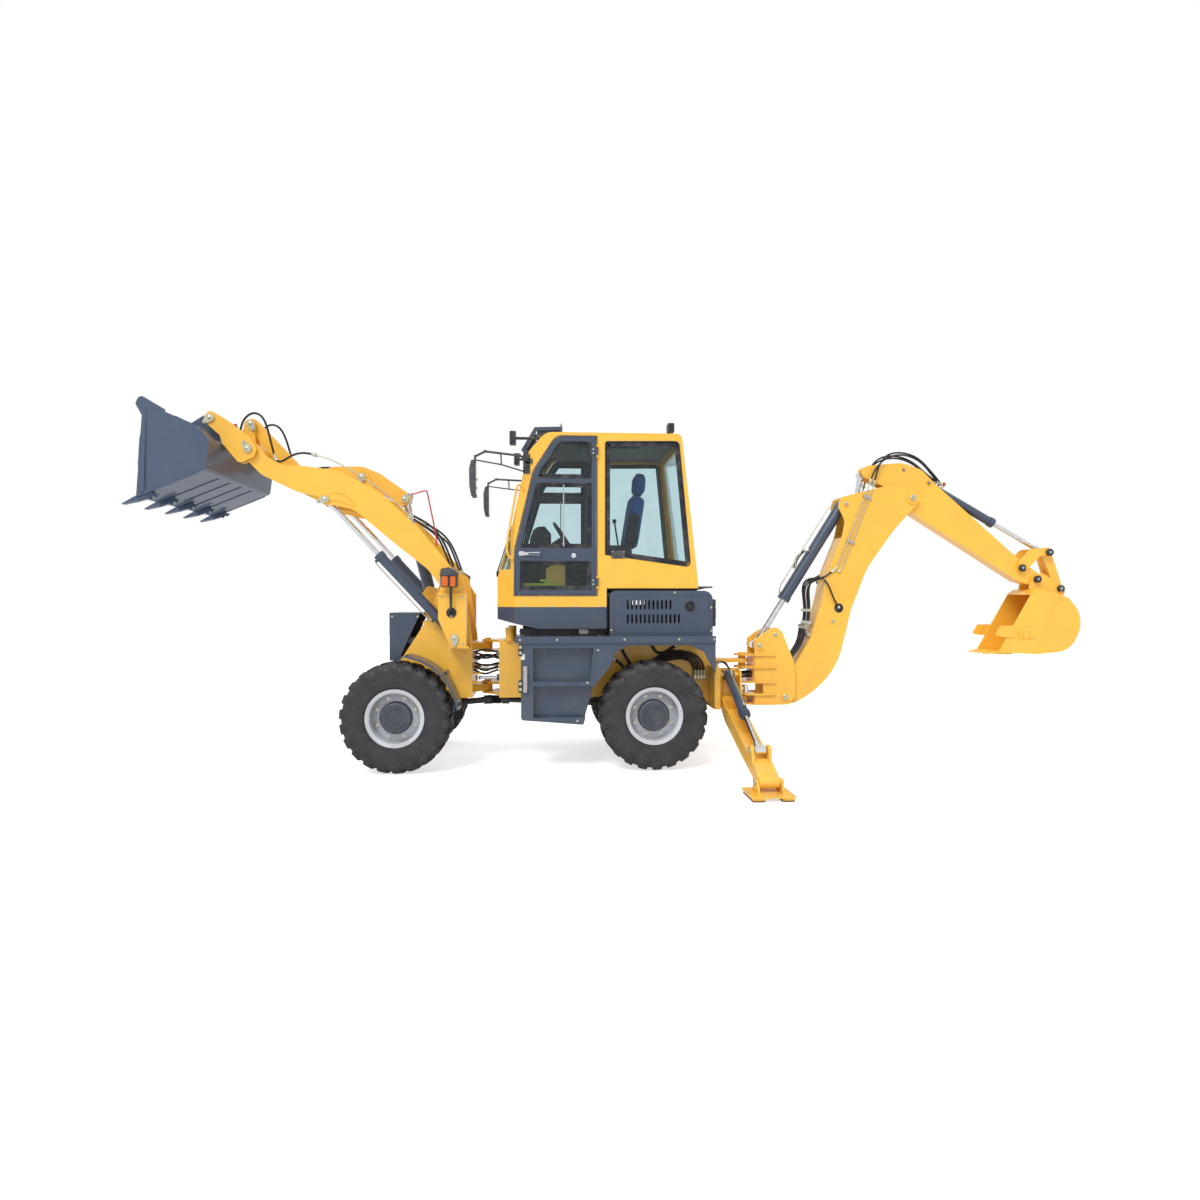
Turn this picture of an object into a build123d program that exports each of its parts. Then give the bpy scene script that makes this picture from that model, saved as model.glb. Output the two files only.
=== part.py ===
from build123d import *

import math
import os

# Backhoe loader, articulated: loader at the front (+X), backhoe at the rear, +Y to the
# machine's left, +Z up.  Millimetres.  Sizes are laid out from the middle of the wheelbase
# at ground level and the finished pieces are moved so that the origin is the middle of the
# bottom of the whole machine.  A point written (x, z) lies in the machine's side plane.

# ---------------------------------------------------------------- driving dimensions
WHEELBASE = 2500
TRACK = 1530
TYRE_RADIUS = 537.5
TYRE_WIDTH = 410
TREAD_HALF = 150         # half the width of the flat tread
WALL_RADIUS = 420        # where the tyre is widest
RIM_RADIUS = 254
RIM_WALL = 12
FLANGE_LIP = 8
RIM_FLANGE = 279
HUB_RADIUS = 157
RIM_SHARE = 0.80          # rim width as a share of the tyre's width

GAP = 0.3                # seat clearance between two pieces that touch
RUNNING_GAP = 8          # side clearance between moving plates
PIN_CLEARANCE = 0.6      # a moving bore round its pin
GLAND_CLEARANCE = 0.6    # a gland round its rod
GLAND = 55               # length of a ram's gland

PIVOT_X = 430            # articulation axis
PIVOT_PIN = 35
FRAME_HALF = 340         # middle of a frame side plate from the centre plane
FRAME_PLATE = 20
FRAME_TOP = 1250
FRAME_BOTTOM = 660
REAR_FRAME_FRONT = 290
REAR_FRAME_BACK = -1900
FRONT_FRAME_BACK = 565

CAB_HALF = 700
CAB_WALL = 30
CAB_FRONT = 300
CAB_BACK = -1735
CAB_FLOOR = 1385
CAB_SILL = 1530
CAB_DECK = 1790          # raised floor over the hood, under the seat
CAB_ROOF = 3350
DOOR_FRONT = 120
DOOR_BACK = -690
DOOR_BOTTOM = 1730
DOOR_TOP = CAB_ROOF - 50
DOOR_THICK = 34
GLASS = 6

PLATFORM_TOP = 1315
PLATFORM_RAIL = 65
PLATFORM_HALF = 900
SHEET = 6
STEP_INNER = 560
CAB_MOUNT = 45

ARM_PIVOT = (760, 1855)
ARM_TIP = (2750, 3170)
ARM_INNER = 490
ARM_PLATE = 30
LIFT_BASE = (720, 1290)
LIFT_EYE = (2010, 2680)
LIFT_Y = 425
ARM_CROSS = (1599, 2621)        # tube between the arms
LEVER_PIVOT = (1740, 2970)
LEVER_REAR = (1300, 2740)
LEVER_FRONT = (2300, 2890)
TILT_BASE = (1050, 1770)
COUPLER_LINK = (2890, 3520)
COUPLER_HOOK = (3110, 3470)
LEVER_INNER = 55
LEVER_PLATE = 25

BUCKET_HALF = 900
BUCKET_SHEET = 14
BUCKET_TEETH = 5

SWING_X = -2350
SWING_PIN = 40
POST_INNER = 150
POST_PLATE = 28
BOOM_FOOT = (-2780, 620)
BOOM_RAM_BASE = (-2500, 1180)
BOOM_RAM_EYE = (-3480, 2730)
DIPPER_PIVOT = (-4230, 2800)
DIPPER_TAIL = (-3700, 3060)
DIPPER_RAM_BASE = (-3330, 1440)
BUCKET_RAM_BASE = (-4440, 2975)
GUIDE_PIVOT = (-5500, 2030)
GUIDE_TIP = (-5815, 2205)
DIPPER_TIP = (-5670, 1905)
BUCKET_LINK_PIN = (-5950, 1800)
BOOM_HALF = 130
BOOM_PLATE = 20
DIPPER_HALF = 80

LEG_PIVOT = (600, 640)          # (y, z)
LEG_FOOT = (2040, 130)          # (y, z)
LEG_RAM_TOP = (560, 900)        # (y, z)
LEG_RAM_EYE = (1760, 348)       # (y, z)
LEG_BARREL = 760
LEG_X = -2070
LEG_HALF = 90
FOOT_LENGTH = 375
FOOT_WIDTH = 350


# rod radii of the rams
LIFT_ROD = 26
TILT_ROD = 30
BOOM_ROD = 32
DIPPER_ROD = 27
BUCKET_ROD = 25
LEG_ROD = 24
SWING_ROD = 24
STEER_ROD = 17


# ---------------------------------------------------------------- drawing helpers
def outline(corners):
    """A flat wire face from corners (a, b) or (a, b, radius), rounded where a radius is given."""
    count = len(corners)
    edges = []
    starts = []
    ends = []
    middles = []
    for i, corner in enumerate(corners):
        here = Vector(corner[0], corner[1])
        before = Vector(*corners[i - 1][:2])
        after = Vector(*corners[(i + 1) % count][:2])
        radius = corner[2] if len(corner) > 2 else 0
        if radius == 0:
            starts.append(here)
            ends.append(here)
            middles.append(None)
            continue
        to_before = (before - here).normalized()
        to_after = (after - here).normalized()
        half = math.radians(to_before.get_angle(to_after)) / 2
        reach = radius / math.tan(half)
        centre = here + (to_before + to_after).normalized() * (radius / math.sin(half))
        starts.append(here + to_before * reach)
        ends.append(here + to_after * reach)
        middles.append(centre + (here - centre).normalized() * radius)
    for i in range(count):
        if middles[i] is not None:
            edges.append(ThreePointArc(starts[i], middles[i], ends[i]))
        nxt = (i + 1) % count
        if (starts[nxt] - ends[i]).length > 0.01:
            edges.append(Line(ends[i], starts[nxt]))
    return make_face(edges)


def side_plate(corners, y0, y1):
    """An outline in the (x, z) plane made solid from y0 to y1."""
    low, high = min(y0, y1), max(y0, y1)
    plane = Plane(origin=(0, high, 0), x_dir=(1, 0, 0), z_dir=(0, -1, 0))
    return extrude(plane * outline(corners), high - low)


def cross_plate(corners, x0, x1):
    """An outline in the (y, z) plane made solid from x0 to x1."""
    low, high = min(x0, x1), max(x0, x1)
    plane = Plane(origin=(low, 0, 0), x_dir=(0, 1, 0), z_dir=(1, 0, 0))
    return extrude(plane * outline(corners), high - low)


def flat_plate(corners, z0, z1):
    """An outline in the (x, y) plane made solid from z0 to z1."""
    low, high = min(z0, z1), max(z0, z1)
    return extrude(Plane.XY.offset(low) * outline(corners), high - low)


def block(x0, x1, y0, y1, z0, z1):
    """A box between two opposite corners."""
    size = (abs(x1 - x0), abs(y1 - y0), abs(z1 - z0))
    centre = ((x0 + x1) / 2, (y0 + y1) / 2, (z0 + z1) / 2)
    return Pos(*centre) * Box(*size)


def pin(point, radius, y0, y1):
    """A round bar along Y through an (x, z) point."""
    plane = Plane(origin=(point[0], min(y0, y1), point[1]), z_dir=(0, 1, 0))
    return extrude(plane * Circle(radius), abs(y1 - y0))


def pin_x(point, radius, x0, x1):
    """A round bar along X through a (y, z) point."""
    plane = Plane(origin=(min(x0, x1), point[0], point[1]), z_dir=(1, 0, 0))
    return extrude(plane * Circle(radius), abs(x1 - x0))


def pin_z(point, radius, z0, z1):
    """An upright round bar through an (x, y) point."""
    plane = Plane(origin=(point[0], point[1], min(z0, z1)), z_dir=(0, 0, 1))
    return extrude(plane * Circle(radius), abs(z1 - z0))


def bar(start, end, radius):
    """A round bar between two points in space."""
    start, end = Vector(*start), Vector(*end)
    return extrude(Plane(origin=start, z_dir=end - start) * Circle(radius), (end - start).length)


def belt(p, rp, q, rq):
    """Corners of a plate that wraps a circle at p and a circle at q, with round ends."""
    dx, dz = q[0] - p[0], q[1] - p[1]
    span = math.hypot(dx, dz)
    turn = math.atan2(dz, dx)
    lean = math.acos((rp - rq) / span)
    points = []
    for centre, radius, side in ((p, rp, 1), (p, rp, -1), (q, rq, -1), (q, rq, 1)):
        angle = turn + side * lean
        points.append((centre[0] + radius * math.cos(angle), centre[1] + radius * math.sin(angle)))
    far_p = (p[0] - rp * math.cos(turn), p[1] - rp * math.sin(turn))
    far_q = (q[0] + rq * math.cos(turn), q[1] + rq * math.sin(turn))
    a, b, c, d = (Vector(*point) for point in points)
    return make_face([
        ThreePointArc(a, Vector(*far_p), b),
        Line(b, c),
        ThreePointArc(c, Vector(*far_q), d),
        Line(d, a),
    ])


def side_link(p, rp, q, rq, y0, y1):
    """A round-ended link plate in the side plane."""
    low, high = min(y0, y1), max(y0, y1)
    plane = Plane(origin=(0, high, 0), x_dir=(1, 0, 0), z_dir=(0, -1, 0))
    return extrude(plane * belt(p, rp, q, rq), high - low)


def both(shape):
    """The shape and its mirror image on the other side of the machine."""
    return shape + mirror(shape, about=Plane.XZ)


def right(shape):
    """The mirror image on the machine's right."""
    return mirror(shape, about=Plane.XZ)


def along(p, q, distance):
    """The (x, z) point at a distance from p towards q."""
    span = math.hypot(q[0] - p[0], q[1] - p[1])
    return (p[0] + (q[0] - p[0]) * distance / span, p[1] + (q[1] - p[1]) * distance / span)


def spread(p, q):
    """The distance between two (x, z) points."""
    return math.hypot(q[0] - p[0], q[1] - p[1])


def ram_barrel(base, eye, y, radius, length, eye_radius, eye_half, rod):
    """A cylinder's barrel from its base pin, hollow, with a base eye and a gland round its rod."""
    tip = along(base, eye, length)
    start = along(base, eye, eye_radius * 0.6)
    body = bar((start[0], y, start[1]), (tip[0], y, tip[1]), radius)
    gland = along(base, eye, length - GLAND)
    body += bar((gland[0], y, gland[1]), (tip[0], y, tip[1]), radius + 7)
    body += pin(base, eye_radius, y - eye_half, y + eye_half)
    bottom = along(base, eye, eye_radius + 25)
    beyond = along(base, eye, length + 5)
    body -= bar((bottom[0], y, bottom[1]), (gland[0], y, gland[1]), rod + 6)
    body -= bar((bottom[0], y, bottom[1]), (beyond[0], y, beyond[1]), rod + GLAND_CLEARANCE)
    return body


def ram_rod(base, eye, y, radius, reach, eye_radius, eye_half):
    """A cylinder's rod: from inside the barrel to the rod's eye with its socket."""
    inner = along(base, eye, reach)
    outer = along(base, eye, spread(base, eye) - eye_radius * 0.6)
    body = bar((inner[0], y, inner[1]), (outer[0], y, outer[1]), radius)
    neck = along(base, eye, spread(base, eye) - eye_radius - 70)
    body += bar((neck[0], y, neck[1]), (outer[0], y, outer[1]), radius + 8)
    return body + pin(eye, eye_radius, y - eye_half, y + eye_half)


# ---------------------------------------------------------------- wheels and axles
WHEEL_Y = TRACK / 2
AXLE_Z = TYRE_RADIUS
FRONT_X = WHEELBASE / 2
REAR_X = -WHEELBASE / 2
DISC_IN = 80             # wheel disc's inner face, outboard of the tyre's middle
DISC_THICK = 16
HUB_CAP = 55


def wheel_profile(points):
    """A (radius, y) outline turned round the Y axis."""
    plane = Plane(origin=(0, 0, 0), x_dir=(1, 0, 0), z_dir=(0, 0, 1))
    return revolve(plane * make_face(Polyline(*points, close=True)), Axis.Y)


def tyre():
    """A tyre about the origin, its axle along Y: bead, bulging walls and a flat tread."""
    half = TYRE_WIDTH / 2
    bead = half * RIM_SHARE - 1
    return wheel_profile([
        (RIM_RADIUS + GAP, -bead), (WALL_RADIUS, -half), (TYRE_RADIUS, -TREAD_HALF),
        (TYRE_RADIUS, TREAD_HALF), (WALL_RADIUS, half), (RIM_RADIUS + GAP, bead),
    ])


def rim():
    """A rim about the origin: barrel with flanges, dished disc and hub cap, facing +Y."""
    half = TYRE_WIDTH / 2 * RIM_SHARE
    inner = RIM_RADIUS - RIM_WALL
    return wheel_profile([
        (0, DISC_IN - DISC_THICK), (HUB_RADIUS - 10, DISC_IN - DISC_THICK), (inner, 0),
        (inner, -half - FLANGE_LIP), (RIM_RADIUS, -half), (RIM_RADIUS, half),
        (RIM_FLANGE, half + FLANGE_LIP), (RIM_FLANGE, half + 2 * FLANGE_LIP),
        (inner, half + FLANGE_LIP), (inner, DISC_IN - 40), (HUB_RADIUS, DISC_IN),
        (HUB_RADIUS, DISC_IN + 30), (HUB_RADIUS - 20, DISC_IN + HUB_CAP), (0, DISC_IN + HUB_CAP),
    ])


def wheel_place(front, left):
    """Where a wheel stands; one on the right is turned about, so its cap faces out."""
    x = FRONT_X if front else REAR_X
    if left:
        return Pos(x, WHEEL_Y, AXLE_Z)
    return Pos(x, -WHEEL_Y, AXLE_Z) * Rot(0, 0, 180)


AXLE_TUBE = 72
AXLE_SEAT = AXLE_Z + AXLE_TUBE + 40      # top of the pads that carry the frame


# the differential's housing, (radius, y)
DIFFERENTIAL = ((0, -175), (95, -150), (165, -65), (165, 65), (95, 150), (0, 175))


def axle(x):
    """A drive axle with its differential, hub drums and frame pads."""
    body = Pos(x, 0, AXLE_Z) * Rot(90, 0, 0) * Cylinder(AXLE_TUBE, 2 * (WHEEL_Y - 150))
    body += Pos(x, 0, AXLE_Z) * wheel_profile(DIFFERENTIAL)
    drum_end = WHEEL_Y + DISC_IN - 16 - GAP
    body += both(pin((x, AXLE_Z), 125, WHEEL_Y - 165, drum_end))
    body += both(block(x - 90, x + 90, FRAME_HALF - 60, FRAME_HALF + 60, AXLE_Z, AXLE_SEAT))
    return body


SHAFT_Z = 600


def rear_axle():
    """The rear axle with the prop shaft that runs forward to the articulation."""
    shaft = bar((REAR_X + 100, 0, AXLE_Z), (PIVOT_X - 160, 0, SHAFT_Z), 32)
    joint = bar((PIVOT_X - 230, 0, SHAFT_Z - 2), (PIVOT_X - 150, 0, SHAFT_Z), 48)
    return axle(REAR_X) + shaft + joint


def front_axle():
    """The front axle with its short shaft from the articulation."""
    shaft = bar((PIVOT_X - 20, 0, SHAFT_Z), (FRONT_X - 100, 0, AXLE_Z), 32)
    joint = bar((PIVOT_X - 40, 0, SHAFT_Z), (PIVOT_X + 40, 0, SHAFT_Z - 3), 48)
    return axle(FRONT_X) + shaft + joint


# ---------------------------------------------------------------- rear frame
HINGE_PLATE = 24
# each hinge: the middle height of the front frame's tongue, and half the gap it works in
HINGES = ((1185, 42), (742, 42))
STEER_Z = 862
STEER_BASE = (-65, 205)          # (x, y) of the steering ram's pin in the rear frame
STEER_EYE = (512, 278)           # (x, y) of its rod's eye
TOWER_BACK = -1960
SWING_LUGS = (1012, 598)       # middle heights of the frame's two swing lugs
SWING_LUG_THICK = 44
SWING_RAM_Y = 150
SWING_RAM_Z = 716
SWING_RAM_BASE = -1640
SWING_BARREL = 42
SWING_NOTCH = -2545            # how far back the cheeks are notched for the swing rams
LEG_BRACKET_BACK = LEG_X - LEG_HALF - 12


def rear_frame():
    """Chassis behind the articulation: side plates, hinge lugs, cab mounts, rear tower."""
    inner, outer = FRAME_HALF - FRAME_PLATE / 2, FRAME_HALF + FRAME_PLATE / 2
    side = side_plate([
        (REAR_FRAME_FRONT, FRAME_BOTTOM), (REAR_FRAME_FRONT, FRAME_TOP, 20),
        (REAR_FRAME_BACK, FRAME_TOP), (REAR_FRAME_BACK, FRAME_BOTTOM - 60),
        (REAR_X - 150, FRAME_BOTTOM - 6, 40), (REAR_X - 120, AXLE_SEAT), (REAR_X + 120, AXLE_SEAT),
        (REAR_X + 150, FRAME_BOTTOM, 20),
    ], inner, outer)
    body = both(side)
    for x in (REAR_FRAME_FRONT - 25, -700):
        body += block(x, x + 25, -inner, inner, FRAME_BOTTOM + 60, FRAME_TOP)
    # the steering ram's way through the front plate, and its bracket
    body -= block(REAR_FRAME_FRONT - 40, REAR_FRAME_FRONT + 10, 150, 325, STEER_Z - 50, STEER_Z + 50)
    for low in (STEER_Z - 56, STEER_Z + 40):
        body += flat_plate([
            (STEER_BASE[0] - 60, inner + 2), (STEER_BASE[0] - 40, STEER_BASE[1] - 40, 35),
            (STEER_BASE[0] + 40, STEER_BASE[1] - 40, 35), (STEER_BASE[0] + 60, inner + 2),
        ], low, low + 16)
    body += pin_z(STEER_BASE, 18, STEER_Z - 60, STEER_Z + 60)
    # rear tower: a box across the back that carries the swing lugs and the legs
    tower = block(REAR_FRAME_BACK, TOWER_BACK, -LEG_PIVOT[0] - 90, LEG_PIVOT[0] + 90, 560, 985)
    tower += block(REAR_FRAME_BACK, TOWER_BACK, -300, 300, 980, FRAME_TOP)
    body += tower
    # hinge lugs round each tongue
    for height, gap in HINGES:
        for low in (height - gap - HINGE_PLATE, height + gap):
            lug = flat_plate([
                (REAR_FRAME_FRONT - 60, -260), (REAR_FRAME_FRONT, -260), (PIVOT_X, -95, 90),
                (PIVOT_X + 95, 0, 80), (PIVOT_X, 95, 90), (REAR_FRAME_FRONT, 260),
                (REAR_FRAME_FRONT - 60, 260),
            ], low, low + HINGE_PLATE)
            body += lug
        top = height + gap + HINGE_PLATE
        bottom = height - gap - HINGE_PLATE
        body += pin_z((PIVOT_X, 0), PIVOT_PIN, bottom - 10, top + 12)
    swing_bore = bar((TOWER_BACK - 10, SWING_RAM_Y, SWING_RAM_Z),
                     (REAR_FRAME_BACK + 10, SWING_RAM_Y, SWING_RAM_Z), SWING_BARREL + GAP)
    body -= both(swing_bore)
    # swing lugs
    for height in SWING_LUGS:
        body += flat_plate([
            (TOWER_BACK + 10, -136), (SWING_X - 70, -78, 60), (SWING_X - 70, 78, 60),
            (TOWER_BACK + 10, 136),
        ], height - SWING_LUG_THICK / 2, height + SWING_LUG_THICK / 2)
        body -= pin_z((SWING_X, 0), SWING_PIN + PIN_CLEARANCE, height - 60, height + 60)
    # brackets that hold each leg's pin and its ram's pin, fore and aft of the leg
    y_leg, z_leg = LEG_PIVOT
    y_ram, z_ram = LEG_RAM_TOP
    bracket = cross_plate([
        (470, 560), (y_leg + 75, 560, 70), (y_leg + 75, z_leg + 80, 50), (y_ram + 75, z_ram - 60, 60),
        (y_ram + 70, z_ram + 65, 60), (470, z_ram + 65),
    ], LEG_BRACKET_BACK - 18, LEG_BRACKET_BACK)
    web = block(TOWER_BACK - 5, LEG_BRACKET_BACK - 5, 470, 490, 560, z_ram + 65)
    body += both(bracket + web)
    for y, z in (LEG_PIVOT, LEG_RAM_TOP):
        body += both(pin_x((y, z), 25, TOWER_BACK + 10, LEG_BRACKET_BACK - 30))
    # cab and hood mounts
    for x in (180, -620):
        body += both(pin_z((x, FRAME_HALF), CAB_MOUNT, FRAME_TOP - 5, CAB_FLOOR - GAP))
    # platform outriggers
    for x in (60, -700, -1800):
        body += both(block(x, x - 50, FRAME_HALF, STEP_INNER - 10, FRAME_TOP - 60,
                           PLATFORM_TOP - SHEET - GAP))
    return body


def swing_point(x):
    """A point on the left swing ram's axis."""
    return (x, SWING_RAM_Y, SWING_RAM_Z)


def swing_barrels():
    """The pair of swing ram barrels that stand in the rear tower."""
    mouth = SWING_X + 215
    barrel = bar(swing_point(SWING_RAM_BASE), swing_point(mouth), SWING_BARREL)
    barrel -= bar(swing_point(SWING_RAM_BASE - 25), swing_point(mouth + GLAND), SWING_ROD + 6)
    barrel -= bar(swing_point(SWING_RAM_BASE - 25), swing_point(mouth - 10), SWING_ROD + GLAND_CLEARANCE)
    return both(barrel)


def engine():
    """The engine as one plain block with its exhaust outlet."""
    body = block(-1720, -960, -260, 260, 800, 1620)
    pipe = bar((-1640, 200, 1610), (-1640, 745, 1610), 30)
    mount = block(-1300, -1220, 250, FRAME_HALF - FRAME_PLATE / 2 - GAP, 900, 960)
    mount += block(-1640, -1560, 250, FRAME_HALF - FRAME_PLATE / 2 - GAP, 900, 960)
    return body + pipe + both(mount)


# ---------------------------------------------------------------- bodywork
HOOD_FRONT = -830
HOOD_BACK = -1870
HOOD_TOP = CAB_DECK - 25
HOOD_HALF = 735


def hood():
    """The engine hood: a hollow cover with louvred sides, open below."""
    floor = PLATFORM_TOP + GAP
    body = side_plate([
        (HOOD_FRONT, floor), (HOOD_FRONT, HOOD_TOP, 60), (HOOD_BACK, HOOD_TOP, 90), (HOOD_BACK, floor),
    ], -HOOD_HALF, HOOD_HALF)
    body -= side_plate([
        (HOOD_FRONT - SHEET, floor - 10), (HOOD_FRONT - SHEET, HOOD_TOP - SHEET, 54),
        (HOOD_BACK + SHEET, HOOD_TOP - SHEET, 84), (HOOD_BACK + SHEET, floor - 10),
    ], -HOOD_HALF + SHEET, HOOD_HALF - SHEET)
    slots = []
    for count, z in ((11, 1625), (13, 1485)):
        for i in range(count):
            x = -1010 - i * 43
            slots.append(block(x - 9, x + 9, HOOD_HALF - 30, HOOD_HALF + 30, z - 45, z + 45))
    cutters = Part() + slots
    body -= cutters
    body -= right(cutters)
    body -= bar((-1640, 600, 1610), (-1640, 800, 1610), 50)
    return body


def platform():
    """Running boards on both sides with step boxes and rear wheel arches."""
    top, under = PLATFORM_TOP, PLATFORM_TOP - PLATFORM_RAIL
    seat_z = top - SHEET + 1
    inner = FRAME_HALF + CAB_MOUNT + 5
    face = PLATFORM_HALF - 20
    deck = block(110, -1870, inner, PLATFORM_HALF, top - SHEET, top)
    deck += block(110, -1870, PLATFORM_HALF - SHEET, PLATFORM_HALF, under, top)
    corners = [(50, seat_z), (50, 500, 30), (-560, 450, 20), (-790, seat_z)]
    box = side_plate(corners, STEP_INNER, face)
    box -= side_face(grown(corners, -8), STEP_INNER + 8, face - 98)
    for z0, z1 in ((880, 1200), (520, 830)):
        slant = (z0 - 880) * 0.35
        box -= side_plate([
            (-70, z0), (-70, z1), (-655 + slant, z1), (-625 + slant, z0),
        ], face - 90, face + 10)
    arch = side_plate([
        (-700, seat_z), (-1870, seat_z), (-1870, 940), (-1750, 1160), (-1600, 1225, 150),
        (-900, 1225, 200), (-800, 1000), (-745, 1000),
    ], face - SHEET, face)
    rear = block(-1870, -1870 + SHEET, STEP_INNER, face, 1150, seat_z)
    return both(deck + box + arch + rear)


# ---------------------------------------------------------------- cab
# the cab's side outline: (x, z) corners with their rounding
CAB_SIDE = (
    (CAB_FRONT, CAB_SILL), (CAB_FRONT, 1900, 60), (170, 2300, 300), (-10, CAB_ROOF - 210, 250),
    (-190, CAB_ROOF, 160), (-1560, CAB_ROOF, 60), (CAB_BACK, CAB_DECK),
    (-800, CAB_DECK), (-800, CAB_SILL),
)
VISOR_SLATS = 6
VISOR_HALF = 360
CORNER_X = 110
CORNER_Y = CAB_HALF - 230
SCREEN_HALF = CORNER_Y - 70
REAR_PANE_HALF = CAB_HALF - 180
SCREEN_LOW, SCREEN_HIGH = 1980, CAB_ROOF - 170
REAR_PANE_LOW, REAR_PANE_HIGH = CAB_DECK + 220, CAB_ROOF - 130
CORNER_PANE = (CORNER_Y + 20, CAB_HALF - 60, SCREEN_LOW, CAB_ROOF - 250)     # (y0, y1, z0, z1)
CAB_CLIP = (CAB_FLOOR + 15, CAB_ROOF + 50)        # heights that take in the whole cab plan
DOOR_HINGE = (DOOR_BACK - 12, CAB_HALF + 22)       # (x, y)
HINGE_HEIGHTS = (DOOR_BOTTOM + 120, DOOR_TOP - 140)
HINGE_PIN = 6


def cab_plan(inset):
    """The cab's plan: straight sides with the front corners cut back."""
    return [
        (CAB_FRONT + 5 - inset, -CORNER_Y + inset * 0.4, 30),
        (CAB_FRONT + 5 - inset, CORNER_Y - inset * 0.4, 30),
        (CORNER_X - inset * 0.4, CAB_HALF - inset, 30), (CAB_BACK + inset, CAB_HALF - inset, 25),
        (CAB_BACK + inset, -CAB_HALF + inset, 25), (CORNER_X - inset * 0.4, -CAB_HALF + inset, 30),
    ]


DOOR_SIDE = (
    (DOOR_FRONT - 10, DOOR_BOTTOM), (DOOR_FRONT - 15, 2180, 400), (-80, DOOR_TOP - 340, 300),
    (-300, DOOR_TOP, 120), (DOOR_BACK, DOOR_TOP), (DOOR_BACK, DOOR_BOTTOM),
)


def grown(corners, amount):
    """A convex outline moved outwards by an amount, as a face."""
    return offset(outline(corners), amount=amount, kind=Kind.INTERSECTION)


def side_face(face, y0, y1):
    """A face drawn in the (x, z) plane made solid from y0 to y1."""
    low, high = min(y0, y1), max(y0, y1)
    plane = Plane(origin=(0, high, 0), x_dir=(1, 0, 0), z_dir=(0, -1, 0))
    return extrude(plane * face, high - low)


REAR_WINDOW = (
    (-790, CAB_DECK + 340), (-790, CAB_ROOF - 90, 30), (-1530, CAB_ROOF - 80, 60), (-1650, CAB_DECK + 220, 60),
)


def cab_shell():
    """The cab's painted shell: hollow, with its door openings and windows cut."""
    body = side_plate(CAB_SIDE, -CAB_HALF, CAB_HALF) & flat_plate(cab_plan(0), *CAB_CLIP)
    inner_side = grown(CAB_SIDE, -CAB_WALL)
    cavity = side_face(inner_side, -CAB_HALF, CAB_HALF) & flat_plate(cab_plan(CAB_WALL), *CAB_CLIP)
    body -= cavity
    body -= block(CAB_FRONT - CAB_WALL - 5, -800 + CAB_WALL, -CORNER_Y + 20, CORNER_Y - 20, CAB_SILL - 10,
                  CAB_SILL + CAB_WALL + 10)
    body -= block(60, -800 + CAB_WALL, -CAB_HALF + CAB_WALL, CAB_HALF - CAB_WALL, CAB_SILL - 10,
                  CAB_SILL + CAB_WALL + 10)
    # door openings
    door_hole = side_face(grown(DOOR_SIDE, 5), CAB_HALF - 120, CAB_HALF + 50)
    body -= both(door_hole)
    # rear side windows
    body -= both(side_plate(REAR_WINDOW, CAB_HALF - 60, CAB_HALF + 50))
    # windscreen, in the leaning front, and the rear window
    body -= block(-400, 400, -SCREEN_HALF, SCREEN_HALF, SCREEN_LOW, SCREEN_HIGH)
    body -= block(-1500, CAB_BACK - 100, -REAR_PANE_HALF, REAR_PANE_HALF, REAR_PANE_LOW, REAR_PANE_HIGH)
    # front corner windows
    y0, y1, z0, z1 = CORNER_PANE
    corner = cross_plate([(y0, z0), (y1, z0), (y1, z1), (y0, z1)], -150, 400)
    body -= both(corner)
    # roof visor: slats over the windscreen, on three frames fixed to the roof
    low, high = (50, CAB_ROOF - 114), (-84, CAB_ROOF + 97)
    visor = []
    for i in range(VISOR_SLATS):
        x, z = along(low, high, (i + 0.5) * spread(low, high) / VISOR_SLATS)
        visor.append(side_link((x + 7, z - 11), 5, (x - 7, z + 11), 5, -VISOR_HALF, VISOR_HALF))
    for y in (-VISOR_HALF, 0, VISOR_HALF):
        visor.append(side_plate([
            (66, CAB_ROOF - 128), (-76, CAB_ROOF + 118, 15), (-365, CAB_ROOF + 128), (-365, CAB_ROOF - 10),
            (-330, CAB_ROOF - 10), (-330, CAB_ROOF + 90), (-100, CAB_ROOF + 80), (28, CAB_ROOF - 145),
        ], y - 6, y + 6))
        visor.append(block(-120, 45, y - 6, y + 6, CAB_ROOF - 144, CAB_ROOF - 126))
    # hinge lugs and pins for the doors
    hinge_x, hinge_y = DOOR_HINGE
    for z in HINGE_HEIGHTS:
        lugs = pin_z(DOOR_HINGE, HINGE_PIN, z - 60, z + 60)
        for low in (z - 60, z + 44):
            lugs += block(hinge_x - 14, hinge_x + 6, CAB_HALF - 5, hinge_y + 12, low, low + 16)
        body += both(lugs)
    return body + visor


def cab_floor():
    """The floor pan and skirt that the cab shell stands on."""
    top = CAB_SILL - GAP
    low = CAB_FLOOR
    body = flat_plate([
        (CAB_FRONT, -CORNER_Y), (CAB_FRONT, CORNER_Y), (CORNER_X, CAB_HALF), (-800, CAB_HALF),
        (-800, -CAB_HALF), (CORNER_X, -CAB_HALF),
    ], low, top)
    body &= side_plate([
        (CAB_FRONT + 5, top + 1), (CAB_FRONT + 5, top - 50), (-110, low), (-801, low), (-801, top + 1),
    ], -CAB_HALF - 5, CAB_HALF + 5)
    body -= flat_plate([
        (CAB_FRONT - 90, -CORNER_Y + 20), (CAB_FRONT - 90, CORNER_Y - 20), (60, CAB_HALF - 40),
        (-760, CAB_HALF - 40), (-760, -CAB_HALF + 40), (60, -CAB_HALF + 40),
    ], top - 55, top + 5)
    return body


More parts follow.
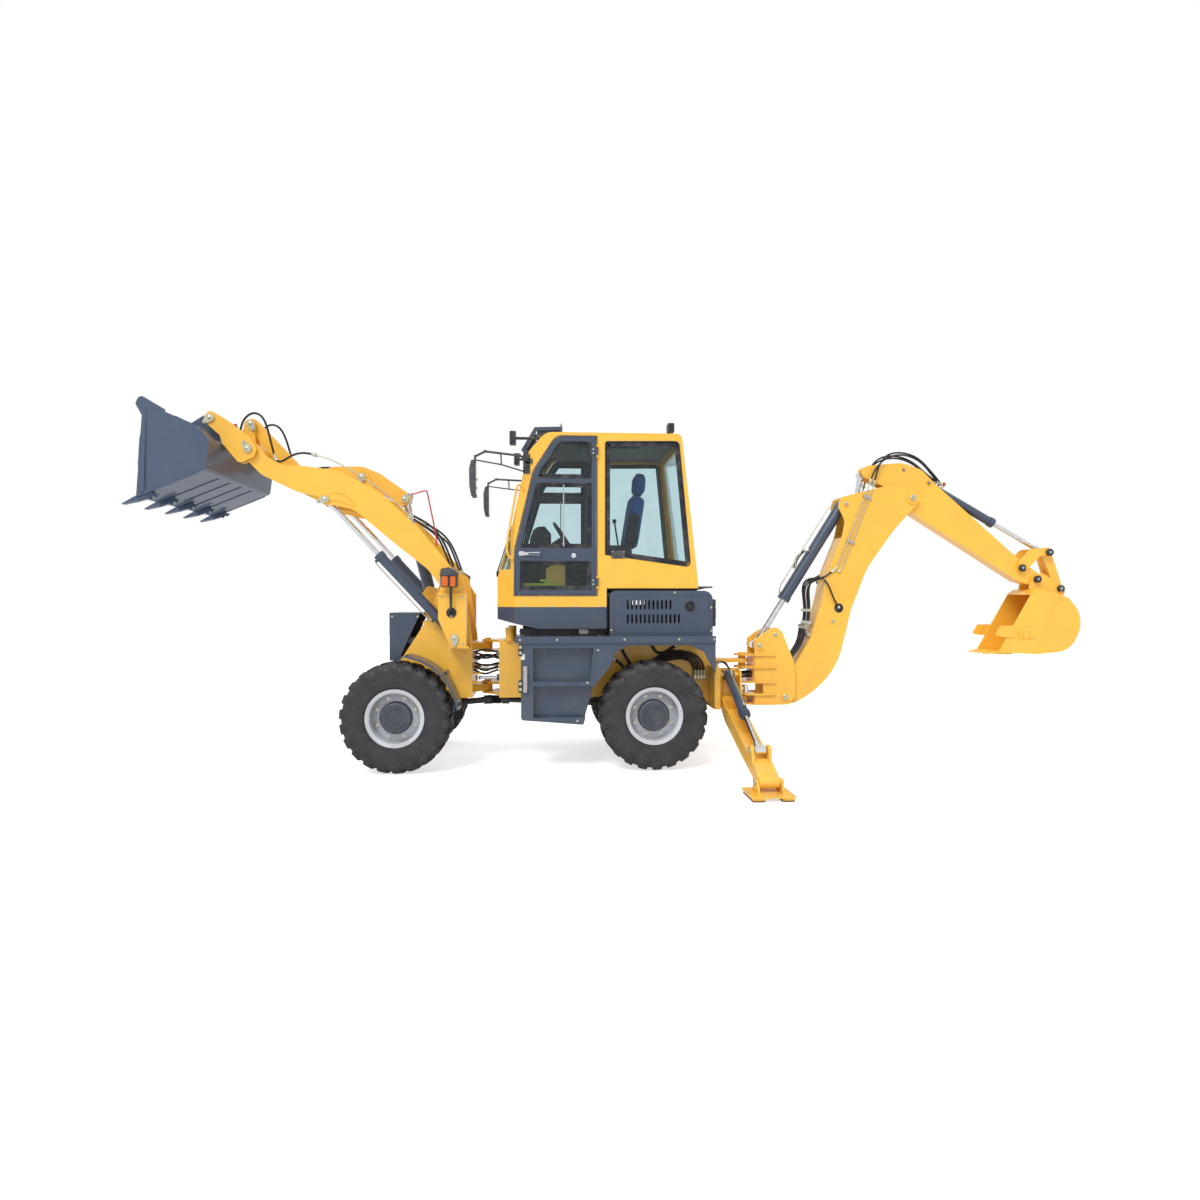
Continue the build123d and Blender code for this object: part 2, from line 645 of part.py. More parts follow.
def cab_glass():
    """The fixed panes: windscreen, front corners, rear sides and rear."""
    side = side_face(grown(REAR_WINDOW, -GAP), CAB_HALF - 20, CAB_HALF - 20 + GLASS)
    skin = side_face(grown(CAB_SIDE, -12), -CAB_HALF, CAB_HALF) & flat_plate(cab_plan(12), *CAB_CLIP)
    core = side_face(grown(CAB_SIDE, -12 - GLASS), -CAB_HALF, CAB_HALF)
    core &= flat_plate(cab_plan(12 + GLASS), *CAB_CLIP)
    rear = (skin - core) & block(CAB_BACK, -1500, -REAR_PANE_HALF + GAP, REAR_PANE_HALF - GAP,
                                 REAR_PANE_LOW + GAP, REAR_PANE_HIGH - GAP)
    front = (skin - core) & block(-140, 400, -SCREEN_HALF + GAP, SCREEN_HALF - GAP,
                                  SCREEN_LOW + GAP, SCREEN_HIGH - GAP)
    y0, y1, z0, z1 = CORNER_PANE
    corner = (skin - core) & block(-140, 400, y0 + GAP, y1 - GAP, z0 + GAP, z1 - GAP)
    return both(side + corner) + rear + front


def door(side):
    """A door on the left (side 1) or right (-1): a framed leaf, three panes, hinge knuckles."""
    outer, inner = side * (CAB_HALF + 8), side * (CAB_HALF + 8 - DOOR_THICK)
    near, far = inner - side * 10, outer + side * 10
    frame = side_plate(DOOR_SIDE, inner, outer)
    rail = 46
    opening = grown(DOOR_SIDE, -rail)
    pane_face = grown(DOOR_SIDE, -rail - GAP)
    panes = Part()
    for z0, z1 in ((DOOR_BOTTOM, 2060), (2195, 2840), (2890, DOOR_TOP + 50)):
        frame -= side_face(opening, near, far) & block(-900, 400, near, far, z0, z1)
        pane = side_face(pane_face, inner + side * 12, inner + side * (12 + GLASS))
        panes += pane & block(-900, 400, near, far, z0 + GAP, z1 - GAP)
    hinge = (DOOR_HINGE[0], side * DOOR_HINGE[1])
    for z in HINGE_HEIGHTS:
        frame += pin_z(hinge, 12, z - 40, z + 40)
        frame += block(hinge[0], hinge[0] + 60, outer - side * 4, outer + side * 8, z - 36, z + 36)
        frame -= pin_z(hinge, HINGE_PIN + PIN_CLEARANCE, z - 50, z + 50)
    grip = outer + side * 22
    frame += bar((-20, grip, 2130), (-150, grip, 2130), 9)
    for x in (-30, -140):
        frame += bar((x, outer - side * 4, 2130), (x, grip, 2130), 9)
    frame += bar((-470, outer - side * 4, 2115), (-470, outer + side * 12, 2115), 22)
    return frame + panes


SEAT_X = -905


def seat():
    """The driver's seat: cushion, leaning back and headrest on a pedestal."""
    deck = CAB_DECK + CAB_WALL + GAP
    body = block(SEAT_X - 270, SEAT_X + 100, -190, 190, deck, deck + 290)
    body += side_plate([
        (SEAT_X - 230, deck + 280, 30), (SEAT_X + 270, deck + 300, 50), (SEAT_X + 270, deck + 420, 50),
        (SEAT_X - 230, deck + 400, 30),
    ], -250, 250)
    body += side_plate([
        (SEAT_X - 120, deck + 380, 30), (SEAT_X - 250, deck + 380, 40), (SEAT_X - 340, deck + 980, 50),
        (SEAT_X - 225, deck + 1010, 50),
    ], -235, 235)
    body += side_plate([
        (SEAT_X - 240, deck + 985, 20), (SEAT_X - 325, deck + 970, 20), (SEAT_X - 350, deck + 1200, 30),
        (SEAT_X - 265, deck + 1215, 30),
    ], -130, 130)
    return body


WHEEL_CENTRE = (-390, 2340)     # steering wheel, (x, z)
COLUMN_TOP = (-60, 2120)
STEERING_RING = 195
RING_SECTION = ((-13, 0), (-8, 12), (8, 12), (13, 0), (8, -12), (-8, -12))


def controls():
    """Steering pedestal, column and wheel."""
    floor = CAB_SILL - 55 + GAP
    body = side_plate([
        (-180, floor), (30, floor), (0, 2150, 40), (-120, 2200, 40),
    ], -110, 110)
    (wx, wz), (cx, cz) = WHEEL_CENTRE, COLUMN_TOP
    body += bar((cx, 0, cz), (wx, 0, wz), 32)
    tilt = math.degrees(math.atan2(wx - cx, wz - cz))
    wheel = Rot(90, 0, 0) * wheel_profile([(STEERING_RING + r, y) for r, y in RING_SECTION])
    wheel += Cylinder(45, 30)
    for turn in (90, 210, 330):
        wheel += Rot(0, 0, turn) * Pos(100, 0, 0) * Box(190, 34, 12)
    body += Pos(wx, 0, wz) * Rot(0, tilt, 0) * wheel
    return body


CONSOLE_X = -1070


def levers():
    """The backhoe and loader lever console beside the seat."""
    deck = CAB_DECK + CAB_WALL + GAP
    top = deck + 420
    console = block(CONSOLE_X, CONSOLE_X + 320, 290, 420, deck, top)
    for x in (CONSOLE_X + 120, CONSOLE_X + 240):
        console += bar((x, 355, top - 10), (x + 40, 355, top + 240), 9)
        console += pin_z((x + 42, 355), 20, top + 235, top + 275)
    return console


MIRROR_TUBE = 11
# the tube's corners: (x, distance out from the cab side, distance below the roof)
MIRROR_PATH = ((-20, 6, 295), (60, 130, 265), (395, 200, 240), (490, 205, 290), (500, 205, 390))


def mirrors():
    """Mirror heads on bent tubes, one at each front corner of the cab."""
    path = [(x, CAB_HALF + out, CAB_ROOF - drop) for x, out, drop in MIRROR_PATH]
    body = block(-60, 8, CAB_HALF + GAP, CAB_HALF + 12, CAB_ROOF - 320, CAB_ROOF - 270)
    for start, end in zip(path, path[1:]):
        body += bar(start, end, MIRROR_TUBE)
    for x, y, z in path[1:-1]:
        body += Pos(x, y, z) * Cylinder(MIRROR_TUBE + 1, 2 * MIRROR_TUBE + 4)
    body += block(480, 520, CAB_HALF + 110, CAB_HALF + 300, CAB_ROOF - 680, CAB_ROOF - 340)
    return both(body)


def lamps():
    """Tail lamps on the hood's back, and work lamps on the cab roof."""
    tail = block(HOOD_BACK - GAP, HOOD_BACK - 45, 560, 650, HOOD_TOP - 360, HOOD_TOP - 85)
    rear = block(-1500, -1440, 470, 600, CAB_ROOF + 40, CAB_ROOF + 130)
    rear += bar((-1470, 535, CAB_ROOF + GAP), (-1470, 535, CAB_ROOF + 60), 12)
    front = block(108, 168, CAB_HALF - 140, CAB_HALF - 40, CAB_ROOF - 116, CAB_ROOF + 14)
    front += bar((115, CAB_HALF - 90, CAB_ROOF - 50), (-160, CAB_HALF - 90, CAB_ROOF - 50), 14)
    front -= side_face(grown(CAB_SIDE, GAP), -CAB_HALF, CAB_HALF)
    return both(tail + rear + front)


# ---------------------------------------------------------------- front frame
COLUMN_INNER = 540
COLUMN_OUTER = 600
LAMP_HOLE = (752, 1545)
LAMP_HOLE_RADIUS = 50


def front_frame():
    """The loader frame ahead of the articulation, with its two arm towers."""
    inner, outer = FRAME_HALF - FRAME_PLATE / 2, FRAME_HALF + FRAME_PLATE / 2
    side = side_plate([
        (FRONT_FRAME_BACK, FRAME_BOTTOM), (820, FRAME_BOTTOM), (900, 900, 60), (1060, 930),
        (FRONT_X - 120, AXLE_SEAT + GAP), (FRONT_X + 120, AXLE_SEAT + GAP), (1330, 1000, 40),
        (1014, 1495, 60), (890, 1870), (ARM_PIVOT[0] + 90, 1960, 85), (ARM_PIVOT[0] - 90, 1960, 85),
        (640, 1760), (FRONT_FRAME_BACK, 1240),
    ], inner, outer)
    body = both(side)
    # cross plates between the side plates
    for x0, x1, z0, z1 in ((FRONT_FRAME_BACK, FRONT_FRAME_BACK + 20, FRAME_BOTTOM, 1235),
                           (700, 720, 1150, 1700), (1080, 1100, 960, 1350)):
        body += block(x0, x1, -inner, inner, z0, z1)
    # outer columns: channel sections open inwards
    column = side_plate([
        (604, 1190), (760, 1190, 20), (885, 1480, 60), (885, 1735), (604, 1735),
    ], COLUMN_OUTER - 16, COLUMN_OUTER)
    column += side_plate([(604, 1190), (620, 1190), (620, 1735), (604, 1735)], COLUMN_INNER, COLUMN_OUTER)
    column += block(604, 885, COLUMN_INNER, COLUMN_OUTER + 10, 1719, 1737)
    column += block(580, 790, inner, COLUMN_OUTER, 1180, 1204)
    column += side_plate([
        (604, 1725), (690, 1880), (ARM_PIVOT[0] - 60, 1950, 60), (ARM_PIVOT[0] + 75, 1950, 75),
        (885, 1725),
    ], COLUMN_INNER, COLUMN_INNER + 18)
    column += side_plate([(604, 1190), (760, 1190), (885, 1480), (885, 1735), (604, 1735)],
                         COLUMN_INNER - 8, COLUMN_INNER + 8) & block(604, 700, 500, 600, 1190, 1740)
    column -= pin(LAMP_HOLE, LAMP_HOLE_RADIUS, COLUMN_OUTER - 40, COLUMN_OUTER + 20)
    body += both(column)
    # arm pins and lift ram pins
    body += both(pin(ARM_PIVOT, 35, inner, COLUMN_INNER + 22))
    body += both(pin(LIFT_BASE, 28, inner, COLUMN_OUTER + 8))
    # tilt ram bracket
    body += both(side_plate([
        (TILT_BASE[0] + 10, TILT_BASE[1] + 60, 50), (TILT_BASE[0] + 90, TILT_BASE[1] - 60, 50),
        (1060, 1450), (720, 1450), (720, 1690),
    ], 70, 92))
    body += block(720, 1075, -inner, inner, 1430, 1452)
    body += pin(TILT_BASE, 28, -100, 100)
    # ears above and below the steering ram's eye
    for low in (STEER_Z - 56, STEER_Z + 38):
        body += flat_plate([
            (STEER_EYE[0] - 42, STEER_EYE[1] - 30, 25), (STEER_EYE[0] - 42, STEER_EYE[1] + 30, 25),
            (FRONT_FRAME_BACK + 5, inner), (FRONT_FRAME_BACK + 5, STEER_EYE[1] - 60),
        ], low, low + 18)
    # hinge tongues
    for height, gap in HINGES:
        half = gap - 6
        tongue = flat_plate([
            (FRONT_FRAME_BACK + 10, -250), (PIVOT_X, -80, 78), (PIVOT_X - 80, 0, 70), (PIVOT_X, 80, 78),
            (FRONT_FRAME_BACK + 10, 250),
        ], height - half, height + half)
        tongue -= pin_z((PIVOT_X, 0), PIVOT_PIN + PIN_CLEARANCE, height - 80, height + 80)
        body += tongue
    return body


def front_guards():
    """The nose guard and the two front mudguards."""
    x0, x1, z0, z1 = 1105, 1420, 1045, 1540
    nose = block(x1 - SHEET, x1, -300, 300, z0, z1)
    nose += block(1105, x1, -300, 300, z1 - SHEET, z1)
    nose += both(side_plate([(x1, z0), (x1, z1), (x0, z1), (1330, z0)], 300 - SHEET, 300))
    nose += both(block(1100 + GAP, x1, 230, 250, 1220, 1280))
    arc_in, arc_out = TYRE_RADIUS + 48, TYRE_RADIUS + 70
    ring = pin((FRONT_X, AXLE_Z), arc_out, 600, 930) - pin((FRONT_X, AXLE_Z), arc_in, 590, 940)
    wedge = side_plate([
        (FRONT_X, AXLE_Z), (FRONT_X - 900, AXLE_Z + 110), (FRONT_X - 900, AXLE_Z + 900),
        (FRONT_X - 130, AXLE_Z + 900),
    ], 580, 950)
    guard = ring & wedge
    stay = bar((FRONT_X - 430, 360 - 10 + GAP, AXLE_Z + 405), (FRONT_X - 430, 640, AXLE_Z + 405), 16)
    stay += block(FRONT_X - 470, FRONT_X - 390, 600, 700, AXLE_Z + 385, AXLE_Z + 425)
    return both(guard + stay) + nose


def front_lamps():
    """Head lamps with indicators on stalks from the columns."""
    stalk = FilletPolyline(
        (752, COLUMN_OUTER - 15, 1545), (752, 640, 1560), (752, 655, 1660), (752, 650, 1800), radius=14,
    )
    lamp = sweep(Plane(origin=stalk @ 0, z_dir=stalk % 0) * Circle(13), path=stalk)
    lamp += side_plate([
        (690, 1800, 12), (845, 1800, 12), (850, 1915), (835, 1980, 20), (760, 1990, 30), (685, 1940, 20),
    ], 595, 705)
    lamp += pin(LAMP_HOLE, LAMP_HOLE_RADIUS - GAP, COLUMN_OUTER - 14, COLUMN_OUTER + 5)
    return both(lamp)


# ---------------------------------------------------------------- steering ram
STEER_BARREL = 388


def steering_point(distance):
    """The (x, y, z) point at a distance along the steering ram."""
    x, y = along(STEER_BASE, STEER_EYE, distance)
    return (x, y, STEER_Z)


def steering_barrel():
    """The steering ram's barrel, on its pin in the rear frame."""
    body = bar(steering_point(20), steering_point(STEER_BARREL), 34)
    body += pin_z(STEER_BASE, 36, STEER_Z - 22, STEER_Z + 22)
    body -= bar(steering_point(38), steering_point(STEER_BARREL - GLAND), STEER_ROD + 5)
    body -= bar(steering_point(38), steering_point(STEER_BARREL + 10), STEER_ROD + GLAND_CLEARANCE)
    return body - pin_z(STEER_BASE, 18 + PIN_CLEARANCE, STEER_Z - 60, STEER_Z + 60)


def steering_rod():
    """The steering ram's rod and eye."""
    span = spread(STEER_BASE, STEER_EYE)
    body = bar(steering_point(193), steering_point(span - 15), STEER_ROD)
    return body + pin_z(STEER_EYE, 28, STEER_Z - 20, STEER_Z + 20)


# ---------------------------------------------------------------- loader
ARM_OUTLINE = (
    (ARM_PIVOT[0] - 75, 1835, 60), (ARM_PIVOT[0] - 60, 1930, 60), (1098, 2410, 150), (1486, 2761, 200),
    (1861, 2965, 200), (2200, 3008, 300), (2440, 3020, 200), (2586, 3105, 200), (2700, 3250, 60),
    (2825, 3200, 60), (2760, 3050, 120), (2634, 2920, 250), (2280, 2750, 300), (2080, 2715, 60),
    (2030, 2625, 40), (1950, 2625, 40), (1733, 2585, 200), (1357, 2267, 200), (1000, 1985, 200),
    (850, 1790, 60), (760, 1770, 70),
)


def loader_arms():
    """The pair of lift arms with their bosses, cross tube and lever brackets."""
    near, far = ARM_INNER, ARM_INNER + ARM_PLATE
    arm = side_plate(ARM_OUTLINE, near, far)
    arm += pin(ARM_PIVOT, 60, FRAME_HALF + FRAME_PLATE / 2 + RUNNING_GAP, COLUMN_INNER - RUNNING_GAP)
    arm -= pin(ARM_PIVOT, 35 + PIN_CLEARANCE, 300, 600)
    arm += pin(LIFT_EYE, 46, far - 2, far + 14)
    arm += side_link(ARM_CROSS, 95, LIFT_EYE, 60, 345, 367)
    arm += pin(ARM_TIP, 62, near - 10, far + 4)
    arm -= pin(ARM_TIP, 34 + PIN_CLEARANCE, near - 60, far + 60)
    body = both(arm)
    body += pin(ARM_CROSS, 80, -near - 2, near + 2)
    for y in (1, -1):
        near_y, far_y = sorted((y * (LEVER_INNER + LEVER_PLATE + RUNNING_GAP),
                                y * (LEVER_INNER + LEVER_PLATE + RUNNING_GAP + 25)))
        body += side_link(ARM_CROSS, 95, LEVER_PIVOT, 62, near_y, far_y)
    half = LEVER_INNER + LEVER_PLATE + RUNNING_GAP + 40
    body += pin(LEVER_PIVOT, 30, -half, half)
    return body


def tilt_lever():
    """The arched bell lever over the arms, two plates joined by spacers."""
    near, far = LEVER_INNER, LEVER_INNER + LEVER_PLATE
    x0, z0 = LEVER_REAR
    x1, z1 = LEVER_FRONT
    plate = side_plate([
        (x0 - 70, z0 - 30, 55), (x0 - 20, z0 + 75, 55), (1560, 3010, 200), (1740, 3085, 250),
        (2050, 3080, 300), (x1 + 20, z1 + 90, 60), (x1 + 85, z1 - 30, 60), (x1 - 20, z1 - 80, 60),
        (2000, 2900, 200), (1740, 2885, 200), (1480, 2760, 200), (x0 + 30, z0 - 75, 55),
    ], near, far)
    plate -= pin(LEVER_PIVOT, 30 + PIN_CLEARANCE, 0, 200)
    body = both(plate)
    body += pin((1520, 2870), 28, -near - 1, near + 1)
    body += pin((2010, 3000), 28, -near - 1, near + 1)
    body += pin(LEVER_FRONT, 30, -far - 6, far + 6)
    body += both(pin(LEVER_REAR, 42, far - 1, far + 8))
    return body


def tilt_link():
    """The link from the bell lever to the coupler."""
    body = side_link(LEVER_FRONT, 62, COUPLER_LINK, 62, -40, 40)
    return body - pin(LEVER_FRONT, 30 + PIN_CLEARANCE, -60, 60)


def tilt_barrel():
    """The tilt ram's barrel."""
    body = ram_barrel(TILT_BASE, LEVER_REAR, 0, 62, 610, 55, 45, TILT_ROD)
    return body - pin(TILT_BASE, 28 + PIN_CLEARANCE, -80, 80)


def tilt_rod():
    """The tilt ram's rod."""
    return ram_rod(TILT_BASE, LEVER_REAR, 0, TILT_ROD, 150, 46, 42)


def lift_barrels():
    """The two lift rams' barrels."""
    body = ram_barrel(LIFT_BASE, LIFT_EYE, LIFT_Y, 50, 1155, 50, 45, LIFT_ROD)
    body -= pin(LIFT_BASE, 28 + PIN_CLEARANCE, LIFT_Y - 80, LIFT_Y + 80)
    return both(body)


def lift_rods():
    """The two lift rams' rods."""
    return both(ram_rod(LIFT_BASE, LIFT_EYE, LIFT_Y, LIFT_ROD, 770, 46, 44))


def loader_coupler():
    """The quick coupler: outer and inner cheeks, cross tube and link ears."""
    outer_y = ARM_INNER + ARM_PLATE + RUNNING_GAP + 12
    corners = [
        (COUPLER_HOOK[0] + 15, COUPLER_HOOK[1] + 85, 50), (2985, 3470, 60), (2740, 3290, 60),
        (2665, 3170, 30), (2694, 3090, 30), (2840, 3030, 30), (3000, 3224, 60), (3020, 3300),
        (COUPLER_HOOK[0] + 75, COUPLER_HOOK[1] - 25, 45),
    ]
    inner_y = ARM_INNER - RUNNING_GAP - 12
    cheek = side_plate(corners, outer_y, outer_y + 22) + side_plate(corners, inner_y - 22, inner_y)
    body = both(cheek)
    body += both(pin(ARM_TIP, 34, inner_y - 30, outer_y + 30))
    body += both(pin(COUPLER_HOOK, 30, inner_y - 30, outer_y + 30))
    body += pin((2930, 3290), 62, -inner_y + 20, inner_y - 20)
    for y in (1, -1):
        a, b = sorted((y * 52, y * 77))
        ear = side_plate([
            (COUPLER_LINK[0] - 40, COUPLER_LINK[1] + 55, 50),
            (COUPLER_LINK[0] + 60, COUPLER_LINK[1] + 40, 50),
            (3010, 3290, 40), (2930, 3210, 40), (2850, 3300, 40),
        ], a, b)
        body += ear
    body += both(pin(COUPLER_LINK, 36, 76, 86))
    return body


# the loader bucket's side outline, from the cutting edge round the back to the top lip
BUCKET_EDGE = (3650, 2640)
BUCKET_HEEL = (3020, 2905)
BUCKET_LIP = (3590, 3540)


BUCKET_EAR = ((3560, 3340), (3573, 3365), (3658, 3520, 30), (3618, 3606, 40), (3388, 3468), (3400, 3400))
HOOK_EAR = ((3330, 3420), (3330, 3400), (3240, 3372), (3120, 3325), (3030, 3240))
# a tooth from its shank to its tip: along the floor, and off it
TOOTH = ((-150, -4), (-150, -34), (20, -34), (150, -10), (150, -2), (20, 16), (-60, 16), (-60, -4))
TOOTH_HALF = 32


def loader_bucket():
    """The loader bucket: rolled shell, side plates, spill ears, teeth and hook ears."""
    t = BUCKET_SHEET
    ex, ez = BUCKET_EDGE
    hx, hz = BUCKET_HEEL
    lx, lz = BUCKET_LIP
    skin_outer = outline([
        BUCKET_EDGE, (hx, hz, 40), (2985, 3190, 120), (3110, 3330, 120), (3250, 3385), BUCKET_LIP,
    ])
    skin_inner = outline([
        (ex + 60, ez - 9), (hx + t, hz + t * 0.78, 30), (2985 + t, 3188, 106), (3118, 3318, 106),
        (3254, 3370), (lx + 60, lz + 10), (lx + 200, 3000),
    ])
    body = side_face(skin_outer, -BUCKET_HALF, BUCKET_HALF)
    body -= side_face(skin_inner, -BUCKET_HALF + t, BUCKET_HALF - t)
    body += both(side_plate(BUCKET_EAR, BUCKET_HALF - t, BUCKET_HALF))
    # teeth under the cutting edge
    slope = math.atan2(hz - ez, hx - ex)
    ux, uz = -math.cos(slope), -math.sin(slope)
    tooth = [(ex + ux * u - uz * n, ez + uz * u + ux * n) for u, n in TOOTH]
    first = -BUCKET_HALF + TOOTH_HALF + 13
    spacing = -2 * first / (BUCKET_TEETH - 1)
    for i in range(BUCKET_TEETH):
        y = first + i * spacing
        body += side_plate(tooth, y - TOOTH_HALF, y + TOOTH_HALF)
    # hook ears on the back
    kx, kz = COUPLER_HOOK
    ear_y = ARM_INNER - RUNNING_GAP - 6
    ear = side_plate([(kx + 10, kz + 62, 50), (kx + 100, kz + 30, 50), *HOOK_EAR, (kx - 50, kz - 40, 40)],
                     ear_y, ear_y + 22)
    ear -= pin(COUPLER_HOOK, 30 + GAP, ear_y - 10, ear_y + 32)
    return body + both(ear)


# ---------------------------------------------------------------- backhoe
POST_PLATES = (1077, 944, 781, 651, 545)      # middle heights of the post's ribs
RIB = 20


def swing_post():
    """The swing post: two cheeks joined by ribs that hinge on the rear frame's lugs."""
    cheek = side_plate([
        (-2450, 535), (-2450, 1245, 20), (-2540, 1310, 80), (-2690, 1390, 70), (-2760, 1310, 60),
        (-2890, 980, 250), (-2900, 630, 60), (-2820, 535, 40),
    ], POST_INNER, POST_INNER + POST_PLATE)
    cheek -= block(-2400, SWING_NOTCH, 0, 400, 661, 771)
    body = both(cheek)
    for z in POST_PLATES:
        rib = flat_plate([
            (-2460, POST_INNER + POST_PLATE), (SWING_X + 20, 120, 100), (SWING_X + 115, 0, 90),
            (SWING_X + 20, -120, 100), (-2460, -POST_INNER - POST_PLATE),
        ], z - RIB / 2, z + RIB / 2)
        if z in POST_PLATES[1:4]:
            rib = rib & block(-3000, SWING_X + 120, -200, 200, z - RIB, z + RIB)
        fringe = flat_plate([
            (-2700, POST_INNER + POST_PLATE - 2), (-2440, POST_INNER + POST_PLATE - 2),
            (-2440, POST_INNER + POST_PLATE + 22), (-2660, POST_INNER + POST_PLATE + 22),
        ], z - RIB / 2, z + RIB / 2)
        body += rib + both(fringe)
    for z0, z1 in ((545, 651), (781, 1087)):
        body += block(-2460, -2440, -POST_INNER - 5, POST_INNER + 5, z0, z1)
    for low, high in ((944 - 30, 1077 + 22), (545 - 14, 651 + 14)):
        body += pin_z((SWING_X, 0), SWING_PIN, low, high)
    # ears that the swing rams push
    for y in (1, -1):
        ear_y = y * SWING_RAM_Y
        for z in (781, 651):
            body += flat_plate([
                (-2445, ear_y - 45), (SWING_X - 20, ear_y - 42, 30), (SWING_X + 40, ear_y, 30),
                (SWING_X - 20, ear_y + 42, 30), (-2445, ear_y + 45),
            ], z - RIB / 2, z + RIB / 2)
    body += pin(BOOM_FOOT, 38, -POST_INNER - POST_PLATE - 22, POST_INNER + POST_PLATE + 22)
    body += both(pin(BOOM_RAM_BASE, 52, POST_INNER - 40, POST_INNER + POST_PLATE + 14))
    return body


def swing_rod():
    """The left swing ram's rod and eye."""
    rod = bar(swing_point(SWING_X + 420), swing_point(SWING_X + 25), SWING_ROD)
    return rod + pin_z((SWING_X, SWING_RAM_Y), 34, SWING_RAM_Z - 40, SWING_RAM_Z + 40)


BOOM_OUTLINE = (
    (-2780, 535, 78), (-2905, 548, 150), (-3015, 608, 300), (-3125, 683, 300), (-3226, 775, 300),
    (-3314, 880, 300), (-3380, 990, 300), (-3420, 1090, 300), (-3466, 1272, 400), (-3535, 1569, 500),
    (-3720, 2030, 800), (-4010, 2430, 800), (-4235, 2680, 60), (-4345, 2790, 60), (-4250, 2910, 80),
    (-3950, 2935, 300), (-3620, 2850, 200), (-3420, 2800, 60), (-3395, 2690, 60), (-3470, 2540, 150),
    (-3440, 2380, 300), (-3270, 1960, 500), (-3200, 1640, 500), (-3080, 1250, 500), (-2860, 880, 300),
    (-2700, 640, 60),
)


def boom():
    """The curved boom: two outer plates, closed by belly and back strips, with end bosses."""
    plate = side_plate(BOOM_OUTLINE, BOOM_HALF - BOOM_PLATE, BOOM_HALF)
    plate -= pin((-3397, 1585), 42, 0, 200)
    body = both(plate)
    solid = side_plate(BOOM_OUTLINE, -BOOM_HALF + 5, BOOM_HALF - 5)
    walls = solid - side_face(offset(outline(BOOM_OUTLINE), amount=-18), -BOOM_HALF, BOOM_HALF)
    # the upper end is an open fork for the dipper, and the ram's rod leaves through the top
    walls -= block(-4400, -3480, -DIPPER_HALF - RUNNING_GAP, DIPPER_HALF + RUNNING_GAP, 2560, 3000)
    walls -= side_link(BOOM_RAM_EYE, 95, along(BOOM_RAM_EYE, BOOM_RAM_BASE, 420), 150, -BOOM_HALF, BOOM_HALF)
    walls -= side_link(
        along(DIPPER_RAM_BASE, DIPPER_TAIL, 750), 90, along(DIPPER_RAM_BASE, DIPPER_TAIL, 1300), 140,
        -BOOM_HALF + BOOM_PLATE, BOOM_HALF - BOOM_PLATE,
    )
    body += walls
    body += pin(BOOM_FOOT, 75, -POST_INNER + RUNNING_GAP, POST_INNER - RUNNING_GAP)
    body -= pin(BOOM_FOOT, 38 + PIN_CLEARANCE, -200, 200)
    body += pin(DIPPER_PIVOT, 38, -BOOM_HALF - 24, BOOM_HALF + 24)
    body += both(pin(DIPPER_PIVOT, 70, BOOM_HALF - 2, BOOM_HALF + 12))
    body += pin(DIPPER_RAM_BASE, 26, -BOOM_HALF, BOOM_HALF)
    body += pin(BOOM_RAM_EYE, 30, -BOOM_HALF - 10, BOOM_HALF + 10)
    return body


def boom_barrel():
    """The boom ram's barrel, hung from the boom, rod end down."""
    body = ram_barrel(BOOM_RAM_EYE, BOOM_RAM_BASE, 0, 62, 1250, 58, 70, BOOM_ROD)
    return body - pin(BOOM_RAM_EYE, 30 + PIN_CLEARANCE, -100, 100)


def boom_rod():
    """The boom ram's rod, down to its pin in the swing post."""
    return ram_rod(BOOM_RAM_EYE, BOOM_RAM_BASE, 0, BOOM_ROD, 640, 52, 60)


DIPPER_OUTLINE = (
    (-3650, 3060, 60), (-3720, 3155, 80), (-4140, 3195, 300), (-4360, 3120, 200), (-4520, 2960, 60),
    (-5470, 2140), (-5740, 1950, 70), (-5650, 1835, 70), (-5480, 1880), (-4215, 2660, 120),
    (-4100, 2860, 200), (-3850, 2960, 200),
)


def dipper():
    """The dipper: a box section with its tail, ram bracket and link pins."""
    body = side_plate(DIPPER_OUTLINE, -DIPPER_HALF, DIPPER_HALF)
    # the tail is a fork round the dipper ram's eye
    body -= pin(DIPPER_TAIL, 150, -45, 45)
    body -= pin(DIPPER_PIVOT, 38 + PIN_CLEARANCE, -200, 200)
    slot_end = along(BUCKET_RAM_BASE, GUIDE_TIP, 620)
    body -= side_link(BUCKET_RAM_BASE, 75, slot_end, 130, -62, 62)
    body += pin(BUCKET_RAM_BASE, 26, -DIPPER_HALF - 10, DIPPER_HALF + 10)
    body += pin(GUIDE_PIVOT, 32, -DIPPER_HALF - 50, DIPPER_HALF + 50)
    body += pin(DIPPER_TIP, 34, -DIPPER_HALF - 62, DIPPER_HALF + 62)
    return body


def dipper_barrel():
    """The dipper ram's barrel inside the boom."""
    body = ram_barrel(DIPPER_RAM_BASE, DIPPER_TAIL, 0, 52, 1080, 50, 60, DIPPER_ROD)
    return body - pin(DIPPER_RAM_BASE, 26 + PIN_CLEARANCE, -100, 100)


def dipper_rod():
    """The dipper ram's rod, up to the dipper's tail."""
    return ram_rod(DIPPER_RAM_BASE, DIPPER_TAIL, 0, DIPPER_ROD, 520, 46, 38)


def bucket_barrel():
    """The bucket ram's barrel, on the dipper's back."""
    body = ram_barrel(BUCKET_RAM_BASE, GUIDE_TIP, 0, 48, 900, 45, 40, BUCKET_ROD)
    return body - pin(BUCKET_RAM_BASE, 26 + PIN_CLEARANCE, -100, 100)


def bucket_rod():
    """The bucket ram's rod, to the guide link."""
    return ram_rod(BUCKET_RAM_BASE, GUIDE_TIP, 0, BUCKET_ROD, 640, 42, 36)


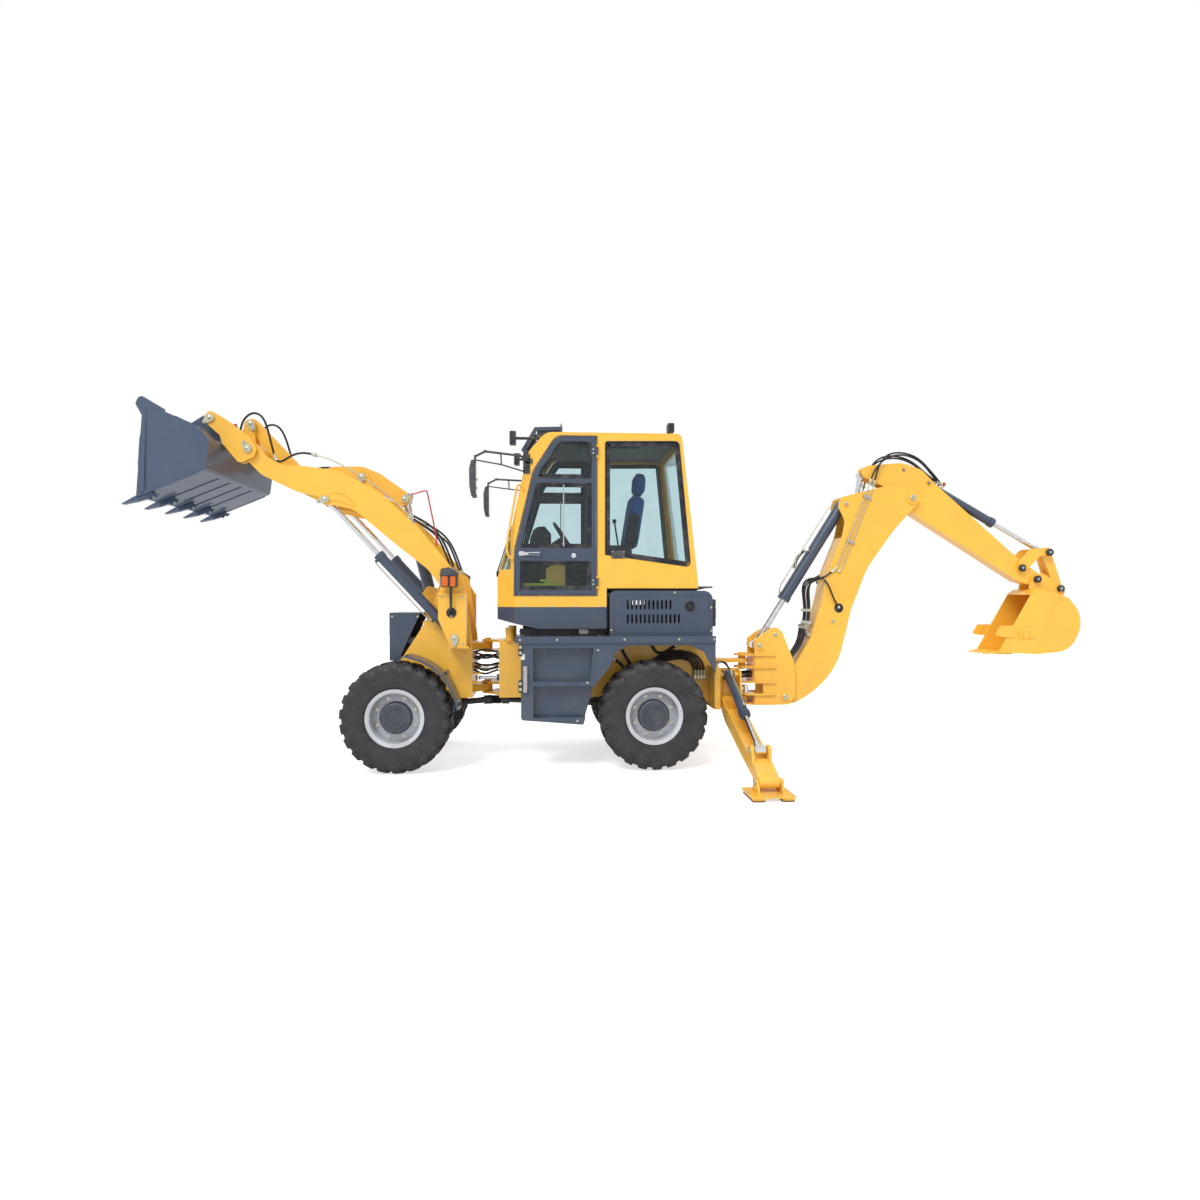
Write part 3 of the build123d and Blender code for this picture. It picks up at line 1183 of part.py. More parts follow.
def guide_link():
    """The pair of arched guide links from the dipper to the ram's eye."""
    near, far = DIPPER_HALF + RUNNING_GAP, DIPPER_HALF + RUNNING_GAP + 22
    gx, gz = GUIDE_PIVOT
    tx, tz = GUIDE_TIP
    plate = side_plate([
        (gx + 50, gz - 30, 45), (gx + 30, gz + 70, 60), (gx - 110, gz + 215, 100), (tx - 10, tz + 55, 45),
        (tx - 55, tz - 40, 45), (tx + 90, tz - 35, 60), (gx - 60, gz - 20, 60), (gx - 10, gz - 60, 40),
    ], near, far)
    plate -= pin(GUIDE_PIVOT, 32 + PIN_CLEARANCE, 0, 300)
    body = both(plate)
    return body + both(pin(GUIDE_TIP, 32, 52, far + 26))


def bucket_link():
    """The link from the guide links' eye down to the bucket."""
    near, far = 50, 74
    plate = side_link(GUIDE_TIP, 50, BUCKET_LINK_PIN, 50, near, far)
    plate -= pin(GUIDE_TIP, 32 + PIN_CLEARANCE, 0, 300)
    body = both(plate)
    mid = ((GUIDE_TIP[0] + BUCKET_LINK_PIN[0]) / 2, (GUIDE_TIP[1] + BUCKET_LINK_PIN[1]) / 2)
    return body + pin(mid, 26, -near - 1, near + 1)


DIG_HALF = 230
DIG_SHEET = 12


def backhoe_bucket():
    """The digging bucket: rolled shell, cheeks, teeth, side cutters and hanger ears."""
    tx, tz = DIPPER_TIP
    lx, lz = BUCKET_LINK_PIN
    outer = [
        (-5160, 1095), (-5600, 1072, 200), (-6000, 1110, 260), (-6150, 1480, 300), (-5960, 1700, 60),
        (-5620, 1800, 60), (-5540, 1745, 20),
    ]
    body = side_plate(outer, -DIG_HALF, DIG_HALF)
    t = DIG_SHEET
    body -= side_plate([
        (-5120, 1095 + t), (-5600, 1072 + t, 188), (-5995, 1110 + t, 248), (-6138, 1480, 288),
        (-5954, 1688, 48), (-5620, 1788, 48), (-5540, 1733, 8), (-5330, 1700),
    ], -DIG_HALF + t, DIG_HALF - t)
    # hanger ears outside the dipper's tip
    ear = side_plate([
        (tx + 55, tz + 30, 50), (tx - 60, tz + 75, 60), (lx + 20, lz + 60, 50), (lx - 65, lz - 20, 45),
        (-5960, 1680), (-5600, 1760), (-5590, 1795),
    ], DIPPER_HALF + RUNNING_GAP, DIPPER_HALF + RUNNING_GAP + 20)
    ear -= pin(DIPPER_TIP, 34 + PIN_CLEARANCE, 0, 300)
    body += both(ear)
    body += both(pin(BUCKET_LINK_PIN, 30, 78, DIPPER_HALF + RUNNING_GAP + 40))
    for y in (-165, 0, 165):
        body += side_plate([
            (-5260, 1080), (-5130, 1082), (-5000, 1072), (-5130, 1112), (-5260, 1112),
        ], y - 35, y + 35)
    cutter = side_plate([
        (-5330, 1260), (-5330, 1390), (-5180, 1390), (-5120, 1290), (-5170, 1270),
    ], DIG_HALF - 2, DIG_HALF + 14)
    return body + both(cutter)


# ---------------------------------------------------------------- stabilizer legs
def leg():
    """The left leg: a fork at the frame, a tapered box, and a clevis for its ram."""
    (py, pz), (fy, fz) = LEG_PIVOT, LEG_FOOT
    x0, x1 = LEG_X - LEG_HALF, LEG_X + LEG_HALF
    dy, dz = fy - py, fz - pz
    span = math.hypot(dy, dz)
    uy, uz = dy / span, dz / span
    vy, vz = -uz, uy

    def at(u, v):
        return (py + uy * u + vy * v, pz + uz * u + vz * v)

    body = cross_plate([
        (*at(-50, -50), 45), (*at(-50, 50), 45), at(250, 45), at(span - 120, 55),
        (*at(span + 50, 40), 40), (*at(span + 50, -42), 40), at(span - 100, -55), (*at(250, -110), 200),
    ], x0, x1)
    # the hollow of the leg, open on its upper side, where the ram lies
    hollow_end = span - 295
    body -= cross_plate([at(70, -60), at(70, 130), at(hollow_end, 130), at(hollow_end, -20), at(300, -80)],
                        x0 + 14, x1 - 14)
    body -= pin_x(LEG_PIVOT, 25 + PIN_CLEARANCE, x0 - 50, x1 + 50)
    # clevis cheeks for the ram's eye
    ey, ez = LEG_RAM_EYE
    for low in (x0, x1 - 26):
        body += cross_plate([
            (ey - 45, ez - 20, 40), (ey - 30, ez + 50, 40), (ey + 50, ez + 45, 40),
            (ey + 90, ez - 110), (ey - 80, ez - 80),
        ], low, low + 26)
    body += pin_x(LEG_FOOT, 22, x0 - 30, x1 + 30)
    return body


def foot():
    """The left foot: a tilting plate with two lugs and rubber-edged pads."""
    fy, fz = LEG_FOOT
    x0, x1 = LEG_X - FOOT_LENGTH / 2, LEG_X + FOOT_LENGTH / 2
    y0, y1 = fy - FOOT_WIDTH / 2, fy + FOOT_WIDTH / 2
    body = block(x0, x1, y0, y1, 30, 48)
    for a, b in ((x0 + 12, x0 + 112), (x1 - 112, x1 - 12)):
        body += block(a, b, y0 + 10, y1 - 10, 0, 31)
    for low in (LEG_X - LEG_HALF - 24, LEG_X + LEG_HALF + 6):
        lug = cross_plate([
            (fy - 110, 46), (fy - 35, fz + 30, 34), (fy + 35, fz + 30, 34), (fy + 110, 46),
        ], low, low + 18)
        body += lug - pin_x(LEG_FOOT, 22 + PIN_CLEARANCE, low - 5, low + 25)
    return body


def leg_ram_frame(distance):
    """The (x, y, z) point at a distance down the left leg's ram."""
    (y0, z0), (y1, z1) = LEG_RAM_TOP, LEG_RAM_EYE
    span = math.hypot(y1 - y0, z1 - z0)
    return (LEG_X, y0 + (y1 - y0) * distance / span, z0 + (z1 - z0) * distance / span)


LEG_RAM_SPAN = math.hypot(LEG_RAM_EYE[0] - LEG_RAM_TOP[0], LEG_RAM_EYE[1] - LEG_RAM_TOP[1])


def leg_barrel():
    """The left leg ram's barrel."""
    body = bar(leg_ram_frame(25), leg_ram_frame(LEG_BARREL), 48)
    body += bar(leg_ram_frame(LEG_BARREL - 50), leg_ram_frame(LEG_BARREL), 55)
    body += pin_x(LEG_RAM_TOP, 46, LEG_X - 55, LEG_X + 55)
    body -= bar(leg_ram_frame(75), leg_ram_frame(LEG_BARREL - GLAND), LEG_ROD + 6)
    body -= bar(leg_ram_frame(75), leg_ram_frame(LEG_BARREL + 10), LEG_ROD + GLAND_CLEARANCE)
    return body - pin_x(LEG_RAM_TOP, 25 + PIN_CLEARANCE, LEG_X - 90, LEG_X + 90)


def leg_rod():
    """The left leg ram's rod."""
    body = bar(leg_ram_frame(LEG_BARREL - 75), leg_ram_frame(LEG_RAM_SPAN - 20), LEG_ROD)
    body += bar(leg_ram_frame(LEG_RAM_SPAN - 88), leg_ram_frame(LEG_RAM_SPAN - 20), 32)
    return body + pin_x(LEG_RAM_EYE, 40, LEG_X - 48, LEG_X + 48)


# ---------------------------------------------------------------- the machine
def build():
    """Every named piece of the machine, laid out from the middle of the wheelbase."""
    parts = {
        "rear_frame": rear_frame(),
        "rear_axle": rear_axle(),
        "swing_barrels": swing_barrels(),
        "engine": engine(),
        "hood": hood(),
        "platform": platform(),
        "cab_shell": cab_shell(),
        "cab_floor": cab_floor(),
        "cab_glass": cab_glass(),
        "seat": seat(),
        "controls": controls() + levers(),
        "mirrors": mirrors(),
        "lamps": lamps(),
        "front_frame": front_frame(),
        "front_axle": front_axle(),
        "front_guards": front_guards(),
        "front_lamps": front_lamps(),
        "steering_barrel": steering_barrel(),
        "steering_rod": steering_rod(),
        "loader_arms": loader_arms(),
        "loader_coupler": loader_coupler(),
        "loader_bucket": loader_bucket(),
        "tilt_lever": tilt_lever(),
        "tilt_link": tilt_link(),
        "tilt_barrel": tilt_barrel(),
        "tilt_rod": tilt_rod(),
        "lift_barrels": lift_barrels(),
        "lift_rods": lift_rods(),
        "swing_post": swing_post(),
        "boom": boom(),
        "boom_barrel": boom_barrel(),
        "boom_rod": boom_rod(),
        "dipper": dipper(),
        "dipper_barrel": dipper_barrel(),
        "dipper_rod": dipper_rod(),
        "bucket_barrel": bucket_barrel(),
        "bucket_rod": bucket_rod(),
        "guide_link": guide_link(),
        "bucket_link": bucket_link(),
        "backhoe_bucket": backhoe_bucket(),
    }
    tyre_shape, rim_shape = tyre(), rim()
    for end, front in (("front", True), ("rear", False)):
        for side, left in (("left", True), ("right", False)):
            place = wheel_place(front, left)
            parts[f"tyre_{end}_{side}"] = place * tyre_shape
            parts[f"rim_{end}_{side}"] = place * rim_shape
    parts["door_left"] = door(1)
    parts["door_right"] = door(-1)
    mirrored = {
        "swing_rod": swing_rod, "leg": leg, "foot": foot, "leg_barrel": leg_barrel,
        "leg_rod": leg_rod,
    }
    for name, make in mirrored.items():
        shape = make()
        parts[f"{name}_left"] = shape
        parts[f"{name}_right"] = right(shape)
    return parts


def middle_x(parts):
    """Half way between the machine's front and back ends."""
    boxes = [shape.bounding_box() for shape in parts.values()]
    return (min(box.min.X for box in boxes) + max(box.max.X for box in boxes)) / 2


def main():
    os.makedirs("parts", exist_ok=True)
    parts = build()
    shift = -middle_x(parts)
    for name, shape in parts.items():
        export_step(Pos(shift, 0, 0) * shape, f"parts/{name}.step")
    print("pieces", len(parts), "shift", round(shift, 2))


if __name__ == "__main__":
    main()
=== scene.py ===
"""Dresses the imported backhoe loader: finishes, tyres, fittings, hoses, glazing, seat and stage."""

import math

import bmesh
import bpy
from mathutils import Matrix, Vector


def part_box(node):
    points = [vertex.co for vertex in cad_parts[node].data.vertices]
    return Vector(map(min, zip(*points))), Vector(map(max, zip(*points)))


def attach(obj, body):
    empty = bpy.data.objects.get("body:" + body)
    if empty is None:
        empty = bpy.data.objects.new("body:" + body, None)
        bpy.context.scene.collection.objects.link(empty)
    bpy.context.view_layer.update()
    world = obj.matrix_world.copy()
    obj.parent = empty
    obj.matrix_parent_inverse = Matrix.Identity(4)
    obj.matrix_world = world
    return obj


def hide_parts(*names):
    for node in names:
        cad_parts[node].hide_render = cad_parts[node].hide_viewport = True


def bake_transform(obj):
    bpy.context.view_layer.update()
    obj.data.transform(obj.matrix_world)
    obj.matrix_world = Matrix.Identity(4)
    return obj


bl_info = {"name": "Backhoe Loader Dressing", "version": (1, 0, 0), "blender": (4, 5, 0),
    "location": "3D View > Sidebar > Backhoe Loader",
    "description": "Finishes, tyres, fittings, hoses, glazing, seat and stage of a backhoe loader",
    "category": "Object",}

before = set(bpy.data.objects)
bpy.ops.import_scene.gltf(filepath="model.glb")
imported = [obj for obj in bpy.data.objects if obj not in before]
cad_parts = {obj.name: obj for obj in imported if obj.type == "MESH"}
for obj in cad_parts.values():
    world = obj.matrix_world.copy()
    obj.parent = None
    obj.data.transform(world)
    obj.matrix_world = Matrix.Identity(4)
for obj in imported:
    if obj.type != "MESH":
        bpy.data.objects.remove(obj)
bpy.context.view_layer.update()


def middle(node):
    """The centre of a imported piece's box."""
    low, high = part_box(node)
    return (low + high) / 2


AXLES_MIDDLE = (middle("tyre_front_left").x + middle("tyre_rear_left").x) / 2
WHEELS = [f"{end}_{side}" for end in ("front", "rear") for side in ("left", "right")]


def at(x, y, z):
    """A point in millimetres from the middle of the wheelbase, in the frame's metres."""
    return Vector((x / 1000 + AXLES_MIDDLE, y / 1000, z / 1000))


# -------- node graphs
class Value:
    """A socket that takes part in sums: each operator adds its Math node."""

    def __init__(self, graph, socket):
        self.graph = graph
        self.socket = socket

    def sum(self, operation, other, flip=False):
        first, second = (other, self) if flip else (self, other)
        return self.graph.add("ShaderNodeMath", {"operation": operation}, {0: first, 1: second})

    def __add__(self, other):
        return self.sum("ADD", other)

    def __radd__(self, other):
        return self.sum("ADD", other, True)

    def __sub__(self, other):
        return self.sum("SUBTRACT", other)

    def __rsub__(self, other):
        return self.sum("SUBTRACT", other, True)

    def __mul__(self, other):
        return self.sum("MULTIPLY", other)

    def __rmul__(self, other):
        return self.sum("MULTIPLY", other, True)

    def __truediv__(self, other):
        return self.sum("DIVIDE", other)

    def __gt__(self, other):
        return self.sum("GREATER_THAN", other)

    def __lt__(self, other):
        return self.sum("LESS_THAN", other)


class Graph:
    """Nodes being added to a material's tree or a geometry tree."""

    def __init__(self, tree):
        self.tree = tree

    def add(self, kind, settings=None, values=None, out=0):
        node = self.tree.nodes.new(kind)
        for key, value in (settings or {}).items():
            if key == "stops":
                ramp = node.color_ramp.elements
                for i, (place, colour) in enumerate(value):
                    stop = ramp[i] if i < 2 else ramp.new(place)
                    stop.position = place
                    stop.color = (*colour, 1)
            else:
                setattr(node, key, value)
        for key, value in (values or {}).items():
            for one in value if isinstance(value, list) else [value]:
                self.feed(node.inputs[key], one)
        return Value(self, node.outputs[out])

    def upright(self, way):
        """The turn that stands a piece's Z axis along a vector."""
        return self.add("FunctionNodeAlignRotationToVector", {"axis": "Z"}, {"Vector": way})

    def feed(self, socket, value):
        if isinstance(value, Value):
            self.tree.links.new(value.socket, socket)
        elif socket.type == "RGBA":
            socket.default_value = (*value, 1)
        else:
            socket.default_value = value


class Finish(Graph):
    """A material being mixed: constants go on the shader, patterns on its colour, gloss and bump."""

    def __init__(self, name, **constants):
        self.material = bpy.data.materials.new(name)
        self.material.use_nodes = True
        super().__init__(self.material.node_tree)
        self.tree.nodes.clear()
        self.shader = self.tree.nodes.new("ShaderNodeBsdfPrincipled")
        self.end = self.tree.nodes.new("ShaderNodeOutputMaterial")
        self.tree.links.new(self.shader.outputs[0], self.end.inputs[0])
        self.place = self.add("ShaderNodeTexCoord", out="Object")
        for key, value in constants.items():
            self.feed(self.shader.inputs[key.replace("_", " ")], value)

    def cloud(self, scale, detail=3.0, roughness=0.5, where=None):
        return self.add("ShaderNodeTexNoise", None, {"Vector": where or self.place, "Scale": scale,
            "Detail": detail, "Roughness": roughness})

    def ramp(self, value, low, high):
        """The value stretched so that low becomes 0 and high becomes 1."""
        return self.add("ShaderNodeMapRange", None, {"Value": value, "From Min": low, "From Max": high,
            "To Min": 0.0, "To Max": 1.0})

    def mix(self, share, first, second):
        return self.add("ShaderNodeMix", {"data_type": "RGBA"}, {0: share, 6: first, 7: second}, out=2)

    def part(self, axis):
        return self.add("ShaderNodeSeparateXYZ", None, {0: self.place}, out=axis)

    def bump(self, height, distance, strength=1.0):
        normal = self.add("ShaderNodeBump", None,
            {"Strength": strength, "Distance": distance, "Height": height})
        self.feed(self.shader.inputs["Normal"], normal)

    def set(self, **values):
        for key, value in values.items():
            self.feed(self.shader.inputs[key.replace("_", " ")], value)
        return self.material


def scaled(colour, factor):
    return tuple(channel * factor for channel in colour)


DUST = (0.30, 0.27, 0.23)
# where the cab shell and the doors change finish, in metres
SKIRT_TOP, ROOF_SKIN = 1.602, 3.353
VISOR_FOOT, VISOR_REAR, VISOR_LEAN = 3.19, 3.14, 0.857
PANE_INSIDE, PANE_OUTSIDE = 0.6855, 0.6925


def paint(name, colour, gloss=0.30, dust=0.35, second=None, region=None):
    """Sprayed enamel: a faint orange peel, slow tint changes, dust near the ground, and a second colour."""
    finish = Finish(name, Coat_Roughness=0.08, Specular_IOR_Level=0.5)
    broad = finish.cloud(2.3, 4.0)
    speck = finish.cloud(85.0, 2.0)
    low = 1 - finish.ramp(finish.part("Z"), 0.15, 1.3)
    film = finish.ramp(finish.cloud(6.0, 6.0, 0.62), 0.44, 0.78) * (low * dust + 0.05)
    tint = finish.mix(finish.ramp(broad, 0.3, 0.7), scaled(colour, 0.94), scaled(colour, 1.04))
    if region:
        tint = finish.mix(region(finish), tint, second)
    finish.bump(finish.cloud(420.0, 1.0) * 0.6 + speck * 0.4, 0.00035, 0.10)
    return finish.set(Base_Color=finish.mix(film, tint, DUST), Coat_Weight=0.35 - film * 0.3,
        Roughness=gloss + finish.ramp(broad, 0.2, 0.8) * 0.10 + film * 0.4)


def skirt_and_visor(finish):
    """Where the cab shell is blue grey: below the skirt's bolts, and the sun visor over the screen."""
    height = finish.part("Z")
    forward = finish.part("X") - AXLES_MIDDLE
    ahead = (forward + (height - VISOR_REAR) * VISOR_LEAN > 0.015) * (height > VISOR_FOOT)
    return (height < SKIRT_TOP) + (height > ROOF_SKIN) + ahead


def bare_metal(name, colour, gloss, streak=(2.0, 2.0, 90.0), metal=1.0):
    """Bright metal with drawn streaks and a slight haze."""
    finish = Finish(name, Metallic=metal)
    turned = finish.add("ShaderNodeMapping", None, {"Vector": finish.place, "Scale": streak})
    lines = finish.cloud(9.0, 4.0, 0.6, turned)
    haze = finish.cloud(24.0, 3.0)
    finish.bump(lines, 0.0002, 0.08)
    return finish.set(Base_Color=finish.mix(finish.ramp(haze, 0.3, 0.75), colour, scaled(colour, 0.78)),
        Roughness=gloss + finish.ramp(lines, 0.3, 0.7) * 0.12)


def passivated(name):
    """Zinc plating, yellowish, with the rainbow blush of its passivation."""
    finish = Finish(name, Metallic=0.85)
    blush = finish.ramp(finish.cloud(60.0, 3.0), 0.35, 0.65)
    finish.bump(finish.cloud(300.0, 2.0), 0.0002, 0.15)
    return finish.set(Base_Color=finish.mix(blush, (0.62, 0.58, 0.40), (0.52, 0.56, 0.50)),
        Roughness=0.28 + blush * 0.15)


def rubber(name, colour, gloss=0.55, grain=260.0):
    """Moulded rubber or plastic: fine grain and a bloom of dust."""
    finish = Finish(name, Specular_IOR_Level=0.4)
    bloom = finish.ramp(finish.cloud(9.0, 5.0, 0.6), 0.45, 0.8)
    finish.bump(finish.cloud(grain, 2.0), 0.0003, 0.25)
    return finish.set(Base_Color=finish.mix(bloom * 0.35, colour, DUST), Roughness=gloss + bloom * 0.2)


def braided(name):
    """Hydraulic hose: black cover with the wrap marks of its cloth."""
    finish = Finish(name, Specular_IOR_Level=0.4)
    wrap = finish.add("ShaderNodeTexWave", {"wave_type": "BANDS", "bands_direction": "DIAGONAL"}, {
        "Vector": finish.place, "Scale": 95.0, "Distortion": 1.5, "Detail": 2.0}, out="Fac")
    bloom = finish.ramp(finish.cloud(14.0, 4.0), 0.45, 0.8)
    finish.bump(wrap, 0.0006, 0.35)
    return finish.set(Base_Color=finish.mix(bloom * 0.4, (0.012, 0.012, 0.013), (0.10, 0.10, 0.10)),
        Roughness=0.42 + wrap * 0.15)


def tyre_rubber(name, centre):
    """Tyre rubber: patches of dust, scuffed tread, fine rings round the sidewall."""
    finish = Finish(name, Specular_IOR_Level=0.35)
    about = finish.add("ShaderNodeVectorMath", {"operation": "SUBTRACT"}, {0: finish.place, 1: centre})
    flat = finish.add("ShaderNodeVectorMath", {"operation": "MULTIPLY"}, {0: about, 1: (1.0, 0.0, 1.0)})
    radius = finish.add("ShaderNodeVectorMath", {"operation": "LENGTH"}, {0: flat}, out="Value")
    rings = finish.add("ShaderNodeMath", {"operation": "SINE"}, {0: radius * 520.0})
    grain = finish.cloud(140.0, 4.0)
    patches = finish.ramp(finish.cloud(7.0, 7.0, 0.66), 0.36, 0.70)
    scuff = finish.ramp(finish.cloud(38.0, 5.0, 0.7), 0.40, 0.72)
    wall = 1 - finish.ramp(radius, 0.42, 0.50)
    dusty = finish.mix(patches * 0.45, (0.022, 0.023, 0.027), (0.085, 0.083, 0.087))
    finish.bump(grain * 0.6 + scuff * 0.7 + rings * wall * 0.16, 0.0012, 0.55)
    return finish.set(Base_Color=finish.mix(scuff * 0.30, dusty, (0.065, 0.064, 0.068)),
        Roughness=0.38 + patches * 0.32)


def pane(name, tint, gloss=0.02):
    """Toughened glass: pale green, with a film of dust in patches."""
    finish = Finish(name, Transmission_Weight=1.0, IOR=1.35, Specular_IOR_Level=0.5)
    film = finish.ramp(finish.cloud(11.0, 5.0, 0.6), 0.5, 0.85)
    return finish.set(Base_Color=finish.mix(film * 0.25, tint, (0.80, 0.82, 0.80)),
        Roughness=gloss + film * 0.05)


def woven(name, colour):
    """Upholstery cloth: crossed threads and a nap that catches the light."""
    finish = Finish(name, Sheen_Weight=0.35, Sheen_Roughness=0.5, Specular_IOR_Level=0.2)
    warp = finish.add("ShaderNodeTexWave", {"bands_direction": "Y"},
        {"Vector": finish.place, "Scale": 210.0, "Distortion": 0.6}, out="Fac")
    weft = finish.add("ShaderNodeTexWave", {"bands_direction": "Z"},
        {"Vector": finish.place, "Scale": 210.0, "Distortion": 0.6}, out="Fac")
    wear = finish.ramp(finish.cloud(12.0, 5.0), 0.3, 0.75)
    finish.bump(warp * weft, 0.0009, 0.6)
    return finish.set(Base_Color=finish.mix(wear * 0.5 + warp * 0.2, scaled(colour, 0.72),
        scaled(colour, 1.25)), Roughness=0.80 + weft * 0.12)


def lens(name, colour, glow=0.0):
    """A lamp's coloured lens with its moulded prisms."""
    finish = Finish(name, Transmission_Weight=0.25, IOR=1.45, Emission_Strength=glow)
    prism = finish.add("ShaderNodeTexWave", {"bands_direction": "Z"},
        {"Vector": finish.place, "Scale": 55.0}, out="Fac")
    finish.bump(prism, 0.0012, 0.5)
    shade = finish.mix(prism * 0.4, colour, scaled(colour, 0.7))
    return finish.set(Base_Color=shade, Emission_Color=shade, Roughness=0.12 + prism * 0.1)


def door_finish(paint_colour, tint):
    """The doors' one solid: enamel on the leaf, glass where the panes lie inside it."""
    finish = Finish("door_enamel_and_glass", Coat_Roughness=0.08)
    broad = finish.cloud(2.6, 4.0)
    finish.bump(finish.cloud(420.0, 1.0), 0.00035, 0.08)
    finish.set(Base_Color=finish.mix(finish.ramp(broad, 0.3, 0.7), scaled(paint_colour, 0.94),
        scaled(paint_colour, 1.06)), Roughness=0.30 + broad * 0.1, Coat_Weight=0.3 - broad * 0.05)
    glass = finish.tree.nodes.new("ShaderNodeBsdfPrincipled")
    for key, value in (("Transmission Weight", 1.0), ("IOR", 1.35), ("Roughness", 0.02)):
        glass.inputs[key].default_value = value
    film = finish.ramp(finish.cloud(11.0, 5.0, 0.6), 0.5, 0.85)
    finish.feed(glass.inputs["Base Color"], finish.mix(film * 0.25, tint, (0.80, 0.82, 0.80)))
    depth = finish.add("ShaderNodeMath", {"operation": "ABSOLUTE"}, {0: finish.part("Y")})
    within = (depth > PANE_INSIDE) * (depth < PANE_OUTSIDE)
    finish.add("ShaderNodeMixShader", None, {0: within, 1: Value(finish, finish.shader.outputs[0]),
        2: Value(finish, glass.outputs[0])})
    finish.tree.links.new(finish.tree.nodes[-1].outputs[0], finish.end.inputs[0])
    return finish.material


# -------- geometry trees
def new_tree(name, **inputs):
    """A geometry tree with named inputs; gives the graph and its input node's sockets."""
    tree = bpy.data.node_groups.new(name, "GeometryNodeTree")
    tree.interface.new_socket("Geometry", in_out="INPUT", socket_type="NodeSocketGeometry")
    for label, (kind, default) in inputs.items():
        socket = tree.interface.new_socket(label.replace("_", " "), in_out="INPUT", socket_type=kind)
        if default is not None:
            socket.default_value = default
    tree.interface.new_socket("Geometry", in_out="OUTPUT", socket_type="NodeSocketGeometry")
    graph = Graph(tree)
    source = tree.nodes.new("NodeGroupInput")
    given = {socket.name: Value(graph, socket) for socket in source.outputs if socket.name}
    return graph, given


def close_tree(graph, geometry, material=None):
    """Ends a tree in Realize Instances and Set Material."""
    real = graph.add("GeometryNodeRealizeInstances", None, {0: geometry})
    if material is not None:
        real = graph.add("GeometryNodeSetMaterial", None, {"Geometry": real, "Material": material})
    end = graph.tree.nodes.new("NodeGroupOutput")
    graph.tree.links.new(real.socket, end.inputs[0])
    return graph.tree


FLOAT = "NodeSocketFloat"
STUFF = "NodeSocketMaterial"


def bolt_tree():
    """Hexagon bolts on washers, one at each point, standing along the point's aim."""
    graph, given = new_tree("bolt heads", Head_Width=(FLOAT, 0.024), Head_Height=(FLOAT, 0.010),
        Washer_Width=(FLOAT, 0.032), Washer_Height=(FLOAT, 0.003), Material=(STUFF, None))
    height, base = given["Head Height"], given["Washer Height"]

    def disc(sides, width, depth, foot):
        ring = graph.add("GeometryNodeMeshCylinder", None,
            {"Vertices": sides, "Radius": width * 0.5, "Depth": depth})
        lift = graph.add("ShaderNodeCombineXYZ", None, {"Z": foot + depth * 0.5})
        return graph.add("GeometryNodeTransform", None, {"Geometry": ring, "Translation": lift})

    bolt = graph.add("GeometryNodeJoinGeometry", None, {0: [disc(20, given["Washer Width"], base, 0.0),
        disc(6, given["Head Width"], height, base),
        disc(12, given["Head Width"] * 0.55, height * 0.25, base + height)]})
    aim = graph.add("GeometryNodeInputNamedAttribute", {"data_type": "FLOAT_VECTOR"}, {"Name": "aim"})
    turn = graph.upright(aim)
    placed = graph.add("GeometryNodeInstanceOnPoints", None, {"Points": given["Geometry"], "Instance": bolt,
        "Rotation": turn})
    return close_tree(graph, placed, given["Material"])


def hose_tree():
    """A tube along a curve, with a crimped ferrule and a nut at each end."""
    graph, given = new_tree("hose run", Radius=(FLOAT, 0.009), Ferrule=(FLOAT, 0.013),
        Length=(FLOAT, 0.045), Cover=(STUFF, None), Metal=(STUFF, None))
    curve = given["Geometry"]
    ring = graph.add("GeometryNodeCurvePrimitiveCircle", None,
        {"Resolution": 12, "Radius": given["Radius"]})
    tube = graph.add("GeometryNodeCurveToMesh", None,
        {"Curve": curve, "Profile Curve": ring, "Fill Caps": True})
    tube = graph.add("GeometryNodeSetShadeSmooth", None, {"Geometry": tube})
    tube = graph.add("GeometryNodeSetMaterial", None, {"Geometry": tube, "Material": given["Cover"]})
    size, length = given["Ferrule"], given["Length"]
    sleeve = graph.add("GeometryNodeMeshCylinder", None, {"Vertices": 16, "Radius": size, "Depth": length})
    lift = graph.add("ShaderNodeCombineXYZ", None, {"Z": length * 0.5 + 0.001})
    sleeve = graph.add("GeometryNodeTransform", None, {"Geometry": sleeve, "Translation": lift})
    nut = graph.add("GeometryNodeMeshCylinder", None,
        {"Vertices": 6, "Radius": size * 1.3, "Depth": length * 0.4})
    lift = graph.add("ShaderNodeCombineXYZ", None, {"Z": length * 0.2 - 0.001})
    nut = graph.add("GeometryNodeTransform", None, {"Geometry": nut, "Translation": lift})
    end_piece = graph.add("GeometryNodeJoinGeometry", None, {0: [sleeve, nut]})
    tangent = graph.add("GeometryNodeInputTangent")
    ends = []
    for first, way in ((True, 1.0), (False, -1.0)):
        pick = graph.add("GeometryNodeCurveEndpointSelection", None, {"Start Size": 1 if first else 0,
            "End Size": 0 if first else 1})
        along = graph.add("ShaderNodeVectorMath", {"operation": "SCALE"}, {0: tangent, "Scale": way})
        turn = graph.upright(along)
        points = graph.add("GeometryNodeResampleCurve", None, {"Curve": curve, "Count": 60})
        ends.append(graph.add("GeometryNodeInstanceOnPoints", None, {"Points": points, "Selection": pick,
            "Instance": end_piece, "Rotation": turn}))
    metal = graph.add("GeometryNodeJoinGeometry", None, {0: ends})
    metal = graph.add("GeometryNodeRealizeInstances", None, {0: metal})
    metal = graph.add("GeometryNodeSetMaterial", None, {"Geometry": metal, "Material": given["Metal"]})
    whole = graph.add("GeometryNodeJoinGeometry", None, {0: [tube, metal]})
    return close_tree(graph, whole)


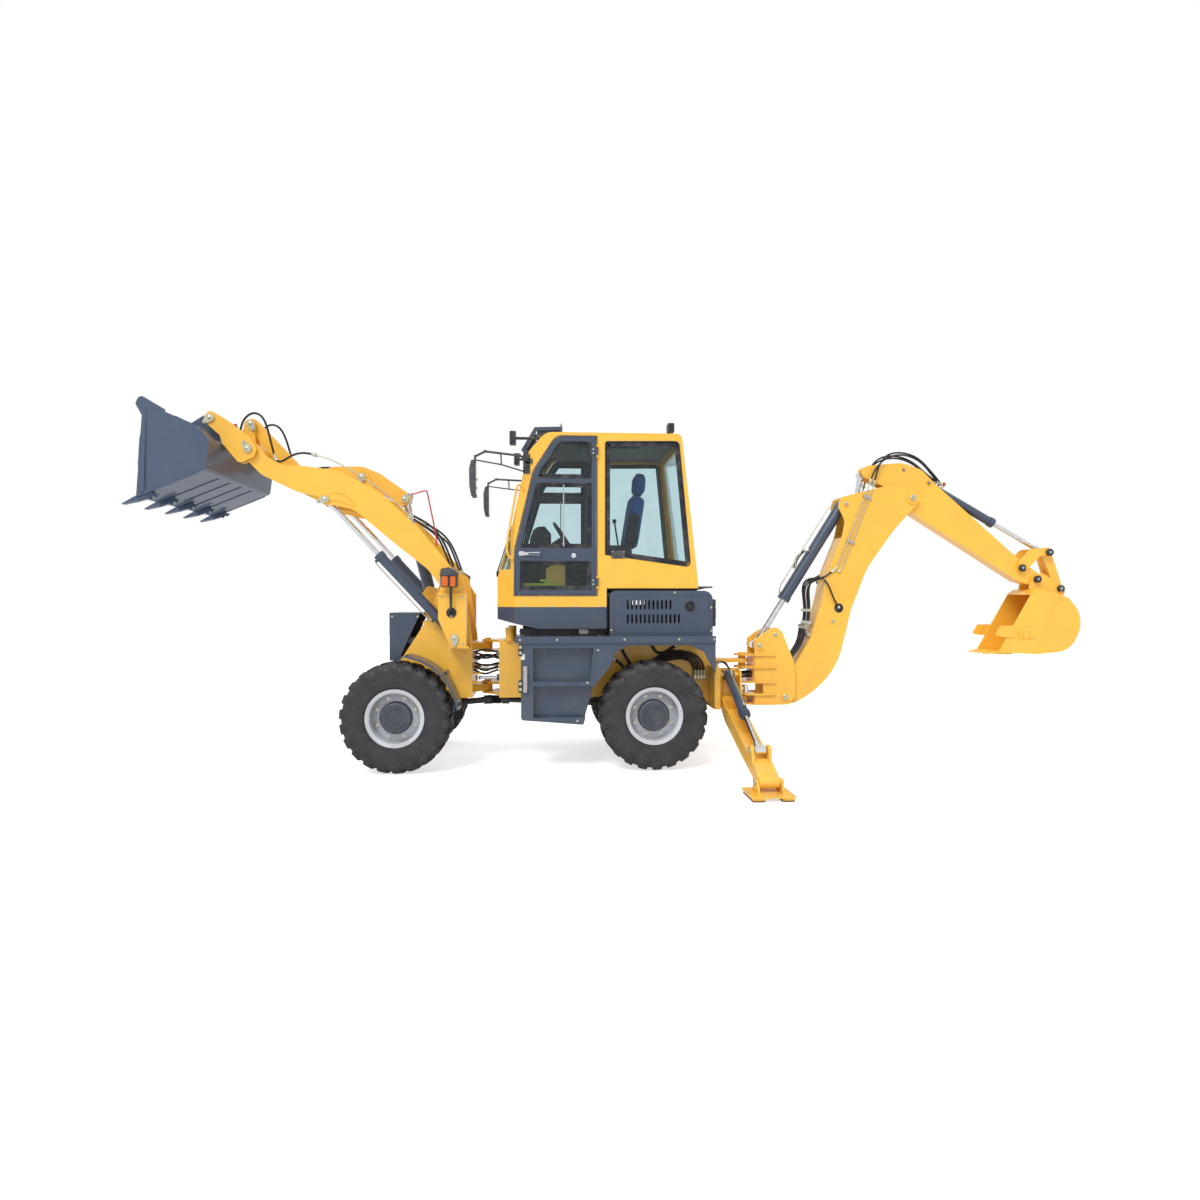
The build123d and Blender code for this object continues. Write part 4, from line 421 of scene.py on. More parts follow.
def weld_tree():
    """A weld bead along a curve: overlapping flat ripples."""
    graph, given = new_tree("weld bead", Width=(FLOAT, 0.008), Pitch=(FLOAT, 0.008), Material=(STUFF, None))
    points = graph.add("GeometryNodeResampleCurve", {"mode": "LENGTH"},
        {"Curve": given["Geometry"], "Length": given["Pitch"]})
    ripple = graph.add("GeometryNodeMeshIcoSphere", None,
        {"Radius": given["Width"] * 0.5, "Subdivisions": 2})
    ripple = graph.add("GeometryNodeSetShadeSmooth", None, {"Geometry": ripple})
    tangent = graph.add("GeometryNodeInputTangent")
    turn = graph.upright(tangent)
    placed = graph.add("GeometryNodeInstanceOnPoints", None, {"Points": points, "Instance": ripple,
        "Rotation": turn, "Scale": (1.0, 1.0, 1.4)})
    return close_tree(graph, placed, given["Material"])


def rim_tree():
    """A raised bead round each louvre slot: one at each point."""
    graph, given = new_tree("louvre beads", Width=(FLOAT, 0.022), Height=(FLOAT, 0.094),
        Bead=(FLOAT, 0.0026), Material=(STUFF, None))
    loop = graph.add("GeometryNodeCurvePrimitiveQuadrilateral", None,
        {"Width": given["Width"], "Height": given["Height"]})
    loop = graph.add("GeometryNodeFilletCurve", {"mode": "POLY"},
        {"Curve": loop, "Count": 5, "Radius": given["Width"] * 0.49})
    ring = graph.add("GeometryNodeCurvePrimitiveCircle", None, {"Resolution": 6, "Radius": given["Bead"]})
    bead = graph.add("GeometryNodeCurveToMesh", None, {"Curve": loop, "Profile Curve": ring})
    bead = graph.add("GeometryNodeSetShadeSmooth", None, {"Geometry": bead})
    placed = graph.add("GeometryNodeInstanceOnPoints", None, {"Points": given["Geometry"], "Instance": bead,
        "Rotation": (math.pi / 2, 0.0, 0.0)})
    return close_tree(graph, placed, given["Material"])


def spoke_tree():
    """Copies of a piece set round an axle that runs along Y."""
    graph, given = new_tree("round the axle", Count=("NodeSocketInt", 22),
        Centre=("NodeSocketVector", None), Material=(STUFF, None))
    back = graph.add("ShaderNodeVectorMath", {"operation": "SCALE"}, {0: given["Centre"], "Scale": -1.0})
    one = graph.add("GeometryNodeTransform", None, {"Geometry": given["Geometry"], "Translation": back})
    points = graph.add("GeometryNodeMeshLine", None, {"Count": given["Count"],
        "Start Location": given["Centre"], "Offset": (0.0, 0.0, 0.0)})
    index = graph.add("GeometryNodeInputIndex")
    turn = graph.add("ShaderNodeCombineXYZ", None, {"Y": index * (2 * math.pi) / given["Count"]})
    turn = graph.add("FunctionNodeEulerToRotation", None, {0: turn})
    placed = graph.add("GeometryNodeInstanceOnPoints", None,
        {"Points": points, "Instance": one, "Rotation": turn})
    return close_tree(graph, placed, given["Material"])


TREES = {}
FINISHES = {}

# the material slot named for each finish; settle is handed it but does not use it
SLOTS = {finish: slot for slot, finishes in {"yellow_paint": ("yellow_enamel",),
    "grey_paint": ("grey_enamel", "bucket_grey_enamel", "chassis_black", "hub_grey_enamel"),
    "rod_chrome": ("rod_chrome", "plain_steel", "plated_zinc"),
    "rim_silver": ("rim_silver_enamel", "white_plate"), "lamp_plastic": ("gasket_rubber", "moulded_black",
    "moulded_grey", "lime_plastic", "red_cap", "orange_lens", "red_lens"),
    "glass": ("clear_lens", "mirror_silver"), "seat_fabric": ("lining_cloth",),}.items()
    for finish in finishes}


def linked(name, data):
    """A new object on its data, in the scene."""
    thing = bpy.data.objects.new(name, data)
    bpy.context.scene.collection.objects.link(thing)
    return thing


def run_tree(name, source, tree, **inputs):
    """Runs a geometry tree on a source object and gives its result as a plain mesh object."""
    modifier = source.modifiers.new("tree", "NODES")
    modifier.node_group = tree
    for item in tree.interface.items_tree:
        key = item.name.replace(" ", "_")
        if item.item_type == "SOCKET" and item.in_out == "INPUT" and key in inputs:
            modifier[item.identifier] = inputs[key]
    graph = bpy.context.evaluated_depsgraph_get()
    mesh = bpy.data.meshes.new_from_object(source.evaluated_get(graph), depsgraph=graph)
    bpy.data.objects.remove(source)
    piece = linked(name, mesh)
    return piece


def settle(piece, body, slot):
    """Hands a finished piece to its body, or bakes it in place if given two bodies and two points; the slot
    is not used.
    """
    if isinstance(body, str):
        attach(piece, body)
    else:
        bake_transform(piece)
    return piece


# -------- drawing
def rounded(corners, radius, steps=5):
    """A closed outline with each corner turned to a short arc."""
    result = []
    count = len(corners)
    for i, corner in enumerate(corners):
        here = Vector(corner[:2])
        size = corner[2] if len(corner) > 2 else radius
        before, after = Vector(corners[i - 1][:2]), Vector(corners[(i + 1) % count][:2])
        to_before, to_after = (before - here), (after - here)
        half = to_before.angle(to_after) / 2
        reach = min(size / math.tan(half), to_before.length * 0.49, to_after.length * 0.49)
        if size <= 0 or half > 1.55:
            result.append((here.x, here.y))
            continue
        start, end = here + to_before.normalized() * reach, here + to_after.normalized() * reach
        for k in range(steps + 1):
            t = k / steps
            point = start * (1 - t) ** 2 + here * 2 * t * (1 - t) + end * t ** 2
            result.append((point.x, point.y))
    return result


def tile(left, right, low, high, radius):
    """A rectangle's outline with rounded corners."""
    return rounded([(left, low), (right, low), (right, high), (left, high)], radius)


def inset(corners, distance):
    """A convex closed outline moved inwards."""
    count = len(corners)
    area = sum(corners[i - 1][0] * corners[i][1] - corners[i][0] * corners[i - 1][1] for i in range(count))
    way = 1 if area > 0 else -1
    result = []
    for i in range(count):
        a, b, c = (Vector(corners[(i + k) % count][:2]) for k in (-1, 0, 1))
        if (b - a).length < 1e-9 or (c - b).length < 1e-9:
            continue
        u, v = (b - a).normalized(), (c - b).normalized()
        n, m = Vector((-u.y, u.x)) * way, Vector((-v.y, v.x)) * way
        lean = n + m
        result.append(tuple(b + lean * (distance / max(lean.dot(n), 0.2))))
    return result


def between(corners, low, high):
    """The part of a closed outline whose second coordinate lies between two heights."""
    for limit, keep_above in ((low, True), (high, False)):
        kept = []
        for i, here in enumerate(corners):
            before = corners[i - 1]
            inside = (here[1] >= limit) == keep_above
            was_inside = (before[1] >= limit) == keep_above
            if inside != was_inside:
                t = (limit - before[1]) / (here[1] - before[1])
                kept.append((before[0] + t * (here[0] - before[0]), limit))
            if inside:
                kept.append((here[0], here[1]))
        corners = kept
    return corners


class Shape:
    """Solids being drawn for one piece, in millimetres from the middle of the wheelbase."""

    def __init__(self):
        self.mesh = bmesh.new()

    def points(self, outline, axis, level):
        places = {"x": lambda a, b: at(level, a, b), "y": lambda a, b: at(a, level, b), "z": lambda a,
            b: at(a, b, level)}
        return [self.mesh.verts.new(places[axis](a, b)) for a, b in outline]

    def bridge(self, first, second, closed=True):
        count = len(first)
        for i in range(count if closed else count - 1):
            j = (i + 1) % count
            self.mesh.faces.new((first[i], first[j], second[j], second[i]))

    def plate(self, outline, axis, low, high):
        """A closed outline made solid between two levels along an axis."""
        under, over = self.points(outline, axis, low), self.points(outline, axis, high)
        self.mesh.faces.new(under)
        self.mesh.faces.new(over)
        self.bridge(under, over)
        return self

    def band(self, outer, inner, axis, low, high):
        """A flat frame between two outlines with the same number of corners."""
        rings = [self.points(o, axis, level) for level in (low, high) for o in (outer, inner)]
        self.bridge(rings[0], rings[1])
        self.bridge(rings[2], rings[3])
        self.bridge(rings[0], rings[2])
        self.bridge(rings[1], rings[3])
        return self

    def box(self, x0, x1, y0, y1, z0, z1):
        return self.plate([(x0, z0), (x1, z0), (x1, z1), (x0, z1)], "y", y0, y1)

    def lathe(self, centre, aim, profile, sides=32):
        """A (radius, height) profile turned about an axis, closed to the axis at both ends."""
        turn = Vector(aim).to_track_quat("Z", "Y").to_matrix()
        rings = []
        for radius, height in profile:
            ring = []
            for k in range(sides):
                a = 2 * math.pi * k / sides
                local = turn @ Vector((radius * math.cos(a), radius * math.sin(a), height))
                ring.append(self.mesh.verts.new(at(centre[0] + local.x, centre[1] + local.y,
                    centre[2] + local.z)))
            rings.append(ring)
        for first, second in zip(rings, rings[1:]):
            self.bridge(first, second)
        self.mesh.faces.new(rings[0])
        self.mesh.faces.new(rings[-1])
        return self

    def rod(self, start, end, radius, sides=16):
        span = (Vector(end) - Vector(start))
        return self.lathe(start, span, [(radius, 0), (radius, span.length)], sides)

    def turned(self, centre, profile, sides=72):
        """A closed (radius, y) outline turned into a ring about an axle along Y."""
        rings = []
        for k in range(sides):
            a = 2 * math.pi * k / sides
            rings.append([self.mesh.verts.new(at(centre[0] + r * math.cos(a), centre[1] + y,
                centre[2] + r * math.sin(a))) for r, y in profile])
        for k in range(sides):
            self.bridge(rings[k], rings[(k + 1) % sides])
        return self

    def loft(self, sections):
        """A solid through closed sections, each a list of (x, y, z)."""
        rings = [[self.mesh.verts.new(at(*point)) for point in section] for section in sections]
        for first, second in zip(rings, rings[1:]):
            self.bridge(first, second)
        self.mesh.faces.new(rings[0])
        self.mesh.faces.new(rings[-1])
        return self

    def finish(self, name, finish, bevel=0.0012, sharp=35):
        """The drawn solids as one object, edges eased, faces out."""
        bmesh.ops.recalc_face_normals(self.mesh, faces=self.mesh.faces)
        if bevel:
            edges = [e for e in self.mesh.edges
                if len(e.link_faces) == 2 and e.calc_face_angle(0) > math.radians(sharp)]
            bmesh.ops.bevel(self.mesh, geom=edges, offset=bevel, segments=2, affect="EDGES",
                clamp_overlap=True)
        for face in self.mesh.faces:
            face.smooth = True
        for edge in self.mesh.edges:
            edge.smooth = len(edge.link_faces) == 2 and edge.calc_face_angle(0) < math.radians(40)
        mesh = bpy.data.meshes.new(name)
        self.mesh.to_mesh(mesh)
        self.mesh.free()
        piece = linked(name, mesh)
        if finish:
            mesh.materials.append(FINISHES[finish])
        return piece

    def place(self, name, finish, body, bevel=0.0012):
        """Finishes the piece and hands it to its body; the slot looked up from its finish is not used."""
        return settle(self.finish(name, finish, bevel), body, SLOTS[finish])


def curve_object(name, points, kind="NURBS", cyclic=False):
    """A curve through given points in millimetres."""
    data = bpy.data.curves.new(name, "CURVE")
    data.dimensions = "3D"
    data.resolution_u = 10
    spline = data.splines.new(kind)
    spline.points.add(len(points) - 1)
    for point, place in zip(spline.points, points):
        point.co = (*at(*place), 1)
    if kind == "NURBS":
        spline.order_u = 4
        spline.use_endpoint_u = not cyclic
    spline.use_cyclic_u = cyclic
    thing = linked(name, data)
    return thing


def hose(name, body, points, radius=9.5, metal="plated_zinc", cover="hose_cover", ferrule=1.45, length=42):
    """A hose or pipe on given points, with its end fittings."""
    path = curve_object(name + "_path", points)
    piece = run_tree(name, path, TREES["hose"], Radius=radius / 1000, Ferrule=radius * ferrule / 1000,
        Length=length / 1000, Cover=FINISHES[cover], Metal=FINISHES[metal])
    return settle(piece, body, "lamp_plastic" if cover == "hose_cover" else "rod_chrome")


def pipe(name, body, points, radius=7):
    """A plated steel pipe with its nuts."""
    return hose(name, body, points, radius, cover="plated_zinc", ferrule=1.6, length=22)


def weld(name, body, points, finish, width=9):
    """A painted weld bead on given points."""
    path = curve_object(name + "_path", points, "POLY")
    piece = run_tree(name, path, TREES["weld"], Width=width / 1000, Pitch=width / 1000,
        Material=FINISHES[finish])
    return settle(piece, body, "grey_paint" if "grey" in finish else "yellow_paint")


def point_cloud(name, places):
    """Loose points, each with the way that its bolt faces."""
    mesh = bpy.data.meshes.new(name)
    mesh.from_pydata([at(*place) for place, _ in places], [], [])
    aim = mesh.attributes.new("aim", "FLOAT_VECTOR", "POINT")
    for i, (_, way) in enumerate(places):
        aim.data[i].vector = way
    thing = linked(name, mesh)
    return thing


def bolts(name, body, places, width=24, finish="plated_zinc", washer=1.35):
    """Hexagon bolts: each place is a point and the way that it faces."""
    piece = run_tree(name, point_cloud(name + "_points", places), TREES["bolt"], Head_Width=width / 1000,
        Head_Height=width * 0.42 / 1000, Washer_Width=width * washer / 1000,
        Washer_Height=width * 0.12 / 1000, Material=FINISHES[finish])
    return settle(piece, body, "rod_chrome")


LEFT, RIGHT = (0, 1, 0), (0, -1, 0)
SIDES = (1, -1)
HANDS = ((1, "left", LEFT), (-1, "right", RIGHT))


def outward(side):
    return LEFT if side > 0 else RIGHT


def sided(side, *points):
    """Given points, put on one side of the machine."""
    return [(x, side * y, z) for x, y, z in points]


def keeper(shape, pin, tail, y, side, head=40, foot=19, thick=9):
    """A teardrop keeper plate over a pin's end, with a groove round the pin and its nipple."""
    px, pz = pin
    angle = math.radians(tail)
    reach = 68
    qx, qz = px + reach * math.cos(angle), pz + reach * math.sin(angle)
    lean = math.acos((head - foot) / reach)
    outline = []
    for k in range(13):
        a = angle + lean + (2 * math.pi - 2 * lean) * k / 12
        outline.append((px + head * math.cos(a), pz + head * math.sin(a)))
    for k in range(9):
        a = angle - lean + 2 * lean * k / 8
        outline.append((qx + foot * math.cos(a), qz + foot * math.sin(a)))
    shape.plate(outline, "y", y, y + side * thick)
    shape.lathe((px, y + side * thick, pz), outward(side),
        [(22, -1), (22, 3), (18, 6), (9, 6), (8, 12), (3, 14)], 20)
    return (qx, y + side * thick, qz), outward(side)


# -------- settings
class BackhoePaint(bpy.types.PropertyGroup):
    """The machine's paint colours."""

    yellow: bpy.props.FloatVectorProperty(name="Body yellow",
        description="Enamel of the arms, booms, frames and cab", size=3, subtype="COLOR", min=0, max=1,
        default=(0.95, 0.520, 0.050))
    grey: bpy.props.FloatVectorProperty(name="Blue grey",
        description="Enamel of the hood, steps, doors, skirt and barrels", size=3, subtype="COLOR", min=0,
        max=1, default=(0.042, 0.064, 0.108))
    # painted light: a lighter, bluer copy of the blue grey enamel, standing for the bucket's directly lit
    # side
    bucket_grey: bpy.props.FloatVectorProperty(name="Bucket grey",
        description="Enamel of the loader bucket", size=3, subtype="COLOR", min=0, max=1,
        default=(0.045, 0.075, 0.135))
    glass: bpy.props.FloatVectorProperty(name="Glass tint", description="Tint of the cab's panes", size=3,
        subtype="COLOR", min=0, max=1, default=(0.66, 0.78, 0.80))
    seat_blue: bpy.props.FloatVectorProperty(name="Seat cloth", description="Cloth of the seat's cover",
        size=3, subtype="COLOR", min=0, max=1, default=(0.03, 0.13, 0.42))


class BackhoeFittings(bpy.types.PropertyGroup):
    """Sizes of the small fittings."""

    lugs: bpy.props.IntProperty(name="Tread lugs", description="Lugs in each row of a tyre", default=22,
        min=12, max=36)
    hose: bpy.props.FloatProperty(name="Hose radius",
        description="Radius of the hydraulic hoses, in millimetres", default=11, min=5, max=20)
    gasket: bpy.props.FloatProperty(name="Window band",
        description="Width of the dark band round each pane, in millimetres", default=38, min=10, max=80)


class BackhoeStage(bpy.types.PropertyGroup):
    """The floor, light and camera."""

    floor: bpy.props.FloatProperty(name="Floor size", description="Side of the floor", default=60, min=10,
        subtype="DISTANCE", unit="LENGTH")
    sky: bpy.props.FloatProperty(name="Sky light", description="Strength of the even light",
        default=0.80, min=0, max=3)
    sun: bpy.props.FloatProperty(name="Key light", description="Strength of the soft key light",
        default=1.7, min=0, max=10)
    lens: bpy.props.FloatProperty(name="Lens", description="Focal length of the camera", default=24, min=8,
        max=200, subtype="DISTANCE_CAMERA", unit="CAMERA")


# -------- finishes
PAINTED_YELLOW = ("boom", "dipper", "swing_post", "loader_arms", "loader_coupler", "front_frame",
    "rear_frame", "tilt_lever", "tilt_link", "guide_link", "bucket_link", "backhoe_bucket", "leg_left",
    "leg_right", "foot_left", "foot_right")
PAINTED_GREY = ("hood", "platform", "cab_floor", "lift_barrels", "tilt_barrel", "boom_barrel",
    "dipper_barrel", "bucket_barrel", "leg_barrel_left", "leg_barrel_right", "swing_barrels",
    "steering_barrel")
RODS = ("lift_rods", "tilt_rod", "boom_rod", "dipper_rod", "bucket_rod", "leg_rod_left", "leg_rod_right",
        "swing_rod_left", "swing_rod_right", "steering_rod")


def make_finishes(colours):
    """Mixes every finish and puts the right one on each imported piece."""
    yellow, grey = tuple(colours.yellow), tuple(colours.grey)
    FINISHES.update(yellow_enamel=paint("yellow_enamel", yellow),
        cab_enamel=paint("cab_enamel", yellow, second=grey, region=skirt_and_visor),
        grey_enamel=paint("grey_enamel", grey, 0.34, 0.18),
        # painted light: the bucket's enamel is the blue grey made lighter and bluer, a painted highlight for
        # its directly lit side
        bucket_grey_enamel=paint("bucket_grey_enamel", tuple(colours.bucket_grey), 0.46, 0.1),
        chassis_black=paint("chassis_black", (0.020, 0.022, 0.026), 0.45, 0.6),
        rim_silver_enamel=paint("rim_silver_enamel", (0.55, 0.57, 0.62), 0.38, 0.5),
        hub_grey_enamel=paint("hub_grey_enamel", (0.035, 0.045, 0.066), 0.55, 0.15),
        lime_plastic=rubber("lime_plastic", (0.60, 0.68, 0.02), 0.45),
        lining_cloth=woven("lining_cloth", (0.10, 0.13, 0.14)),
        red_enamel=paint("red_enamel", (0.55, 0.015, 0.012)),
        white_plate=paint("white_plate", (0.75, 0.75, 0.74), 0.4, 0.1),
        rod_chrome=bare_metal("hard_chrome", (0.80, 0.81, 0.83), 0.08),
        plain_steel=bare_metal("plain_steel", (0.56, 0.56, 0.55), 0.30),
        plated_zinc=passivated("plated_zinc"),
        gasket_rubber=rubber("gasket_rubber", (0.010, 0.014, 0.022), 0.40),
        moulded_black=rubber("moulded_black", (0.018, 0.021, 0.027), 0.45),
        moulded_grey=rubber("moulded_grey", (0.055, 0.060, 0.070), 0.50), hose_cover=braided("hose_cover"),
        cab_glass=pane("cab_glass", tuple(colours.glass)),
        mirror_silver=bare_metal("mirror_silver", (0.85, 0.87, 0.90), 0.03),
        seat_cloth=woven("seat_cloth", tuple(colours.seat_blue)),
        seat_side_cloth=woven("seat_side_cloth", (0.020, 0.030, 0.045)),
        orange_lens=lens("orange_lens", (0.75, 0.15, 0.01), 0.25),
        red_lens=lens("red_lens", (0.60, 0.01, 0.01), 0.25),
        clear_lens=lens("clear_lens", (0.80, 0.82, 0.85)),
        red_cap=rubber("red_cap", (0.50, 0.012, 0.015), 0.40),
        door=door_finish(grey, tuple(colours.glass)),)
    wear = {"cab_glass": "cab_glass", "controls": "moulded_black", "mirrors": "moulded_grey",
            "lamps": "moulded_black", "front_lamps": "moulded_black", "front_guards": "grey_enamel",
            "engine": "chassis_black", "rear_axle": "chassis_black", "front_axle": "chassis_black",
            "loader_bucket": "bucket_grey_enamel",
            "cab_shell": "cab_enamel", "door_left": "door", "door_right": "door", "seat": "seat_cloth"}
    wear.update({node: "yellow_enamel" for node in PAINTED_YELLOW})
    wear.update({node: "grey_enamel" for node in PAINTED_GREY})
    wear.update({node: "rod_chrome" for node in RODS})
    wear.update({f"rim_{wheel}": "rim_silver_enamel" for wheel in WHEELS})
    for wheel in WHEELS:
        FINISHES[f"tyre_{wheel}"] = tyre_rubber(f"tyre_rubber_{wheel}", tuple(middle(f"tyre_{wheel}")))
        wear[f"tyre_{wheel}"] = f"tyre_{wheel}"
    for node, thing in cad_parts.items():
        if thing.material_slots:
            for holder in thing.material_slots:
                holder.material = FINISHES[wear[node]]
        else:
            thing.data.materials.append(FINISHES[wear[node]])
    TREES.update(bolt=bolt_tree(), hose=hose_tree(), weld=weld_tree(), rim=rim_tree(), spoke=spoke_tree())


# -------- wheels
TYRE_RADIUS = 537.5
WHEEL_PLACES = {"front_left": (1250, 765), "front_right": (1250, -765), "rear_left": (-1250, 765),
    "rear_right": (-1250, -765)}

# the tyre's section, from one bead over the tread to the other: radius and distance from its middle
TYRE_SECTION = ((262, 166), (283, 176), (296, 183), (300, 192), (330, 199), (380, 204), (430, 204),
    (462, 200), (488, 190), (503, 172), (510, 140), (513, 70), (514, 0))


def tread_lug(centre, side, turn, lugs):
    """One lug: from the tyre's middle out over the shoulder, leaning back, its walls flaring to the base."""
    cx, cy, cz = centre
    pitch = 2 * math.pi / lugs
    # distance from the middle, top radius, base radius, share of the pitch, turn along the tyre
    rows = ((8, 536, 500, 0.34, 0.00), (70, 537.5, 500, 0.42, 0.10), (135, 535, 496, 0.50, 0.24),
            (176, 524, 484, 0.56, 0.36), (198, 494, 464, 0.58, 0.42), (205, 452, 440, 0.50, 0.44))
    sections = []
    for y, top, base, share, shift in rows:
        angle = turn + shift * pitch
        half = share * pitch / 2
        section = []
        for radius, width in ((base, half * 1.25), (top, half), (top, -half), (base, -half * 1.25)):
            a = angle + width
            inner_y = y if radius == top else min(y, 196)
            section.append((cx + radius * math.cos(a), cy + side * inner_y, cz + radius * math.sin(a)))
        sections.append(section)
    return Shape().loft(sections).finish("lug", None, 0.004, 30)


def make_wheels(settings):
    """Tyres with their lugs and sidewall rings, hub caps, wheel bolts and valves."""
    for wheel, (x, y) in WHEEL_PLACES.items():
        centre = (x, y, TYRE_RADIUS)
        way = 1 if y > 0 else -1
        shape = Shape()
        inner = [(r - 14, d * 0.94) for r, d in TYRE_SECTION[1:]]
        ring = [*TYRE_SECTION, *((r, -d) for r, d in reversed(TYRE_SECTION[:-1]))]
        ring += [(r, -d) for r, d in inner[:-1]] + [(r, d) for r, d in reversed(inner)]
        shape.turned(centre, ring, 88)
        for side in SIDES:
            for radius, width in ((318, 5), (352, 3), (430, 4)):
                out = side * (197 if radius < 330 else 201 if radius < 400 else 203)
                shape.turned(centre, [(radius - width, out - side * 4), (radius - width, out + side * 1.2),
                    (radius + width, out + side * 1.6), (radius + width, out - side * 4)], 88)
        carcass = shape.finish(f"tyre_carcass_{wheel}", f"tyre_{wheel}", 0)
        settle(carcass, f"wheel_{wheel}", "tyre")
        for side in SIDES:
            turn = 0 if side > 0 else math.pi / settings.lugs
            lug = tread_lug(centre, side, turn, settings.lugs)
            lugs = run_tree(f"tyre_lugs_{wheel}_{'a' if side > 0 else 'b'}", lug, TREES["spoke"],
                            Count=settings.lugs, Centre=at(*centre), Material=FINISHES[f"tyre_{wheel}"])
            settle(lugs, f"wheel_{wheel}", "tyre")
            if side > 0:
                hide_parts(f"tyre_{wheel}")
        for part, radius, count, first, reach, width, finish in (
                ("wheel", 196, 8, 22.5, 65, 27, "plated_zinc"),
                ("hub", 98, 12, 0, 139, 13, "hub_grey_enamel")):
            turns = [math.radians(first + 360 / count * k) for k in range(count)]
            bolts(f"{part}_bolts_{wheel}", f"wheel_{wheel}", [((x + radius * math.cos(a), y + way * reach,
                TYRE_RADIUS + radius * math.sin(a)), outward(way)) for a in turns], width, finish)
        cap = Shape()
        cap.lathe((x, y + way * 79, TYRE_RADIUS), outward(way), [(157.6, 0), (157.6, 31), (138, 55),
            (134, 58), (128, 58.5), (122, 57.5), (118, 57.5), (114, 60), (84, 60), (80, 58), (62, 58),
            (58, 62), (30, 63), (12, 63)], 64)
        cap.place(f"hub_cap_{wheel}", "hub_grey_enamel", f"wheel_{wheel}", 0)
        trim = Shape()
        trim.turned((x, y, TYRE_RADIUS), [(250, way * 172), (262, way * 174), (276, way * 181.5),
            (281, way * 181), (281, way * 184.5), (274, way * 185), (258, way * 178.5),
            (249, way * 176)], 88)
        trim.rod((x + 226, y + way * 60, TYRE_RADIUS), (x + 232, y + way * 108, TYRE_RADIUS), 5)
        trim.place(f"rim_edge_{wheel}", "rim_silver_enamel", f"wheel_{wheel}", 0)


# -------- loader
LIFT_FOOT, LIFT_EYE, LIFT_RAM_SIDE = (720, 1290), (2010, 2680), 425
BUCKET_SIDE, TOOTH_COUNT = 900, 5
BUCKET_LIP, BUCKET_HEEL = (3650, 2640), (3020, 2905)


